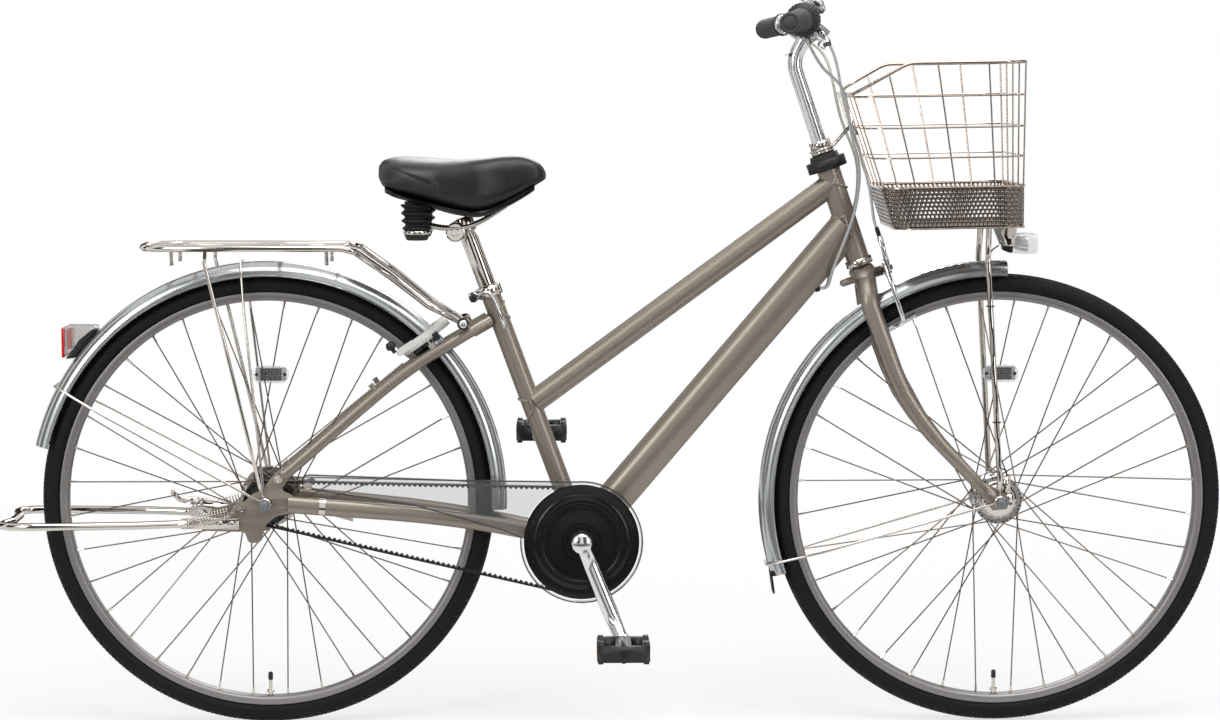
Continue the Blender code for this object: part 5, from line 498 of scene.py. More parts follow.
def rim_shell(label, centre):
    half = RIM_HALF
    profile = [
        (RIM_BED, half - 0.0024), (RIM_EDGE - 0.001, half - 0.0022), (RIM_EDGE, half - 0.0014),
        (RIM_EDGE, half - 0.0004), (RIM_EDGE - 0.0008, half), (RIM_EDGE - 0.0086, half - 0.0002),
        (RIM_EDGE - 0.0094, half - 0.0008), (RIM_INNER + 0.0016, half * 0.86), (RIM_INNER, half * 0.6),
    ]
    form = Form().turned(mirrored(profile), centre, Y_AXIS, 160, closed=True)
    form.make(label + "_rim_shell", RIM, label + "_wheel", [label + "_rim"], slot="rim_metal")


def spokes_and_nipples(label, centre, flange_radius, spacing):
    """Crossed spokes with bent heads, and a nipple on each at the rim."""
    spokes = Form()
    nipples = Form()
    for index in range(SPOKES):
        start, end, layer = spoke_ends(centre, flange_radius, spacing / 2, index)
        head = start - layer * 0.0024 * Y_AXIS
        spokes.tube([head, start, end], SPOKE_RADIUS, 8)
        spokes.tube([head - layer * 0.001 * Y_AXIS, head], 0.0019, 8)
        way = (end - start).normalized()
        nipples.tube([end - 0.012 * way, end], 0.002, 8, radii=[0.0017, 0.0021])
        nipples.turned([(0, -0.002), (0.003, -0.002), (0.003, 0.0002), (0, 0.0002)], end, way, 8)
    spokes.make(label + "_spokes", WIRE_PAINTED_REFLECTION, label + "_wheel")
    nipples.make(label + "_nipples", CHROME_PAINTED_REFLECTION, label + "_wheel")


def valve(label, centre):
    """The tyre's valve with its cap, at the foot of the rim."""
    foot = centre - (RIM_BED - 0.002) * Z_AXIS
    stem_profile = [
        (0, 0.034), (0.0022, 0.034), (0.0022, 0.026), (0.0027, 0.0255), (0.0027, 0.011), (0.0056, 0.0105),
        (0.0056, 0.0065), (0.0032, 0.006), (0.0032, 0), (0, 0),
    ]
    Form().turned(stem_profile, foot, Z_AXIS, 16).make(label + "_valve", CHROME_PAINTED_REFLECTION, label + "_wheel")
    cap = [(0, 0.0385), (0.0026, 0.038), (0.0036, 0.036), (0.0036, 0.0265), (0.0024, 0.0262), (0, 0.0262)]
    Form().turned(cap, foot, Z_AXIS, 16).make(label + "_valve_cap", PLASTIC, label + "_wheel")


def rim_and_spokes(label, centre, flange_radius, spacing):
    rim_shell(label, centre)
    spokes_and_nipples(label, centre, flange_radius, spacing)
    valve(label, centre)


def wheel_reflector(label, centre):
    """A clear reflector in a plastic frame that clips on the spokes."""
    body = label + "_wheel"
    spot = centre + Vector((0.005, -0.006, 0.19))
    outline = round_corners([
        (-0.027, -0.006), (-0.02, -0.013), (0.02, -0.013), (0.027, -0.006), (0.027, 0.006), (0.02, 0.013),
        (-0.02, 0.013), (-0.027, 0.006),
    ], 0.004)
    holes = [circle(-0.0215, 0, 0.0022, 16), circle(0.0215, 0, 0.0022, 16)]
    mesh = plate(label + "_reflector_lens", [outline] + holes, 0.0062, side_place(spot), 0.0008)
    piece(label + "_reflector_lens", mesh, LENS, body, sharp=30)
    prism = Form()
    for k in range(9):
        for j in range(5):
            x = spot.x - 0.0144 + 0.0036 * k
            z = spot.z - 0.0076 + 0.0038 * j
            prism.box((x, spot.y - 0.0026, z), (0.0024, 0.0036, 0.0028), Matrix.Rotation(0.6, 3, "Z"))
    prism.make(label + "_reflector_prisms", PRISM, body)
    clip = Form().box(spot + Vector((0, 0.0044, 0)), (0.046, 0.003, 0.02))
    for side in (-1, 1):
        pin = spot + Vector((side * 0.0215, -0.0034, 0))
        clip.turned([(0, 0.001), (0.0022, 0.0008), (0.0026, 0), (0, 0)], pin, -Y_AXIS, 16)
    clip.make(label + "_reflector_clip", PLASTIC, body, bevel=0.001)


def hub(label, centre, flange_radius, spacing, shell, neck_end, finish):
    """A hub shell with stepped end faces, a neck on its left and spoke holes in each flange."""
    flange = spacing / 2
    profile = [
        (0.006, flange + FLANGE_FACE), (0.012, flange + FLANGE_FACE), (0.0125, flange + 0.0035),
        (0.019, flange + 0.0035), (0.0195, flange + 0.0022), (0.0235, flange + 0.0022),
        (0.024, flange + 0.0032), (0.0275, flange + 0.0032), (0.0285, flange + FLANGE_FACE),
        (flange_radius - 0.001, flange + FLANGE_FACE), (flange_radius, flange + 0.0006),
        (flange_radius, flange - 0.001), (flange_radius - 0.001, flange - 0.0016),
        (shell + 0.001, flange - 0.0022), (shell, flange - 0.006),
    ]
    profile = mirrored(profile)
    profile[:2] = [(0.006, neck_end), (0.012, neck_end)]
    form = Form().turned(profile, centre, Y_AXIS, 72, closed=True)
    form.make(label + "_hub_shell", finish, label + "_wheel", [label + "_hub"])
    holes = Form()
    for side in (-1, 1):
        for k in range(SPOKES // 2):
            way = upright(math.tau * (k + 0.25) / (SPOKES // 2))
            spot = centre + (flange_radius - SPOKE_HOLE_INSET) * way + side * (flange + 0.0016) * Y_AXIS
            holes.turned(
                [(0, 0.0002), (0.0014, 0.0002), (0.0014, -0.001), (0, -0.001)], spot, side * Y_AXIS, 10
            )
    holes.make(label + "_flange_holes", DARK, label + "_wheel")


REAR_FLANGES = (0.036, 0.056)
FRONT_FLANGES = (0.037, 0.058)
tyre("rear", REAR_AXLE)
tyre("front", FRONT_AXLE)
rim_and_spokes("rear", REAR_AXLE, *REAR_FLANGES)
rim_and_spokes("front", FRONT_AXLE, *FRONT_FLANGES)
wheel_reflector("rear", REAR_AXLE)
wheel_reflector("front", FRONT_AXLE)
hub("rear", REAR_AXLE, *REAR_FLANGES, 0.03, 0.0295, DARK)
hub("front", FRONT_AXLE, *FRONT_FLANGES, 0.033, 0.0305, ALUMINIUM)


# Mudguards

GUARD_RADIUS = 0.361
GUARD_HALF = 0.027
GUARD_DEPTH = 0.021
GUARD_WALL = 0.0012
STAY_RADIUS = 0.0025
GUARD_EDGE = GUARD_RADIUS - GUARD_DEPTH


def wheel_point(centre, radius, degrees, left=0.0):
    """A point at an angle round a wheel, so far from its axle and to the left."""
    angle = math.radians(degrees)
    return centre + Vector((radius * math.cos(angle), left, radius * math.sin(angle)))


def guard_section(rib=0.0):
    """Half of a guard's section, from its rolled edge to its crown, as (radius, left) points."""
    points = [(GUARD_EDGE - 0.0002, GUARD_HALF - 0.0014), (GUARD_EDGE, GUARD_HALF)]
    steps = 9
    for k in range(1, steps + 1):
        angle = math.radians(90 * k / steps)
        radius = GUARD_EDGE + (GUARD_DEPTH + rib * math.sin(angle)) * math.sin(angle)
        points.append((radius, GUARD_HALF * math.cos(angle) ** 0.72 if k < steps else 0.0))
    return points


def mudguard(name, centre, first, last, body, node, ribs=()):
    """A curved guard over part of a wheel. Its surface steps up and down over each rib."""
    form = Form()
    steps = round((last - first) * 1.5)
    rings = []
    for k in range(steps + 1):
        degrees = first + (last - first) * k / steps
        ribbed = any(low < degrees < high for low, high in ribs) and k % 3 == 1
        half = guard_section(0.0009 if ribbed else 0.0)
        outer = half[1:] + [(radius, -left) for radius, left in half[1:-1][::-1]]
        inner = [(radius - GUARD_WALL, left * 0.955) for radius, left in outer[::-1]]
        section = outer + inner
        rings.append([wheel_point(centre, radius, degrees, left) for radius, left in section])
    form.loft(rings)
    form.make(name, GUARD, body, [node], sharp=50, slot="guard_metal")
    edge = Form()
    for side in (-1, 1):
        turns = [first + (last - first) * k / steps for k in range(steps + 1)]
        left = side * (GUARD_HALF - 0.0004)
        edge.tube([wheel_point(centre, GUARD_EDGE, degrees, left) for degrees in turns], 0.0011, 6)
    edge.make(name + "_edges", GUARD, body)


def guard_stay(name, centre, degrees, eye, spread, body):
    """A wire stay from one axle end over the guard to the other, with an eye at each end."""
    crown = GUARD_RADIUS + GUARD_WALL / 2 + STAY_RADIUS * 0.5
    half = GUARD_HALF + GUARD_WALL / 2 + STAY_RADIUS * 0.6
    wire = STAY_RADIUS * 0.8
    leg = [
        (0.0082, eye, 0.0009), (0.017, eye, 0.0012), (0.027, eye + 0.0014, wire),
        (GUARD_RADIUS - 0.08, spread, wire), (GUARD_RADIUS - 0.016, half + 0.001, wire),
        (crown, half * 0.74, wire),
    ]
    form = Form()
    path = []
    radii = []
    for side, route in ((-1, leg), (1, leg[::-1])):
        path += [wheel_point(centre, radius, degrees, side * left) for radius, left, _ in route]
        radii += [size for *_, size in route]
    form.tube(path, STAY_RADIUS, 10, radii=radii)
    ring = mirrored([(0.0052, -0.0009), (0.01, -0.0009)])
    for side in (-1, 1):
        form.turned(ring, centre + side * eye * Y_AXIS, Y_AXIS, 24, closed=True)
    form.make(name, CHROME_PAINTED_REFLECTION, body)


REAR_EYE = 0.066
FRONT_EYE = 0.0566
mudguard("rear_guard", REAR_AXLE, -2.4, 166.5, "frame", "rear_mudguard")
mudguard("front_guard", FRONT_AXLE, 88.0, 199.3, "steering", "front_mudguard", [(91, 110)])
guard_stay("rear_guard_stay_front", REAR_AXLE, 96, REAR_EYE, 0.052, "frame")
guard_stay("rear_guard_stay_back", REAR_AXLE, 151.4, REAR_EYE, 0.05, "frame")
guard_stay("front_guard_stay", FRONT_AXLE, 196, FRONT_EYE, 0.052, "steering")


def mud_flap():
    """The rubber flap at the lower end of the front guard."""
    high = wheel_point(FRONT_AXLE, GUARD_RADIUS - 0.001, 198.0)
    way = (wheel_point(FRONT_AXLE, GUARD_RADIUS + 0.006, 203.0) - high).normalized()
    across = way.cross(Y_AXIS)
    rings = []
    for along, half in ((0.0, 0.0215), (0.01, 0.0235), (0.02, 0.024), (0.028, 0.022), (0.034, 0.0175)):
        ring = []
        for sign, depth in ((-1, -0.0014), (1, -0.0014), (1, 0.0014), (-1, 0.0014)):
            ring.append(high + along * way + half * sign * Y_AXIS + depth * across)
        rings.append(ring)
    Form().loft(rings).make("front_mud_flap", RUBBER, "steering")


mud_flap()


# Basket

FLOOR_REAR = from_rear(0.936, 0, 0.412)
FLOOR_FRONT = from_rear(1.13, 0, 0.416)
HALF_FLOOR = 0.13
HALF_RIM = 0.172
BAND_HEIGHT = 0.062
FLARE_REAR = 0.078
FLARE_FRONT = 0.006
RIM_HEIGHT = 0.244
REAR_RIM_HEIGHT = 0.201
RIM_KNEE = 0.34
WIRE_HEIGHTS = (0.106, 0.15, 0.196)
WIRE_RADIUS = 0.0013
BASKET_CORNER = 0.037
BASKET_RUNS = (0.134, 0.2)
RING_STEPS = 96
PAN_BOTTOM = 0.002
PAN_MARGIN = 0.045
PAN_COLUMNS = 130
PAN_ROWS = 9
FLOOR_EDGE = 0.86


def wall_point(height, share, side, grow=0.0):
    """A point on a basket wall: so high, so far forward and so far to the side."""
    part = height / RIM_HEIGHT
    half = HALF_FLOOR + (HALF_RIM - HALF_FLOOR) * part + grow
    rear_x = FLOOR_REAR.x - FLARE_REAR * part - grow
    front_x = FLOOR_FRONT.x - FLARE_FRONT * part + grow
    z = FLOOR_REAR.z + height + share * (FLOOR_FRONT.z - FLOOR_REAR.z)
    return Vector((rear_x + (front_x - rear_x) * share, side * half, z))


def rim_height_at(share):
    """The rim wire's height, lower behind its knee."""
    behind = max(0.0, 1 - share / RIM_KNEE)
    return RIM_HEIGHT - behind * (RIM_HEIGHT - REAR_RIM_HEIGHT)


def ring_point(height, turn, grow=0.0):
    """A point on the basket's rounded outline at a height, at a share of the way round."""
    low = wall_point(height, 0.0, 1, grow)
    high = wall_point(height, 1.0, 1, grow)
    corner = BASKET_CORNER
    long_run, wide_run = BASKET_RUNS
    bend = corner * math.pi / 2
    runs = [long_run, bend, wide_run, bend, long_run, bend, wide_run, bend]
    at = (turn % 1) * sum(runs)
    for index, run in enumerate(runs):
        if at <= run:
            break
        at -= run
    t = at / run
    x0, x1 = low.x + corner, high.x - corner
    y1 = low.y - corner
    corners = ((x1, -y1, -90), (x1, y1, 0), (x0, y1, 90), (x0, -y1, 180))
    if index % 2:
        cx, cy, start = corners[index // 2]
        angle = math.radians(start + 90 * t)
        x, y = cx + corner * math.cos(angle), cy + corner * math.sin(angle)
    elif index == 0:
        x, y = x0 + (x1 - x0) * t, -low.y
    elif index == 2:
        x, y = high.x, -y1 + 2 * y1 * t
    elif index == 4:
        x, y = x1 + (x0 - x1) * t, low.y
    else:
        x, y = low.x, y1 - 2 * y1 * t
    z = low.z + (x - low.x) / (high.x - low.x) * (high.z - low.z)
    return Vector((x, y, z))


def basket_ring(height, grow=0.0):
    return [ring_point(height, k / RING_STEPS, grow) for k in range(RING_STEPS)]


def perforated(bm, surface, hole):
    """Cells of a sheet with a round hole in each, in rows that are set off by half a cell."""
    outer = ((-1, -1), (0, -1), (1, -1), (1, 0), (1, 1), (0, 1), (-1, 1), (-1, 0))
    half_u = 0.5 / PAN_COLUMNS
    half_v = 0.5 * (1 - 2 * PAN_MARGIN) / PAN_ROWS
    for row in range(PAN_ROWS):
        for column in range(PAN_COLUMNS):
            middle_u = (column + 0.5 + 0.5 * (row % 2)) / PAN_COLUMNS
            middle_v = PAN_MARGIN + (1 - 2 * PAN_MARGIN) * (row + 0.5) / PAN_ROWS
            rim_verts = []
            hole_verts = []
            for a, b in outer:
                length = math.hypot(a, b)
                rim_verts.append(bm.verts.new(surface(middle_u + a * half_u, middle_v + b * half_v)))
                hole_verts.append(bm.verts.new(
                    surface(middle_u + a / length * hole[0], middle_v + b / length * hole[1])
                ))
            for k in range(8):
                j = (k + 1) % 8
                bm.faces.new((rim_verts[k], rim_verts[j], hole_verts[j], hole_verts[k]))


def sheet_strip(bm, surface, low, high):
    """A plain strip round a sheet, between two shares of its height."""
    around = 2 * PAN_COLUMNS
    for k in range(around):
        one, two = k / around, (k + 1) / around
        corners = ((one, low), (two, low), (two, high), (one, high))
        bm.faces.new([bm.verts.new(surface(u, v)) for u, v in corners])


def basket_pan():
    """The perforated sheet metal pan, with plain strips along its upper and lower edges."""
    bm = bmesh.new()
    centre = (FLOOR_REAR + FLOOR_FRONT) / 2 + PAN_BOTTOM * Z_AXIS

    def wall(u, v):
        return ring_point(PAN_BOTTOM + v * (BAND_HEIGHT - PAN_BOTTOM), u, -0.0008)

    def base(u, v):
        return centre + (wall(u, 0.0) - centre) * v

    perforated(bm, wall, (0.32 / PAN_COLUMNS, 0.0345))
    sheet_strip(bm, wall, 0.0, PAN_MARGIN)
    sheet_strip(bm, wall, 1 - PAN_MARGIN, 1.0)
    around = 2 * PAN_COLUMNS
    for k in range(around):
        one, two = k / around, (k + 1) / around
        corners = ((one, 1.0), (one, FLOOR_EDGE), (two, FLOOR_EDGE), (two, 1.0))
        bm.faces.new([bm.verts.new(base(u, v)) for u, v in corners])
    bm.faces.new([bm.verts.new(base(k / around, FLOOR_EDGE)) for k in range(around)])
    mesh = bpy.data.meshes.new("basket_pan")
    close_up(bm, mesh, 2e-5)
    pan = piece("basket_pan", mesh, PAN, "steering", ["basket"], 50)
    wall_modifier = pan.modifiers.new("wall", "SOLIDIFY")
    wall_modifier.thickness = 0.0009
    wall_modifier.offset = 0
    rims = Form()
    for height, size in ((BAND_HEIGHT, 0.0016), (0.0016, 0.0012)):
        rims.tube(basket_ring(height), size, 8, loop=True)
    rims.make("basket_pan_edges", BASKET_STEEL_PAINTED_REFLECTION, "steering")


def rim_wire():
    """The heavier wire round the basket's top, with a low back and tight corners."""
    corner = 0.1
    rim = []
    for side, shares in ((-1, (corner, RIM_KNEE, 1 - corner)), (1, (1 - corner, RIM_KNEE, corner))):
        rim += [wall_point(rim_height_at(share), share, side) for share in shares]
        end = 1.0 if side < 0 else 0.0
        spot = wall_point(rim_height_at(end), end, 1)
        rim += [Vector((spot.x, way * spot.y * 0.84, spot.z)) for way in (side, -side)]
    path = []
    for before, point, after in zip([rim[-1]] + rim, rim, rim[1:] + rim[:1]):
        start = point + (before - point).normalized() * 0.012
        end = point + (after - point).normalized() * 0.012
        path += corner_curve(start, point, end, 4)
    Form().tube(path, 0.0025, 12, loop=True).make("basket_rim_wire", BASKET_STEEL_PAINTED_REFLECTION, "steering")


def basket_wires():
    """Three rings and the uprights, which go up from the pan to the rim wire."""
    wires = Form()
    for height in WIRE_HEIGHTS:
        wires.tube(basket_ring(height, -0.0006), WIRE_RADIUS, 8, loop=True)
    uprights = [(share, side) for share in (0.22, 0.5, 0.78) for side in (-1, 1)]
    uprights += [(end, across) for end in (0.0, 1.0) for across in (-0.8, -0.4, 0, 0.4, 0.8)]
    for share, side in uprights:
        low = wall_point(BAND_HEIGHT - 0.01, share, side, -0.0024)
        high = wall_point(rim_height_at(share), share, side)
        wires.tube([low, high], WIRE_RADIUS, 8)
    wires.make("basket_wires", BASKET_STEEL_PAINTED_REFLECTION, "steering")


basket_pan()
rim_wire()
basket_wires()


# Belt and its cover

FRONT_TEETH = 64
REAR_TEETH = 26
BELT_PITCH = 0.008
BELT_LINE = -0.048
BELT_WIDTH = 0.012
TOOTH_STEPS = (0.0008, 0.0008, 0.0022, 0.0036, 0.0036, 0.0022)
COVER_RADIUS = 0.0915
COVER_FACE = 0.0577
COVER_WALL = 0.0012
COVER_DEPTH = 0.0155
DISC_FACE = 0.0548
FRONT_PITCH_RADIUS = FRONT_TEETH * BELT_PITCH / math.tau
REAR_PITCH_RADIUS = REAR_TEETH * BELT_PITCH / math.tau
BELT_RUN = BOTTOM_BRACKET - REAR_AXLE
BELT_TILT = math.atan2(BELT_RUN.z, BELT_RUN.x)
BELT_LEAN = math.asin((FRONT_PITCH_RADIUS - REAR_PITCH_RADIUS) / math.hypot(BELT_RUN.x, BELT_RUN.z))


def belt_line():
    """The belt's pitch line once round, as close points."""
    points = []
    for centre, radius, turn, half in (
        (BOTTOM_BRACKET, FRONT_PITCH_RADIUS, BELT_TILT, math.pi / 2 + BELT_LEAN),
        (REAR_AXLE, REAR_PITCH_RADIUS, BELT_TILT + math.pi, math.pi / 2 - BELT_LEAN),
    ):
        count = 120
        for k in range(count + 1):
            angle = turn - half + 2 * half * k / count
            points.append(Vector((centre.x + radius * math.cos(angle), centre.z + radius * math.sin(angle))))
    return points


def line_lengths(points):
    """The lengths of the runs between the points of a closed line."""
    return [(points[(k + 1) % len(points)] - point).length for k, point in enumerate(points)]


def along_line(points, count):
    """Even stations on a closed line, each with the way to its inner side."""
    lengths = line_lengths(points)
    total = sum(lengths)
    stations = []
    index = 0
    passed = 0.0
    for k in range(count):
        at = total * k / count
        while passed + lengths[index] < at:
            passed += lengths[index]
            index += 1
        one = points[index]
        two = points[(index + 1) % len(points)]
        way = (two - one).normalized()
        stations.append((one + (at - passed) * way, Vector((-way.y, way.x))))
    return stations


def drive_belt():
    """A belt with teeth on its inner side, round both pulleys."""
    points = belt_line()
    teeth = round(sum(line_lengths(points)) / BELT_PITCH)
    rings = []
    for k, (point, inward) in enumerate(along_line(points, teeth * len(TOOTH_STEPS))):
        inner = point + TOOTH_STEPS[k % len(TOOTH_STEPS)] * inward
        outer = point - 0.0014 * inward
        ring = []
        for spot, y in ((outer, 1), (outer, -1), (inner, -1), (inner, 1)):
            ring.append(Vector((spot.x, BELT_LINE + y * BELT_WIDTH / 2, spot.y)))
        rings.append(ring)
    Form().loft(rings, loop=True).make("toothed_belt", RUBBER, "frame", ["drive_belt"], sharp=20)


def disc_cover():
    """The black disc on the pulley: turned rings round a plain middle, with small rivets."""
    profile = [
        (0.0164, 0.0042), (0.0195, 0.0042), (0.0201, 0.0028), (0.0222, 0.0028), (0.0228, 0.0042),
        (0.0262, 0.0042), (0.0268, 0.0028), (0.0286, 0.0028), (0.0294, 0.0038), (0.0476, 0.0034),
        (0.0484, 0.0042), (0.0512, 0.0042), (0.0526, 0.0016), (0.0566, 0.0016), (0.0582, 0.0032),
        (0.06, 0.0038), (0.069, 0.0034), (0.0722, 0.0016), (0.085, 0.0015), (0.0866, 0.0011),
        (0.087, 0.0004), (0.0868, 0.0), (0.0164, 0.0),
    ]
    profile = [(radius, -DISC_FACE - up) for radius, up in profile]
    place = Vector((BOTTOM_BRACKET.x, 0, BOTTOM_BRACKET.z))
    form = Form().turned(profile, place, Y_AXIS, 120, closed=True)
    form.make("disc_cover", GLOSS, "crank", ["pulley_cover"], 28)
    rivets = Form()
    for k in range(8):
        way = upright(math.radians(22 + 45 * k))
        spot = place + 0.079 * way - (DISC_FACE + 0.0015) * Y_AXIS
        rivets.turned([(0, 0.0009), (0.0012, 0.0008), (0.0018, 0), (0, 0)], spot, -Y_AXIS, 12)
    rivets.make("disc_rivets", PLASTIC, "crank")


def cover_outline(inset):
    """The clear case's upper edge: round the disc and back over the upper run."""
    rear = REAR_AXLE
    return arc(BOTTOM_BRACKET.x, BOTTOM_BRACKET.z, COVER_RADIUS - inset, -95, 95, 48) + [
        (rear.x + 0.3, rear.z + 0.034 - inset), (rear.x + 0.064, rear.z + 0.043 - inset),
        (rear.x + 0.058, rear.z + 0.0415 - inset), (rear.x + 0.056, rear.z + 0.038 - inset),
        (rear.x + 0.056, rear.z + 0.024),
    ]


def belt_cover():
    """The clear case: a thin face, a lip over the belt and a rolled edge, open round the disc."""
    upper = cover_outline(0)
    rear = REAR_AXLE
    lower = [
        (rear.x + 0.082, rear.z + 0.019), (rear.x + 0.225, rear.z - 0.003), (rear.x + 0.36, rear.z - 0.042),
    ]
    bb = (BOTTOM_BRACKET.x, BOTTOM_BRACKET.z)
    outline = upper + lower + arc(*bb, COVER_RADIUS, 175, 260, 24)
    hole = circle(*bb, 0.0886, 96)
    mesh = plate("cover_face", [outline, hole], COVER_WALL, side_place(-COVER_FACE * Y_AXIS))
    piece("belt_cover_face", mesh, CLEAR, "frame", ["belt_cover"], 40)
    near = COVER_FACE + COVER_WALL / 2
    far = COVER_FACE - COVER_DEPTH
    rings = []
    for point, inner in zip(upper, cover_outline(COVER_WALL)):
        section = ((point, near), (point, far), (inner, far), (inner, near))
        rings.append([Vector((x, -y, z)) for (x, z), y in section])
    Form().loft(rings).make("belt_cover_lip", CLEAR, "frame", sharp=50, slot="clear_plastic")
    edge = [Vector((x, -COVER_FACE - 0.0002, z)) for x, z in outline]
    Form().tube(edge, 0.0011, 8, loop=True).make("belt_cover_edge", CLEAR_EDGE, "frame", slot="clear_plastic")


drive_belt()
disc_cover()
belt_cover()


# Saddle

SADDLE_REAR = from_rear(0.172, 0, 0)
SADDLE_LENGTH = 0.249
SADDLE_ROWS = (
    (0.0, 0.052, 0.848, 0.826), (0.006, 0.078, 0.8545, 0.816), (0.02, 0.098, 0.8585, 0.808),
    (0.04, 0.107, 0.86, 0.802), (0.08, 0.103, 0.858, 0.79), (0.115, 0.079, 0.856, 0.78),
    (0.15, 0.05, 0.858, 0.776), (0.185, 0.035, 0.861, 0.788), (0.215, 0.03, 0.86, 0.804),
    (0.236, 0.024, 0.852, 0.818), (0.245, 0.016, 0.843, 0.8235), (SADDLE_LENGTH, 0.006, 0.835, 0.827),
)
SEAM = (
    (0.0, 0.853), (0.0055, 0.851), (0.043, 0.8365), (0.083, 0.8202), (0.101, 0.806), (0.111, 0.7896),
    (0.114, 0.7617),
)
SADDLE_STATIONS = 132
SADDLE_AROUND = 112
CUSHION_FOOT = 0.34


def read_rows(rows, along):
    """The row of values at a place along, on a smooth curve through the rows."""
    for index in range(len(rows) - 1):
        if along <= rows[index + 1][0]:
            break
    one, two = rows[index], rows[index + 1]
    before = rows[max(index - 1, 0)]
    after = rows[min(index + 2, len(rows) - 1)]
    span = two[0] - one[0]
    t = min(1, max(0, (along - one[0]) / span))
    values = []
    for a, b, c, d in zip(before[1:], one[1:], two[1:], after[1:]):
        slope_one = (c - a) / max(1e-6, two[0] - before[0]) * span
        slope_two = (d - b) / max(1e-6, after[0] - one[0]) * span
        values.append(
            b * (2 * t ** 3 - 3 * t ** 2 + 1) + c * (3 * t ** 2 - 2 * t ** 3)
            + slope_one * (t ** 3 - 2 * t ** 2 + t) + slope_two * (t ** 3 - t ** 2)
        )
    return values


def seam_distance(along, height):
    """How far a point of the saddle's side lies from the seam: above it is positive."""
    best = 1.0
    sign = 1
    for (a, b), (c, d) in zip(SEAM, SEAM[1:]):
        run, rise = c - a, d - b
        t = min(1, max(0, ((along - a) * run + (height - b) * rise) / (run * run + rise * rise)))
        gap = math.hypot(along - a - t * run, height - b - t * rise)
        if gap < best:
            best = gap
            sign = 1 if (run * (height - b) - rise * (along - a)) > 0 else -1
    return best * sign


def cushion_point(along, half, top, bottom, angle):
    """A point on the cushion's section at a place along it, sunk at the seam and in the middle."""
    across, up = math.cos(angle), math.sin(angle)
    y = half * math.copysign(abs(across) ** (0.62 if up > 0 else 0.5), across)
    foot = CUSHION_FOOT * (top - bottom)
    if up > 0:
        z = bottom + foot + (1 - CUSHION_FOOT) * (top - bottom) * up ** 0.74
        z -= 0.005 * math.exp(-(y / 0.016) ** 2) * math.exp(-((along - 0.11) / 0.06) ** 2)
    else:
        z = bottom + foot * (1 + up)
        y *= 1 - 0.1 * up ** 2
    gap = seam_distance(along, z)
    if abs(y) > half * 0.25:
        y -= math.copysign(0.0014 * math.exp(-(gap / 0.0013) ** 2), y)
        if gap < 0:
            y -= math.copysign(0.0006, y)
    return Vector((SADDLE_REAR.x + along, y, z))


def saddle_cover():
    """A crowned cushion with a seam that sets off its side panels."""
    rings = []
    for k in range(SADDLE_STATIONS + 1):
        share = k / SADDLE_STATIONS
        along = SADDLE_LENGTH * (0.5 - 0.5 * math.cos(math.pi * share)) * 0.35 + SADDLE_LENGTH * share * 0.65
        row = read_rows(SADDLE_ROWS, along)
        turns = [math.tau * j / SADDLE_AROUND for j in range(SADDLE_AROUND)]
        rings.append([cushion_point(along, *row, angle) for angle in turns])
    form = Form().loft(rings)
    saddle = form.make("saddle_cover_padding", LEATHER, "seat", ["saddle"], sharp=75, slot="saddle_cover")
    saddle.data.materials.append(panel_finish())
    for face in saddle.data.polygons:
        along = face.center.x - SADDLE_REAR.x
        if along < 0.115 and seam_distance(along, face.center.z) < -0.001 and face.normal.z > -0.75:
            face.material_index = 1


def panel_finish():
    """The side panel's cloth: fine slanted ribs."""
    finish = finish_of("saddle_panel", (0.012, 0.012, 0.0135), 0.44, 0.0, 1800, 0.1, 0.04, shine=0.38)
    tree = finish.node_tree
    place = add_node(tree, "TexCoord", {})
    turn = add_node(
        tree, "Mapping", {"Rotation": (0, math.radians(38), 0), "Vector": place.outputs["Object"]}
    )
    wave = add_node(tree, "TexWave", {"Scale": 150, "Distortion": 0.4, "Vector": turn.outputs["Vector"]})
    relief = add_node(tree, "Bump", {"Strength": 0.55, "Distance": 0.0006, "Height": wave.outputs["Fac"]})
    set_inputs(tree, tree.nodes["Principled BSDF"], {"Normal": relief.outputs["Normal"]})
    return finish


saddle_cover()


# Saddle's undercarriage

SEAT_TOP = BOTTOM_BRACKET + 0.408 * SEAT_UP
SEAT_BOLT = from_rear(0.285, 0, 0.405)
BELLOWS_FOOT = 0.395
BELLOWS_LEFT = 0.056
RAIL_END = 0.229
RAIL_HEIGHT = 0.418
FOLD_PITCH = 0.0115
FOLDS_START = 0.0135
FOLD_STEPS = 60


def on_seat(along, back=0.0, left=0.0):
    return SEAT_TOP + along * SEAT_UP + back * SEAT_BACK + left * Y_AXIS


def saddle_pan():
    """The glossy plastic base under the cushion, with a rolled lip."""
    lip = ((0.84, 0.003), (0.86, 0.0), (0.8, -0.0045), (0.55, -0.006))
    rings = []
    for k in range(25):
        along = 0.01 + 0.222 * k / 24
        half, _, bottom = read_rows(SADDLE_ROWS, along)
        x = SADDLE_REAR.x + along
        level = bottom - 0.0004
        ring = [Vector((x, half * wide, level + up)) for wide, up in lip]
        rings.append(ring + [Vector((x, -half * wide, level + up)) for wide, up in lip[::-1]])
    Form().loft(rings).make("saddle_pan", GLOSS, "seat", sharp=50)


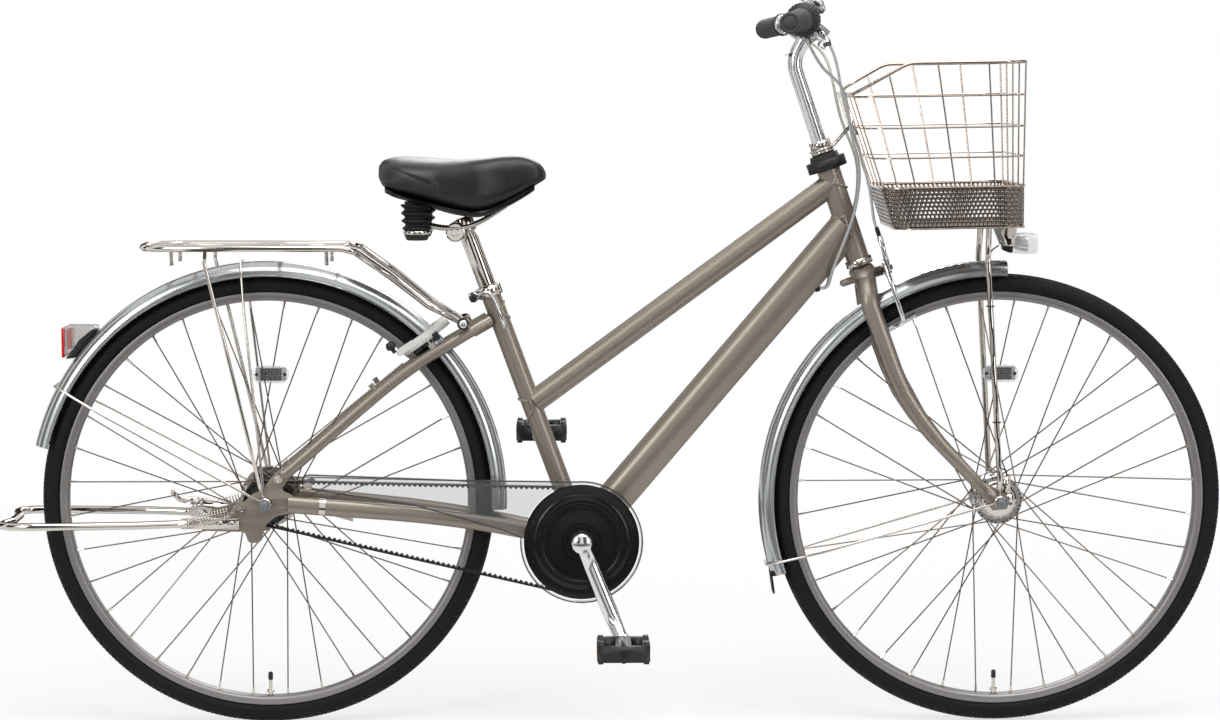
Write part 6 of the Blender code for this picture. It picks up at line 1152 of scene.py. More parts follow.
def saddle_clamp():
    """The head clamp, its bolt and the two rails that run forward from it."""
    head = on_seat(0.098)
    clamp = Form()
    clamp.turned(
        mirrored([(0.0112, 0.011), (0.015, 0.011), (0.0156, 0.0095)]), head, SEAT_UP, 40, closed=True
    )
    drum = [(0, 0.024), (0.0132, 0.024), (0.0145, 0.0228), (0.0145, 0.016), (0.0128, 0.0155)]
    clamp.turned(mirrored(drum), SEAT_BOLT, Y_AXIS, 40)
    clamp.box((SEAT_BOLT + head) / 2, (0.02, 0.02, 0.018))
    clamp.make("saddle_clamp", CHROME_PAINTED_REFLECTION, "seat", ["saddle_springs"], bevel=0.0012)
    bolt = Form()
    rails = Form()
    for side in (-1, 1):
        face = SEAT_BOLT + side * 0.024 * Y_AXIS
        bolt.turned(
            [(0, 0.006), (0.0058, 0.006), (0.0066, 0.0052), (0.0066, 0), (0, 0)], face, side * Y_AXIS, 6
        )
        route = bent([
            from_rear(RAIL_END, side * 0.022, RAIL_HEIGHT), SEAT_BOLT + Vector((-0.012, side * 0.022, 0.004)),
            SEAT_BOLT + Vector((0.03, side * 0.02, 0.01)), from_rear(0.36, side * 0.01, 0.4435),
        ], 0.02, 8)
        rails.tube(route, 0.0035, 14)
    bolt.make("saddle_clamp_nuts", CHROME_PAINTED_REFLECTION, "seat", bevel=0.0005)
    ends = [from_rear(RAIL_END, side * BELLOWS_LEFT, RAIL_HEIGHT) for side in (-1, 1)]
    rails.tube(ends, 0.0042, 14)
    rails.make("saddle_rails", CHROME_PAINTED_REFLECTION, "seat")


def saddle_bellows(side):
    """A rubber bellows with rounded folds, a bright band and a moulded foot."""
    foot = from_rear(RAIL_END, side * BELLOWS_LEFT, BELLOWS_FOOT)
    folds = [(0, FOLDS_START)]
    for k in range(FOLD_STEPS + 1):
        height = FOLDS_START + 0.04 * k / FOLD_STEPS
        swell = 0.0188 + 0.0046 * (k / FOLD_STEPS) * (1 - 0.35 * k / FOLD_STEPS)
        wave = math.sin(math.tau * (height - FOLDS_START) / FOLD_PITCH - 0.6)
        folds.append((swell + 0.0026 * wave, height))
    folds.append((0, 0.0535))
    name = SIDE_NAMES[side]
    Form().turned(folds, foot, Z_AXIS, 56).make("saddle_bellows_" + name, RUBBER, "seat", sharp=60)
    band = [
        (0.0165, 0.0088), (0.0198, 0.009), (0.0206, 0.0102), (0.0206, 0.0128), (0.0198, 0.014),
        (0.0165, 0.0142)
    ]
    Form().turned(band, foot, Z_AXIS, 48, closed=True).make("saddle_band_" + name, CHROME_PAINTED_REFLECTION, "seat")
    base = [(0, 0), (0.014, 0), (0.016, 0.0012), (0.0185, 0.007), (0.0185, 0.0088), (0, 0.0088)]
    Form().turned(base, foot, Z_AXIS, 48).make("saddle_foot_" + name, PLASTIC, "seat")


saddle_pan()
saddle_clamp()
saddle_bellows(-1)
saddle_bellows(1)


# Handlebar's places

HEAD_BOTTOM = FRONT_AXLE - 0.085 * HEAD_FORWARD + 0.4129 * HEAD_UP
GAP = 0.0003
STEM_HEIGHT = 0.314
LEVER_FORWARD = Vector((0.78, 0, -0.62)).normalized()
BAR_RADIUS = 0.0111
BAR_BENDS = ((0, 0, 0), (0.001, 0.04, 0.001), (0.0, 0.075, 0.008), (-0.005, 0.106, 0.015))
GRIP_START = (-0.0125, 0.133, 0.0175)
GRIP_TIP = (-0.047, 0.28, 0.009)
GRIP_RADIUS = 0.0155
GRIP_RINGS = 22
GRIP_LENGTH = 0.095
SHIFTER_LENGTH = 0.034
BRACKET_WIDTH = 0.013
RUNNING_GAP = 0.0005


def on_head(along, forward=0.0, left=0.0):
    return HEAD_BOTTOM + along * HEAD_UP + forward * HEAD_FORWARD + left * Y_AXIS


STEM_TOP = on_head(STEM_HEIGHT)
DOWN_TUBE_TOP = on_head(0.0515)
BAR_CLAMP = on_head(STEM_HEIGHT + 0.033, 0.036)


def on_bar(side, place):
    """A place on one half of the bar, given ahead of, out from and above its clamp."""
    ahead, out, up = place
    return BAR_CLAMP + Vector((ahead, side * out, up))


def grip_axis(side):
    """The straight outer end of the bar: where it starts, its direction and its length."""
    start = on_bar(side, GRIP_START)
    run = on_bar(side, GRIP_TIP) - start
    return start, run.normalized(), run.length


def on_grip(side, along):
    start, way, _ = grip_axis(side)
    return start + along * way


def bracket_place(side):
    inset = GRIP_LENGTH + RUNNING_GAP + BRACKET_WIDTH / 2 + RUNNING_GAP
    if side < 0:
        inset += SHIFTER_LENGTH + RUNNING_GAP
    return grip_axis(side)[2] - inset


def lever_pivot(side):
    return on_grip(side, bracket_place(side)) + 0.033 * LEVER_FORWARD


def barrel_end(side):
    """Where a brake cable leaves its bracket, inboard of the lever's pivot."""
    return lever_pivot(side) - side * 0.022 * Y_AXIS + 0.004 * LEVER_FORWARD


def handlebar():
    """The bent bar in one smooth tube."""
    path = []
    for side in (-1, 1):
        half = smooth_path([on_bar(side, place) for place in BAR_BENDS + (GRIP_START,)], 8)
        half.append(on_bar(side, GRIP_TIP))
        path = half[::-1] if side < 0 else path + half[1:]
    Form().tube(path, BAR_RADIUS, 32).make("handlebar_tube", ALUMINIUM, "steering", ["handlebar"])


def grip(side):
    """A soft grip with fine rings, a raised collar inboard and a flat closed end with a groove."""
    start, way, total = grip_axis(side)
    tip = total + 0.0042
    inner = total - GRIP_LENGTH
    profile = [
        (0, tip - 0.0006), (0.0098, tip - 0.0006), (0.0104, tip - 0.0012), (0.011, tip - 0.0006),
        (0.0118, tip), (0.014, tip - 0.0004), (0.0152, tip - 0.0018), (GRIP_RADIUS, tip - 0.0036),
    ]
    for k in range(GRIP_RINGS):
        at = tip - 0.008 - (GRIP_LENGTH - 0.022) * k / GRIP_RINGS
        profile += [(GRIP_RADIUS, at), (GRIP_RADIUS, at - 0.0016), (0.015, at - 0.002), (0.015, at - 0.0026)]
    profile += [
        (0.0157, inner + 0.0075), (0.0175, inner + 0.003), (0.0175, inner + 0.0004), (0.017, inner),
        (0.0113, inner),
    ]
    name = SIDE_NAMES[side]
    form = Form().turned(profile, start, way, 48)
    form.make("grip_rubber_" + name, GRIP, "steering", ["grip_" + name], sharp=50)


def shifter():
    """The twist drum with shallow ridges round its fat part."""
    start, way, total = grip_axis(-1)
    outer = total - GRIP_LENGTH - RUNNING_GAP
    inner = outer - SHIFTER_LENGTH
    side_way = way.orthogonal().normalized()
    other = way.cross(side_way)
    stations = (
        (0.0118, outer - 0.0002), (0.0178, outer - 0.0002), (0.0185, outer - 0.001),
        (0.0188, outer - 0.006), (0.0193, outer - 0.0098), (0.0244, outer - 0.0135), (0.025, outer - 0.015),
        (0.025, outer - 0.029), (0.0243, outer - 0.031), (0.0228, inner + 0.0002), (0.0118, inner + 0.0002),
    )
    rings = []
    for k in range(144):
        angle = math.tau * k / 144
        out = math.cos(angle) * side_way + math.sin(angle) * other
        ring = []
        for radius, along in stations:
            cut = 0.0007 if 0.024 < radius and k % 6 < 2 else 0.0
            ring.append(start + (radius - cut) * out + along * way)
        rings.append(ring)
    Form().loft(rings, loop=True, open_rings=True).make(
        "shifter_twist_grip", PLASTIC, "shifter", ["shifter_drum"], sharp=30
    )


def stem():
    """A forged stem: a round quill that bends forward into a split clamp with its bolt."""
    path = bent([on_head(0.146), STEM_TOP, BAR_CLAMP - 0.004 * (BAR_CLAMP - STEM_TOP).normalized()], 0.02, 8)
    Form().tube(path, 0.011, 32).make("stem_quill", ALUMINIUM, "steering", ["stem"])
    clamp = Form()
    sleeve = mirrored([(0.0114, 0.0205), (0.015, 0.0205), (0.0163, 0.019)])
    clamp.turned(sleeve, BAR_CLAMP, Y_AXIS, 48, closed=True)
    turn = Matrix.Rotation(math.radians(25), 3, "Y")
    for up in (-0.0052, -0.0108):
        clamp.box(BAR_CLAMP + Vector((0.016, 0, up)), (0.016, 0.0195, 0.0042), turn)
    clamp.make("stem_clamp", ALUMINIUM, "steering", bevel=0.0014)
    bolt = Form()
    low = BAR_CLAMP + Vector((0.0195, 0, -0.0215))
    high = BAR_CLAMP + Vector((0.0215, 0, 0.0035))
    bolt.tube([low, high], 0.0032, 16)
    bolt.tube([low, low + 0.006 * (high - low).normalized()], 0.0055, 6)
    bolt.make("stem_bolt", CHROME_PAINTED_REFLECTION, "steering", bevel=0.0004)
    cap = Form().turned(
        [(0, 0.0016), (0.008, 0.001), (0.0102, 0), (0, 0)], STEM_TOP + 0.0108 * HEAD_UP, HEAD_UP, 24
    )
    cap.make("stem_cap", PLASTIC, "steering")


handlebar()
grip(-1)
grip(1)
shifter()
stem()


# Cables

CABLE_RADIUS = 0.0022
FERRULE_RADIUS = 0.0034
STOP_UP = -0.0105 - 0.002 - 0.016 + 0.04 + 0.012
STOP_AHEAD = 0.03 + 0.006 / 2 + GAP + 0.0063
STOP_LEFT = -0.025
SILVER_HOUSING = finish_of("silver_housing", (0.5, 0.51, 0.51), 0.3, 0.3, 1500, 0.06, 0.05, 0.1, coat=0.2)

FRONT_ROUTE = (
    (0.85, -0.082, 0.662), (0.8655, -0.064, 0.595), (0.8905, -0.042, 0.526), (0.907, -0.029, 0.468),
)
REAR_ROUTE = (
    (0.852, 0.098, 0.662), (0.87, 0.062, 0.578), (0.892, 0.042, 0.514), (0.893, 0.031, 0.464),
    (0.883, 0.0268, 0.424), (0.868, 0.0262, 0.3885), (0.853, 0.02, 0.348),
)
SHIFT_ROUTE = (
    (0.827, -0.122, 0.652), (0.861, -0.088, 0.618), (0.8745, -0.06, 0.56), (0.8895, -0.04, 0.503),
    (0.8885, -0.029, 0.459), (0.881, -0.0265, 0.424), (0.868, -0.0262, 0.3885), (0.853, -0.02, 0.348),
)


def cable_entry(side):
    """Where a cable goes into the down tube's keel on one side, and its direction there."""
    along = (DOWN_TUBE_TOP - BOTTOM_BRACKET).normalized()
    down = Vector((along.z, 0, -along.x))
    surface = BOTTOM_BRACKET + 0.52 * along + 0.027 * down
    return surface + side * 0.0065 * Y_AXIS, (-0.8 * along - 0.6 * down).normalized()


def entry_points(side):
    surface, way = cable_entry(side)
    return [surface - 0.015 * way, surface, surface + 0.018 * way]


def ferrule(form, place, way, length=0.012):
    size = FERRULE_RADIUS
    form.turned(
        [(0, 0), (size * 0.82, 0), (size, 0.0008), (size, length * 0.7), (size * 0.8, length), (0, length)],
        place, way, 16,
    )


def housing(name, route, finish, bend, node):
    """A cable's housing along a smooth path, left where it lies and not attached to any body."""
    Form().tube(smooth_path(route, 12), CABLE_RADIUS, 14).make(name, finish, bend, [node])


def cables():
    """Three housings: to the front brake, and two that run from the bar into the down tube."""
    stop = on_head(STOP_UP, STOP_AHEAD, STOP_LEFT) + GAP * HEAD_UP
    start = barrel_end(-1) + 0.0008 * Y_AXIS
    front = [start, start + Vector((0.003, 0.014, -0.001))]
    front += [from_rear(*place) for place in FRONT_ROUTE] + [stop + 0.026 * HEAD_UP, stop]
    bend = ("steering", "left_caliper", stop + 0.06 * HEAD_UP, stop + 0.012 * HEAD_UP)
    housing("front_brake_housing", front, SILVER_HOUSING, bend, "front_brake_cable")
    start = barrel_end(1) - 0.0008 * Y_AXIS
    rear = [start, start + Vector((0.004, -0.016, -0.001))]
    rear += [from_rear(*place) for place in REAR_ROUTE] + entry_points(1)
    bend = ("steering", "frame", from_rear(0.86, 0, 0.63), from_rear(0.856, 0, 0.4))
    housing("rear_brake_housing", rear, HOUSING, bend, "rear_brake_cable")
    out = Vector((0.25, 0, -0.97)).normalized()
    inset = grip_axis(-1)[2] - GRIP_LENGTH - RUNNING_GAP - SHIFTER_LENGTH * 0.6
    start = on_grip(-1, inset) + (0.0252 + GAP) * out
    shift = [start, start + 0.012 * out + Vector((0, 0.002, 0))]
    shift += [from_rear(*place) for place in SHIFT_ROUTE] + entry_points(-1)
    housing("shift_housing", shift, GREY_HOUSING, bend, "shift_cable")
    ends = Form()
    for route in (front, rear, shift):
        ferrule(ends, route[0], (route[1] - route[0]).normalized())
    ends.make("cable_ends", PLASTIC, "steering")
    stop_end = Form()
    ferrule(stop_end, stop, HEAD_UP, 0.014)
    stop_end.make("caliper_cable_end", PLASTIC, "left_caliper")


cables()


# Frame tubes with their welds

HEAD_TUBE_LENGTH = 0.1418
MAIN_TUBE_RADIUS = 0.0175
SEAT_TUBE_RADIUS = 0.0147
SHELL_RADIUS = 0.0205
CHAIN_STAY_TALL = 1.5625
SPRING_POST = (-0.04, 0.088, -0.007)
SPRING_PIN = (-0.127, 0.088, -0.029)


def weld(form, start, way, radius, other_start, other_way, other_radius,
         size=0.0021, ripples=46, squeeze=1.0):
    """A rippled bead where a tube runs into a round one."""
    way = way.normalized()
    other_way = other_way.normalized()
    up = Y_AXIS - Y_AXIS.dot(way) * way
    up.normalize()
    across = way.cross(up)
    path = []
    sizes = []
    steps = ripples * 3
    for k in range(steps):
        angle = math.tau * k / steps
        spot = start + radius * (math.cos(angle) * up * squeeze + math.sin(angle) * across)
        offset = spot - other_start
        offset -= offset.dot(other_way) * other_way
        run = way - way.dot(other_way) * other_way
        a = run.dot(run)
        b = 2 * offset.dot(run)
        c = offset.dot(offset) - other_radius ** 2
        root = max(0.0, b * b - 4 * a * c)
        path.append(spot + (-b + math.sqrt(root)) / (2 * a) * way)
        sizes.append(size * (1.0 + 0.16 * math.cos(math.tau * k / 3)))
    form.tube(path, size, 8, loop=True, radii=sizes)


def down_tube(form, end):
    """The wide tube from the bottom bracket to the head, with a keel along its lower side."""
    way = (end - BOTTOM_BRACKET).normalized()
    normal = Vector((-way.z, 0, way.x))
    section = []
    for k in range(25):
        angle = math.radians(-14 + 208 * k / 24)
        section.append((0.022 * math.cos(angle), 0.0232 * math.sin(angle) + 0.0038))
    section += [
        (-0.0205, -0.0068), (-0.0176, -0.0124), (-0.0108, -0.025), (-0.0092, -0.0265), (-0.0075, -0.027)
    ]
    section += [(-across, up) for across, up in section[:24:-1]]
    rings = []
    for along in (0.0, 0.2, 0.4, 0.6, 0.8, 1.0):
        centre = BOTTOM_BRACKET.lerp(end, along)
        rings.append([centre + across * Y_AXIS + up * normal for across, up in section])
    form.loft(rings)


def main_frame():
    """The frame's smooth tubes, their weld beads and the rubber rings where cables go in."""
    form = Form()
    form.tube([BOTTOM_BRACKET, SEAT_TOP - 0.001 * SEAT_UP], SEAT_TUBE_RADIUS, 40)
    shell = mirrored([(0.0171, 0.035), (0.02, 0.035), (SHELL_RADIUS, 0.0345)])
    form.turned(shell, BOTTOM_BRACKET, Y_AXIS, 48, closed=True)
    head = [
        (0.0149, HEAD_TUBE_LENGTH), (0.0168, HEAD_TUBE_LENGTH),
        (MAIN_TUBE_RADIUS, HEAD_TUBE_LENGTH - 0.0008), (MAIN_TUBE_RADIUS, 0.0008), (0.0168, 0), (0.0149, 0),
    ]
    form.turned(head, HEAD_BOTTOM, HEAD_UP, 48, closed=True)
    start = BOTTOM_BRACKET + 0.217 * SEAT_UP
    end = on_head(0.1205)
    form.tube([start + 0.006 * (end - start).normalized(), end], MAIN_TUBE_RADIUS, 40)
    down_tube(form, DOWN_TUBE_TOP)
    form.make("frame_tubes", PAINT, "frame", ["main_frame"], sharp=34, slot="frame_paint")
    beads = Form()
    back = start - end
    down = BOTTOM_BRACKET - DOWN_TUBE_TOP
    weld(beads, end, -back, MAIN_TUBE_RADIUS, HEAD_BOTTOM, HEAD_UP, MAIN_TUBE_RADIUS)
    weld(beads, end, back, MAIN_TUBE_RADIUS, SEAT_TOP, SEAT_UP, 0.0157, 0.0018)
    weld(
        beads, DOWN_TUBE_TOP, down.normalized(), 0.0255, HEAD_BOTTOM, HEAD_UP, MAIN_TUBE_RADIUS, 0.0023, 60,
        0.86
    )
    weld(beads, SEAT_TOP, -SEAT_UP, SEAT_TUBE_RADIUS, BOTTOM_BRACKET, Y_AXIS, SHELL_RADIUS)
    beads.make("frame_welds", PAINT, "frame", slot="frame_paint")
    rings = Form()
    profile = [(0.0026, 0.003), (0.0044, 0.003), (0.005, 0.001), (0.005, -0.004), (0.0026, -0.004)]
    for side in (-1, 1):
        surface, entry = cable_entry(side)
        rings.turned(profile, surface, -entry, 20, closed=True)
    rings.make("cable_grommets", RUBBER, "frame")


SEAT_STAY = (
    (0.026, 0.061, 0.044), (0.044, 0.06, 0.057), (0.17, 0.05, 0.165), (0.23, 0.042, 0.21),
    (0.276, 0.0375, 0.238), (0.312, 0.024, 0.259), (0.336, 0.0125, 0.2725),
)
CHAIN_STAY = (
    (0.034, 0.062, -0.0012), (0.1, 0.0575, -0.007), (0.227, 0.045, -0.019), (0.33, 0.035, -0.034),
    (0.4, 0.029, -0.048), (0.462, 0.0245, -0.0575),
)
DROPOUT = (
    (0.044, 0.0115), (0.044, -0.013), (0.016, -0.018), (-0.002, -0.034), (-0.006, -0.058), (-0.026, -0.059),
    (-0.03, -0.042), (-0.094, -0.04), (-0.098, -0.024), (-0.052, -0.014), (-0.046, 0.0), (-0.034, 0.001),
    (-0.018, 0.016), (-0.006, 0.02), (0.01, 0.04), (0.022, 0.053), (0.038, 0.042), (0.024, 0.021),
)


def on_side(side, place):
    """A place on one side of the bike, given ahead of, out from and above the rear axle."""
    ahead, out, up = place
    return from_rear(ahead, side * out, up)


def tall_tube(form, path, radius, sides, tall):
    """A tube whose section is taller than it is wide."""
    level = REAR_AXLE.z
    count = len(form.bm.verts)
    form.tube([Vector((spot.x, spot.y, (spot.z - level) / tall + level)) for spot in path], radius, sides)
    form.bm.verts.ensure_lookup_table()
    for vert in form.bm.verts[count:]:
        vert.co.z = level + (vert.co.z - level) * tall


def rear_stays(side):
    """One side's seat stay and chain stay, smooth from the dropout to the frame, and two stubs."""
    stays = Form()
    stays.tube(smooth_path([on_side(side, place) for place in SEAT_STAY], 6), 0.009, 24)
    path = smooth_path([on_side(side, place) for place in CHAIN_STAY], 6)
    tall_tube(stays, path, 0.008, 28, CHAIN_STAY_TALL)
    for first, last, radius, sides in (
        ((0.3, 0.026, 0.268), (0.3, 0.04, 0.268), 0.0075, 24),
        ((0.165, 0.05, 0.169), (0.158, 0.05, 0.179), 0.0042, 16),
    ):
        stays.tube([on_side(side, first), on_side(side, last)], radius, sides)
    replaced = ["rear_triangle"] if side < 0 else []
    stays.make("rear_stays_" + SIDE_NAMES[side], PAINT, "frame", replaced, slot="frame_paint")


def dropout(side):
    """A dropout's plate with rounded edges, and the post that the stand's spring hooks on."""
    name = SIDE_NAMES[side]
    holes = [circle(0, 0, 0.0052, 32), circle(0.03, 0.044, 0.0021, 16), circle(-0.05, -0.029, 0.004, 20)]
    place = side_place(REAR_AXLE + side * 0.0625 * Y_AXIS)
    mesh = plate("dropout_" + name, [round_corners(DROPOUT, 0.007)] + holes, 0.005, place, 0.0006)
    piece("dropout_" + name, mesh, PAINT, "frame", sharp=30)
    spot = on_side(side, SPRING_POST)
    post = Form()
    post.tube([spot - side * 0.026 * Y_AXIS, spot + side * 0.0036 * Y_AXIS], 0.002, 14)
    post.tube([spot + side * 0.0018 * Y_AXIS, spot + side * 0.004 * Y_AXIS], 0.003, 14)
    post.make("spring_post_" + name, CHROME_PAINTED_REFLECTION, "frame")


def rear_yoke():
    """The yoke and the lower bridge, the yoke's weld, and the bright band on the right chain stay."""
    foot = from_rear(0.308, 0, 0.257)
    yoke = Form()
    yoke.tube([foot, from_rear(0.334, 0, 0.272)], 0.0125, 28)
    yoke.tube([from_rear(0.392, -0.03, -0.047), from_rear(0.392, 0.03, -0.047)], 0.0065, 20)
    yoke.make("rear_yoke", PAINT, "frame", slot="frame_paint")
    bead = Form()
    weld(bead, foot, Vector((0.026, 0, 0.015)), 0.0125, SEAT_TOP, SEAT_UP, SEAT_TUBE_RADIUS, 0.0018)
    bead.make("yoke_weld", PAINT, "frame", slot="frame_paint")
    band = Form()
    one = from_rear(0.08, -0.0592, -0.005)
    band.tube([one, from_rear(0.089, -0.0585, -0.0059)], 0.0128, 28)
    for vert in band.bm.verts:
        vert.co.y = one.y + (vert.co.y - one.y) * 0.66
    band.make("stay_band", CHROME_PAINTED_REFLECTION, "frame")


SPRING_TURNS = 15
TURN_STEPS = 14
BOLT_SIDES = 20


def stand_spring(side):
    """A close coil with a straight wire at each end, from the frame's post to the stand's pin."""
    post = on_side(side, SPRING_POST)
    pin = on_side(side, SPRING_PIN)
    way = (post - pin).normalized()
    up = way.cross(Y_AXIS)
    first = pin + 0.0034 * way
    last = post - 0.0034 * way
    start = first + 0.008 * way
    length = (last - first).length - 0.016
    points = [first, first + 0.004 * way]
    steps = SPRING_TURNS * TURN_STEPS
    for k in range(steps + 1):
        angle = math.tau * k / TURN_STEPS
        radius = 0.0082 * min(1, 0.35 + k / 10, 0.35 + (steps - k) / 10)
        round_way = math.cos(angle) * Y_AXIS + math.sin(angle) * up
        points.append(start + length * k / steps * way + radius * round_way)
    points += [last - 0.004 * way, last]
    name = SIDE_NAMES[side]
    bend = ("frame", "stand", post, pin)
    Form().tube(points, 0.001, 8).make("stand_coil_" + name, CHROME_PAINTED_REFLECTION, bend, ["stand_spring_" + name])


def bolt_head(form, place, way, size, height, washer):
    """A screw's round head with a shallow dish, and the washer under it."""
    head = [
        (0, height * 0.72), (size * 0.55, height * 0.72), (size * 0.66, height), (size * 0.92, height),
        (size, height * 0.82), (size, 0), (0, 0),
    ]
    form.turned(head, place, way, BOLT_SIDES)
    form.turned(
        [(0, 0.0009), (washer - 0.0002, 0.0009), (washer, 0.0006), (washer, 0), (0, 0)], place, way, 28
    )


def small_bolts():
    """The rivets of the stand and the frame, and the belt cover's screw."""
    rivets = Form()
    rivet = [(0, 0.0016), (0.0026, 0.0014), (0.004, 0.0006), (0.0044, 0), (0, 0)]
    for side in (-1, 1):
        for ahead in (-0.091, -0.067, -0.05):
            rivets.turned(rivet, from_rear(ahead, side * 0.0693, -0.029), side * Y_AXIS, 20)
    rivets.make("stand_rivets", CHROME_PAINTED_REFLECTION, "stand")
    rivets = Form()
    for side in (-1, 1):
        bolt_head(rivets, from_rear(0.03, side * 0.065, 0.044), side * Y_AXIS, 0.0042, 0.0026, 0.006)
    rivets.make("frame_rivets", CHROME_PAINTED_REFLECTION, "frame")
    screw = Form()
    bolt_head(screw, from_rear(0.064, -0.0583, 0.0255), -Y_AXIS, 0.004, 0.0026, 0.0064)
    screw.make("cover_screw", CHROME_PAINTED_REFLECTION, "frame")


def axle_caps():
    """The grey caps on both ends of both axles."""
    profile = [
        (0, 0), (0.004, -0.0003), (0.0062, -0.0016), (0.008, -0.0042), (0.0088, -0.008), (0.009, -0.013),
        (0.0084, -0.0134), (0, -0.0134),
    ]
    for label, centre, body in (("rear", REAR_AXLE, "frame"), ("front", FRONT_AXLE, "steering")):
        low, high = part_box(label + "_axle")
        for side, tip in ((-1, low.y), (1, high.y)):
            place = Vector((centre.x, tip + side * 0.0004, centre.z))
            cap = Form().turned(profile, place, side * Y_AXIS, 36)
            cap.make(f"{label}_axle_cap_{SIDE_NAMES[side]}", GREY_CAP, body)


main_frame()
for side in (-1, 1):
    rear_stays(side)
    dropout(side)
rear_yoke()
for side in (-1, 1):
    stand_spring(side)
small_bolts()
axle_caps()


# Lamps, caps and small things

LAMP_PIVOT = FLOOR_FRONT + Vector((-0.012, 0, -0.026))
LOCK_SLOPE = math.radians(33)


def tail_light():
    """A black base on the guard, a smoked housing and a red lens that faces back."""
    base = [
        (-0.827, 0.556), (-0.813, 0.557), (-0.802, 0.572), (-0.789, 0.587), (-0.777, 0.6), (-0.787, 0.6),
        (-0.806, 0.584), (-0.816, 0.569),
    ]
    shell = [
        (-0.8275, 0.558), (-0.8275, 0.6035), (-0.824, 0.6062), (-0.781, 0.606), (-0.7775, 0.602),
        (-0.787, 0.5985), (-0.806, 0.584), (-0.816, 0.569),
    ]
    place = side_place(Vector((0, 0, 0)))
    mesh = plate("tail_base", [round_corners(base, 0.002)], 0.03, place, 0.0015)
    piece("tail_light_base", mesh, PLASTIC, "frame", ["tail_light"], 30)
    mesh = plate("tail_shell", [round_corners(shell, 0.002)], 0.038, place, 0.002)
    piece("tail_light_shell", mesh, SMOKE, "frame", (), 30)
    lens = Form().box((-0.8295, 0, 0.5805), (0.0044, 0.037, 0.045))
    lens.make("tail_light_lens", RED, "frame", slot="red_lens", bevel=0.0014)
    core = Form().box((-0.82, 0, 0.586), (0.008, 0.03, 0.03))
    core.make("tail_light_core", RED, "frame", bevel=0.002)


def octagon_rings(centre, rows):
    """Eight-cornered sections, each given by its place along and its half width and height."""
    rings = []
    corners = (
        (-1, -0.6), (-0.75, -1), (0.75, -1), (1, -0.6), (1, 0.6), (0.75, 1), (-0.75, 1), (-1, 0.6),
    )
    for along, half_y, half_z in rows:
        rings.append([centre + Vector((along, wide * half_y, tall * half_z)) for wide, tall in corners])
    return rings


def headlight():
    """A clear block over a bright bowl and its bulb, with a dark housing behind on the pins."""
    centre = LAMP_PIVOT + Vector((0.0085, 0, -0.003))
    lens_rows = (
        (-0.002, 0.0205, 0.0142), (0.006, 0.0213, 0.0148), (0.02, 0.0219, 0.0154), (0.034, 0.0208, 0.0143),
        (0.0362, 0.0192, 0.0128),
    )
    lens = Form().loft(octagon_rings(centre, lens_rows))
    lens.make("lamp_lens", LENS, "lamp", ["headlight"], 30, bevel=0.001)
    back_rows = (
        (-0.016, 0.012, 0.009), (-0.013, 0.016, 0.0112), (-0.008, 0.0198, 0.0133), (-0.0022, 0.0204, 0.014),
    )
    back = Form().loft(octagon_rings(centre, back_rows))
    reach = 0.0255
    back.tube([LAMP_PIVOT - reach * Y_AXIS, LAMP_PIVOT + reach * Y_AXIS], 0.003, 16)
    back.make("lamp_housing", PLASTIC, "lamp", sharp=30, bevel=0.0008)
    bowl = Form().turned(
        [(0.002, 0.001), (0.006, 0.004), (0.0092, 0.009), (0.0112, 0.015), (0.0122, 0.022), (0.013, 0.0222),
         (0.0118, 0.012), (0.007, 0.001)],
        centre, X_AXIS, 40, closed=True,
    )
    bowl.make("lamp_bowl", CHROME_PAINTED_REFLECTION, "lamp")
    bulb = Form().turned(
        [(0, 0.018), (0.0018, 0.0172), (0.003, 0.015), (0.003, 0.01), (0.0016, 0.006), (0, 0.006)],
        centre, X_AXIS, 20,
    )
    bulb.make("lamp_bulb", GREY, "lamp")


def dynamo_wire():
    """The thin wire from the hub up the basket's stay to the lamp, with two ties."""
    top_x = FRONT_AXLE.x - 0.022
    low = Vector((FRONT_AXLE.x - 0.003, -0.0668, FRONT_AXLE.z + 0.055))
    high = Vector((top_x, -0.0618, FLOOR_REAR.z - 0.056))
    path = [from_front(0.011, -0.043, 0.038), from_front(0.008, -0.056, 0.048), low]
    for k in range(1, 12):
        spot = low.lerp(high, k / 12)
        path.append(spot + 0.0016 * math.sin(k * 1.9) * X_AXIS)
    path += [high, high + Vector((0.006, 0.02, 0.02)), LAMP_PIVOT + Vector((-0.014, -0.009, -0.006))]
    wire = Form().tube(smooth_path(path, 6), 0.0011, 8)
    wire.make("dynamo_wire", RUBBER, "steering")
    ties = Form()
    for share in (0.22, 0.8):
        spot = low.lerp(high, share)
        ring = []
        for k in range(24):
            angle = math.tau * k / 24
            ring.append(spot + Vector((0.0058 * math.cos(angle), 0.004 + 0.0078 * math.sin(angle), 0)))
        ties.tube(ring, 0.0009, 6, loop=True)
    ties.make("wire_ties", PLASTIC, "steering")


def pedal_reflectors():
    """The amber reflectors of each pedal and the rubber cap on its outer end."""
    for side, name in SIDE_NAMES.items():
        low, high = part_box("pedal_" + name)
        centre = (low + high) / 2
        form = Form()
        for sign in (-1, 1):
            form.box(centre + Vector((sign * 0.0384, 0, 0)), (0.0024, 0.027, 0.011))
        form.make(f"pedal_{name}_reflectors", AMBER, name + "_pedal", bevel=0.0006)
        end = low.y if side < 0 else high.y
        profile = [(0, 0.0004), (0.006, 0.0004), (0.0086, -0.0006), (0.0092, -0.003), (0, -0.003)]
        cap = Form().turned(profile, Vector((centre.x, end, centre.z)), side * Y_AXIS, 28)
        cap.make(f"pedal_{name}_cap", RUBBER, name + "_pedal")


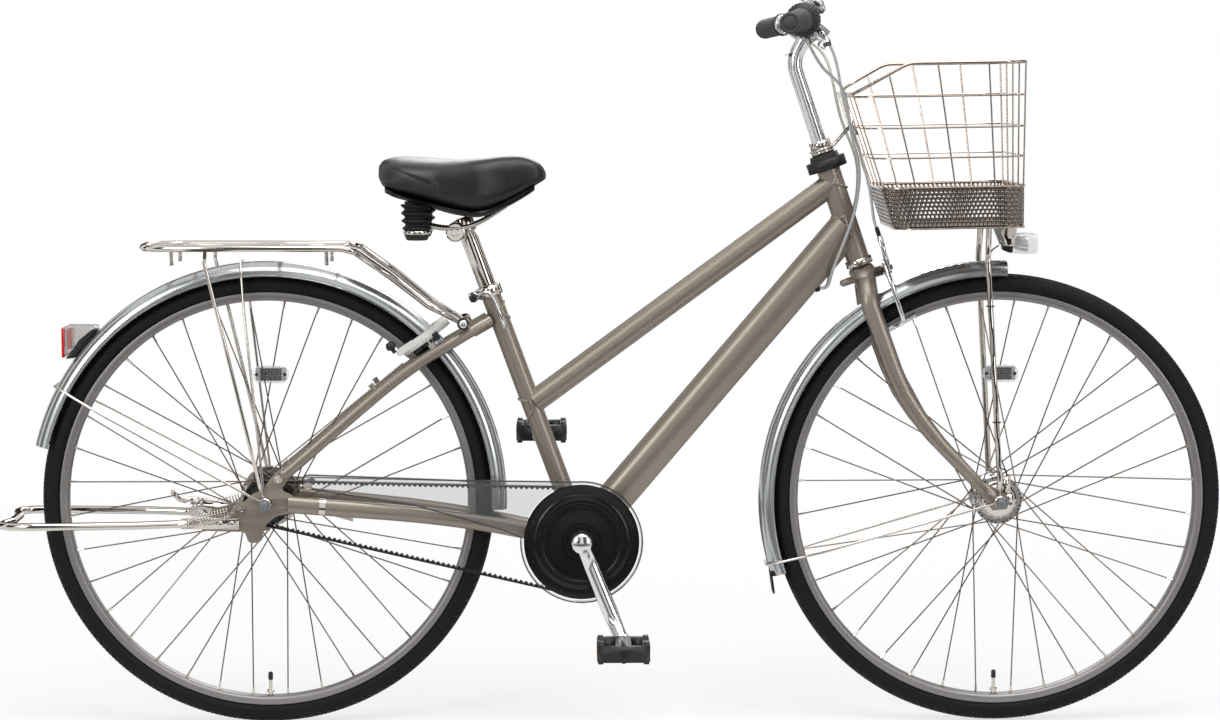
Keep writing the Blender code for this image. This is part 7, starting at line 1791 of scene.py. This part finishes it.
def end_caps():
    """The black cap on the seat clamp's bolt, and the carrier's bright caps on black washers."""
    cap = Form().turned(
        [(0, 0.0042), (0.0048, 0.004), (0.006, 0.003), (0.0063, 0.0008), (0.006, -0.0006), (0, -0.0006)],
        on_seat(-0.008, 0.025, -0.0205), -Y_AXIS, 32,
    )
    cap.make("seat_bolt_cap", PLASTIC, "frame")
    dome = [(0, 0.0052), (0.003, 0.005), (0.0056, 0.0038), (0.0066, 0.002), (0.0068, 0.001), (0, 0.001)]
    washer = [(0, 0.001), (0.0086, 0.001), (0.0092, 0), (0, 0)]
    for side, name in SIDE_NAMES.items():
        for label, profile, finish in (("washer", washer, PLASTIC), ("cap", dome, ALUMINIUM)):
            form = Form().turned(profile, from_rear(0.297, side * 0.0478, 0.269), side * Y_AXIS, 36)
            form.make(f"carrier_{label}_{name}", finish, "frame")


def ring_lock_parts():
    """The lower end of the lock's bar, the key's round head and the dark lock work under the bar."""
    along = upright(LOCK_SLOPE)
    up = Vector((-along.z, 0, along.x))
    start = from_rear(0.198, -0.044, 0.224)
    sections = []
    for share, half in ((0.0, 0.003), (0.1, 0.005), (0.35, 0.0056), (1.0, 0.0056)):
        spot = start + share * 0.03 * along
        corners = ((1, 1), (1, -1), (-1, -1), (-1, 1))
        sections.append([spot + tall * half * up + wide * 0.0062 * Y_AXIS for tall, wide in corners])
    Form().loft(sections).make("ring_lock_end", GREY, "frame", sharp=30, bevel=0.0012)
    key = Form().turned(
        [(0, 0.015), (0.0045, 0.0142), (0.007, 0.011), (0.0078, 0.0075), (0.0068, 0.004), (0.0034, 0.0018),
         (0.003, -0.004), (0, -0.004)],
        start - 0.002 * along + 0.007 * up, up, 32,
    )
    key.make("ring_lock_key", PLASTIC, "frame")
    work = Form()
    turn = Matrix.Rotation(-LOCK_SLOPE, 3, "Y")
    for share, size in (
        (0.03, (0.012, 0.006, 0.013)), (0.046, (0.016, 0.008, 0.01)), (0.062, (0.012, 0.006, 0.012)),
    ):
        work.box(start + share * along - 0.0095 * up + 0.002 * Y_AXIS, size, turn)
    work.make("ring_lock_work", DARK, "frame", bevel=0.001)


def dropout_bolts():
    """The bolts of the brake arm and of the stays on the two dropouts."""
    bolts = Form()
    for side in (-1, 1):
        for ahead, up, size in ((0.02, 0.0375, 0.0044), (-0.034, -0.0085, 0.0036)):
            bolt_head(bolts, from_rear(ahead, side * 0.0652, up), side * Y_AXIS, size, 0.0028, size + 0.002)
    bolts.make("dropout_bolts", CHROME_PAINTED_REFLECTION, "frame")


ring_lock_parts()
dropout_bolts()
tail_light()
headlight()
dynamo_wire()
pedal_reflectors()
end_caps()


# Floor and light

def maths(tree, operation, one, two):
    return add_node(tree, "Math", {0: one, 1: two}, operation).outputs[0]


def seen(tree):
    """1 for what the camera sees, straight, through glass or in a reflection, and 0 for other light."""
    path = add_node(tree, "LightPath", {})
    straight = maths(tree, "MAXIMUM", path.outputs["Is Camera Ray"], path.outputs["Is Transmission Ray"])
    return maths(tree, "MAXIMUM", straight, path.outputs["Is Glossy Ray"])


def board(name, half):
    """A flat square for the stage. Returns it with the nodes of its own finish."""
    bm = bmesh.new()
    bmesh.ops.create_grid(bm, x_segments=1, y_segments=1, size=half)
    mesh = bpy.data.meshes.new(name)
    bm.to_mesh(mesh)
    bm.free()
    finish = bpy.data.materials.new(name)
    finish.use_nodes = True
    mesh.materials.append(finish)
    sheet = bpy.data.objects.new(name, mesh)
    bpy.context.scene.collection.objects.link(sheet)
    return sheet, finish.node_tree


def stage_floor():
    """White paper that shows the bike's shadow and fades to plain white away from it."""
    floor, tree = board("floor", 14)
    floor.location.z = -0.0005
    tree.nodes.clear()
    output = add_node(tree, "OutputMaterial", {})
    paper = add_node(tree, "BsdfDiffuse", {"Color": (0.86, 0.86, 0.86, 1)})
    glow = add_node(tree, "Emission", {"Color": (1, 1, 1, 1), "Strength": 1.0})
    place = add_node(tree, "TexCoord", {})
    away = add_node(tree, "VectorMath", {0: place.outputs["Object"]}, "LENGTH")
    fade = add_node(tree, "MapRange", {
        "From Min": 0.9, "From Max": 3.2, "To Min": 0.66, "To Max": 1.0, "Value": away.outputs["Value"],
    })
    share = maths(tree, "MULTIPLY", seen(tree), fade.outputs["Result"])
    mix = add_node(tree, "MixShader", {"Fac": share, 1: paper.outputs[0], 2: glow.outputs[0]})
    set_inputs(tree, output, {"Surface": mix.outputs[0]})


def studio_world():
    """Soft even light, seen as white by the camera and in reflections."""
    world = bpy.data.worlds.new("studio")
    bpy.context.scene.world = world
    world.use_nodes = True
    tree = world.node_tree
    strength = add_node(tree, "MapRange", {"To Min": 0.42, "To Max": 1.0, "Value": seen(tree)})
    inputs = {"Color": (1, 1, 1, 1), "Strength": strength.outputs["Result"]}
    set_inputs(tree, tree.nodes["Background"], inputs)


def soft_light(name, place, target, size, power):
    data = bpy.data.lights.new(name, "AREA")
    data.shape = "RECTANGLE"
    data.size, data.size_y = size
    data.energy = power
    lamp = bpy.data.objects.new(name, data)
    lamp.location = place
    lamp.rotation_euler = (Vector(target) - Vector(place)).to_track_quat("-Z", "Y").to_euler()
    bpy.context.scene.collection.objects.link(lamp)


def dark_card(name, place, size, tone, flat=False):
    """A dark board that only shows in reflections, so that bright metal has edges."""
    card, tree = board(name, 0.5)
    card.scale = (*size, 1)
    card.location = place
    if not flat:
        card.rotation_euler = (Vector((0, 0, 0.5)) - Vector(place)).to_track_quat("Z", "Y").to_euler()
    card.visible_camera = False
    card.visible_diffuse = False
    card.visible_shadow = False
    card.visible_transmission = False
    inputs = {"Base Color": (*tone, 1), "Roughness": 1.0, "Specular IOR Level": 0.0}
    set_inputs(tree, tree.nodes["Principled BSDF"], inputs)


stage_floor()
studio_world()
soft_light("overhead", (0.3, -1.2, 3.6), (0, 0, 0.5), (3.2, 2.2), 95)
soft_light("front_left", (-3.2, -3.6, 2.4), (0, 0, 0.5), (1.6, 2.4), 75)
soft_light("front_right", (3.4, -3.2, 1.8), (0.2, 0, 0.5), (1.0, 2.4), 35)
soft_light("behind", (0.6, 3.8, 2.6), (0, 0, 0.5), (3.0, 1.6), 60)
for number in range(8):
    turn = math.radians(22.5 + 45 * number)
    spot = Vector((4.2 * math.cos(turn), 4.2 * math.sin(turn), 1.6))
    dark_card(f"dark_card_{number}", spot, (1.75, 3.6), (0.045, 0.036, 0.03))
dark_card("dark_card_above", (-0.6, -2.2, 4.4), (6.0, 0.9), (0.05, 0.045, 0.04))
dark_card("dark_card_low_front", (0, -1.75, 0.015), (3.6, 2.2), (0.09, 0.08, 0.07), flat=True)
dark_card("dark_card_low_back", (0, 1.75, 0.015), (3.6, 2.2), (0.09, 0.08, 0.07), flat=True)


# Camera, fitted to the photograph

PHOTO_WIDTH = 1220
FOCAL_PIXELS = 3209
SENSOR_WIDTH = 36.0
CAMERA_TURN = math.radians(0.89)
CAMERA_FALL = math.radians(5.0)
CAMERA_DISTANCE = 4.86
CAMERA_AIM = Vector((-0.006, 0, 0.552))


def studio_camera():
    data = bpy.data.cameras.new("camera")
    data.sensor_width = SENSOR_WIDTH
    data.lens = SENSOR_WIDTH * FOCAL_PIXELS / PHOTO_WIDTH
    camera = bpy.data.objects.new("camera", data)
    forward = Vector((
        math.sin(CAMERA_TURN) * math.cos(CAMERA_FALL), math.cos(CAMERA_TURN) * math.cos(CAMERA_FALL),
        -math.sin(CAMERA_FALL),
    ))
    camera.location = CAMERA_AIM - CAMERA_DISTANCE * forward
    camera.rotation_euler = forward.to_track_quat("-Z", "Y").to_euler()
    bpy.context.scene.collection.objects.link(camera)
    bpy.context.scene.camera = camera


studio_camera()
bpy.context.scene.view_settings.view_transform = "Standard"
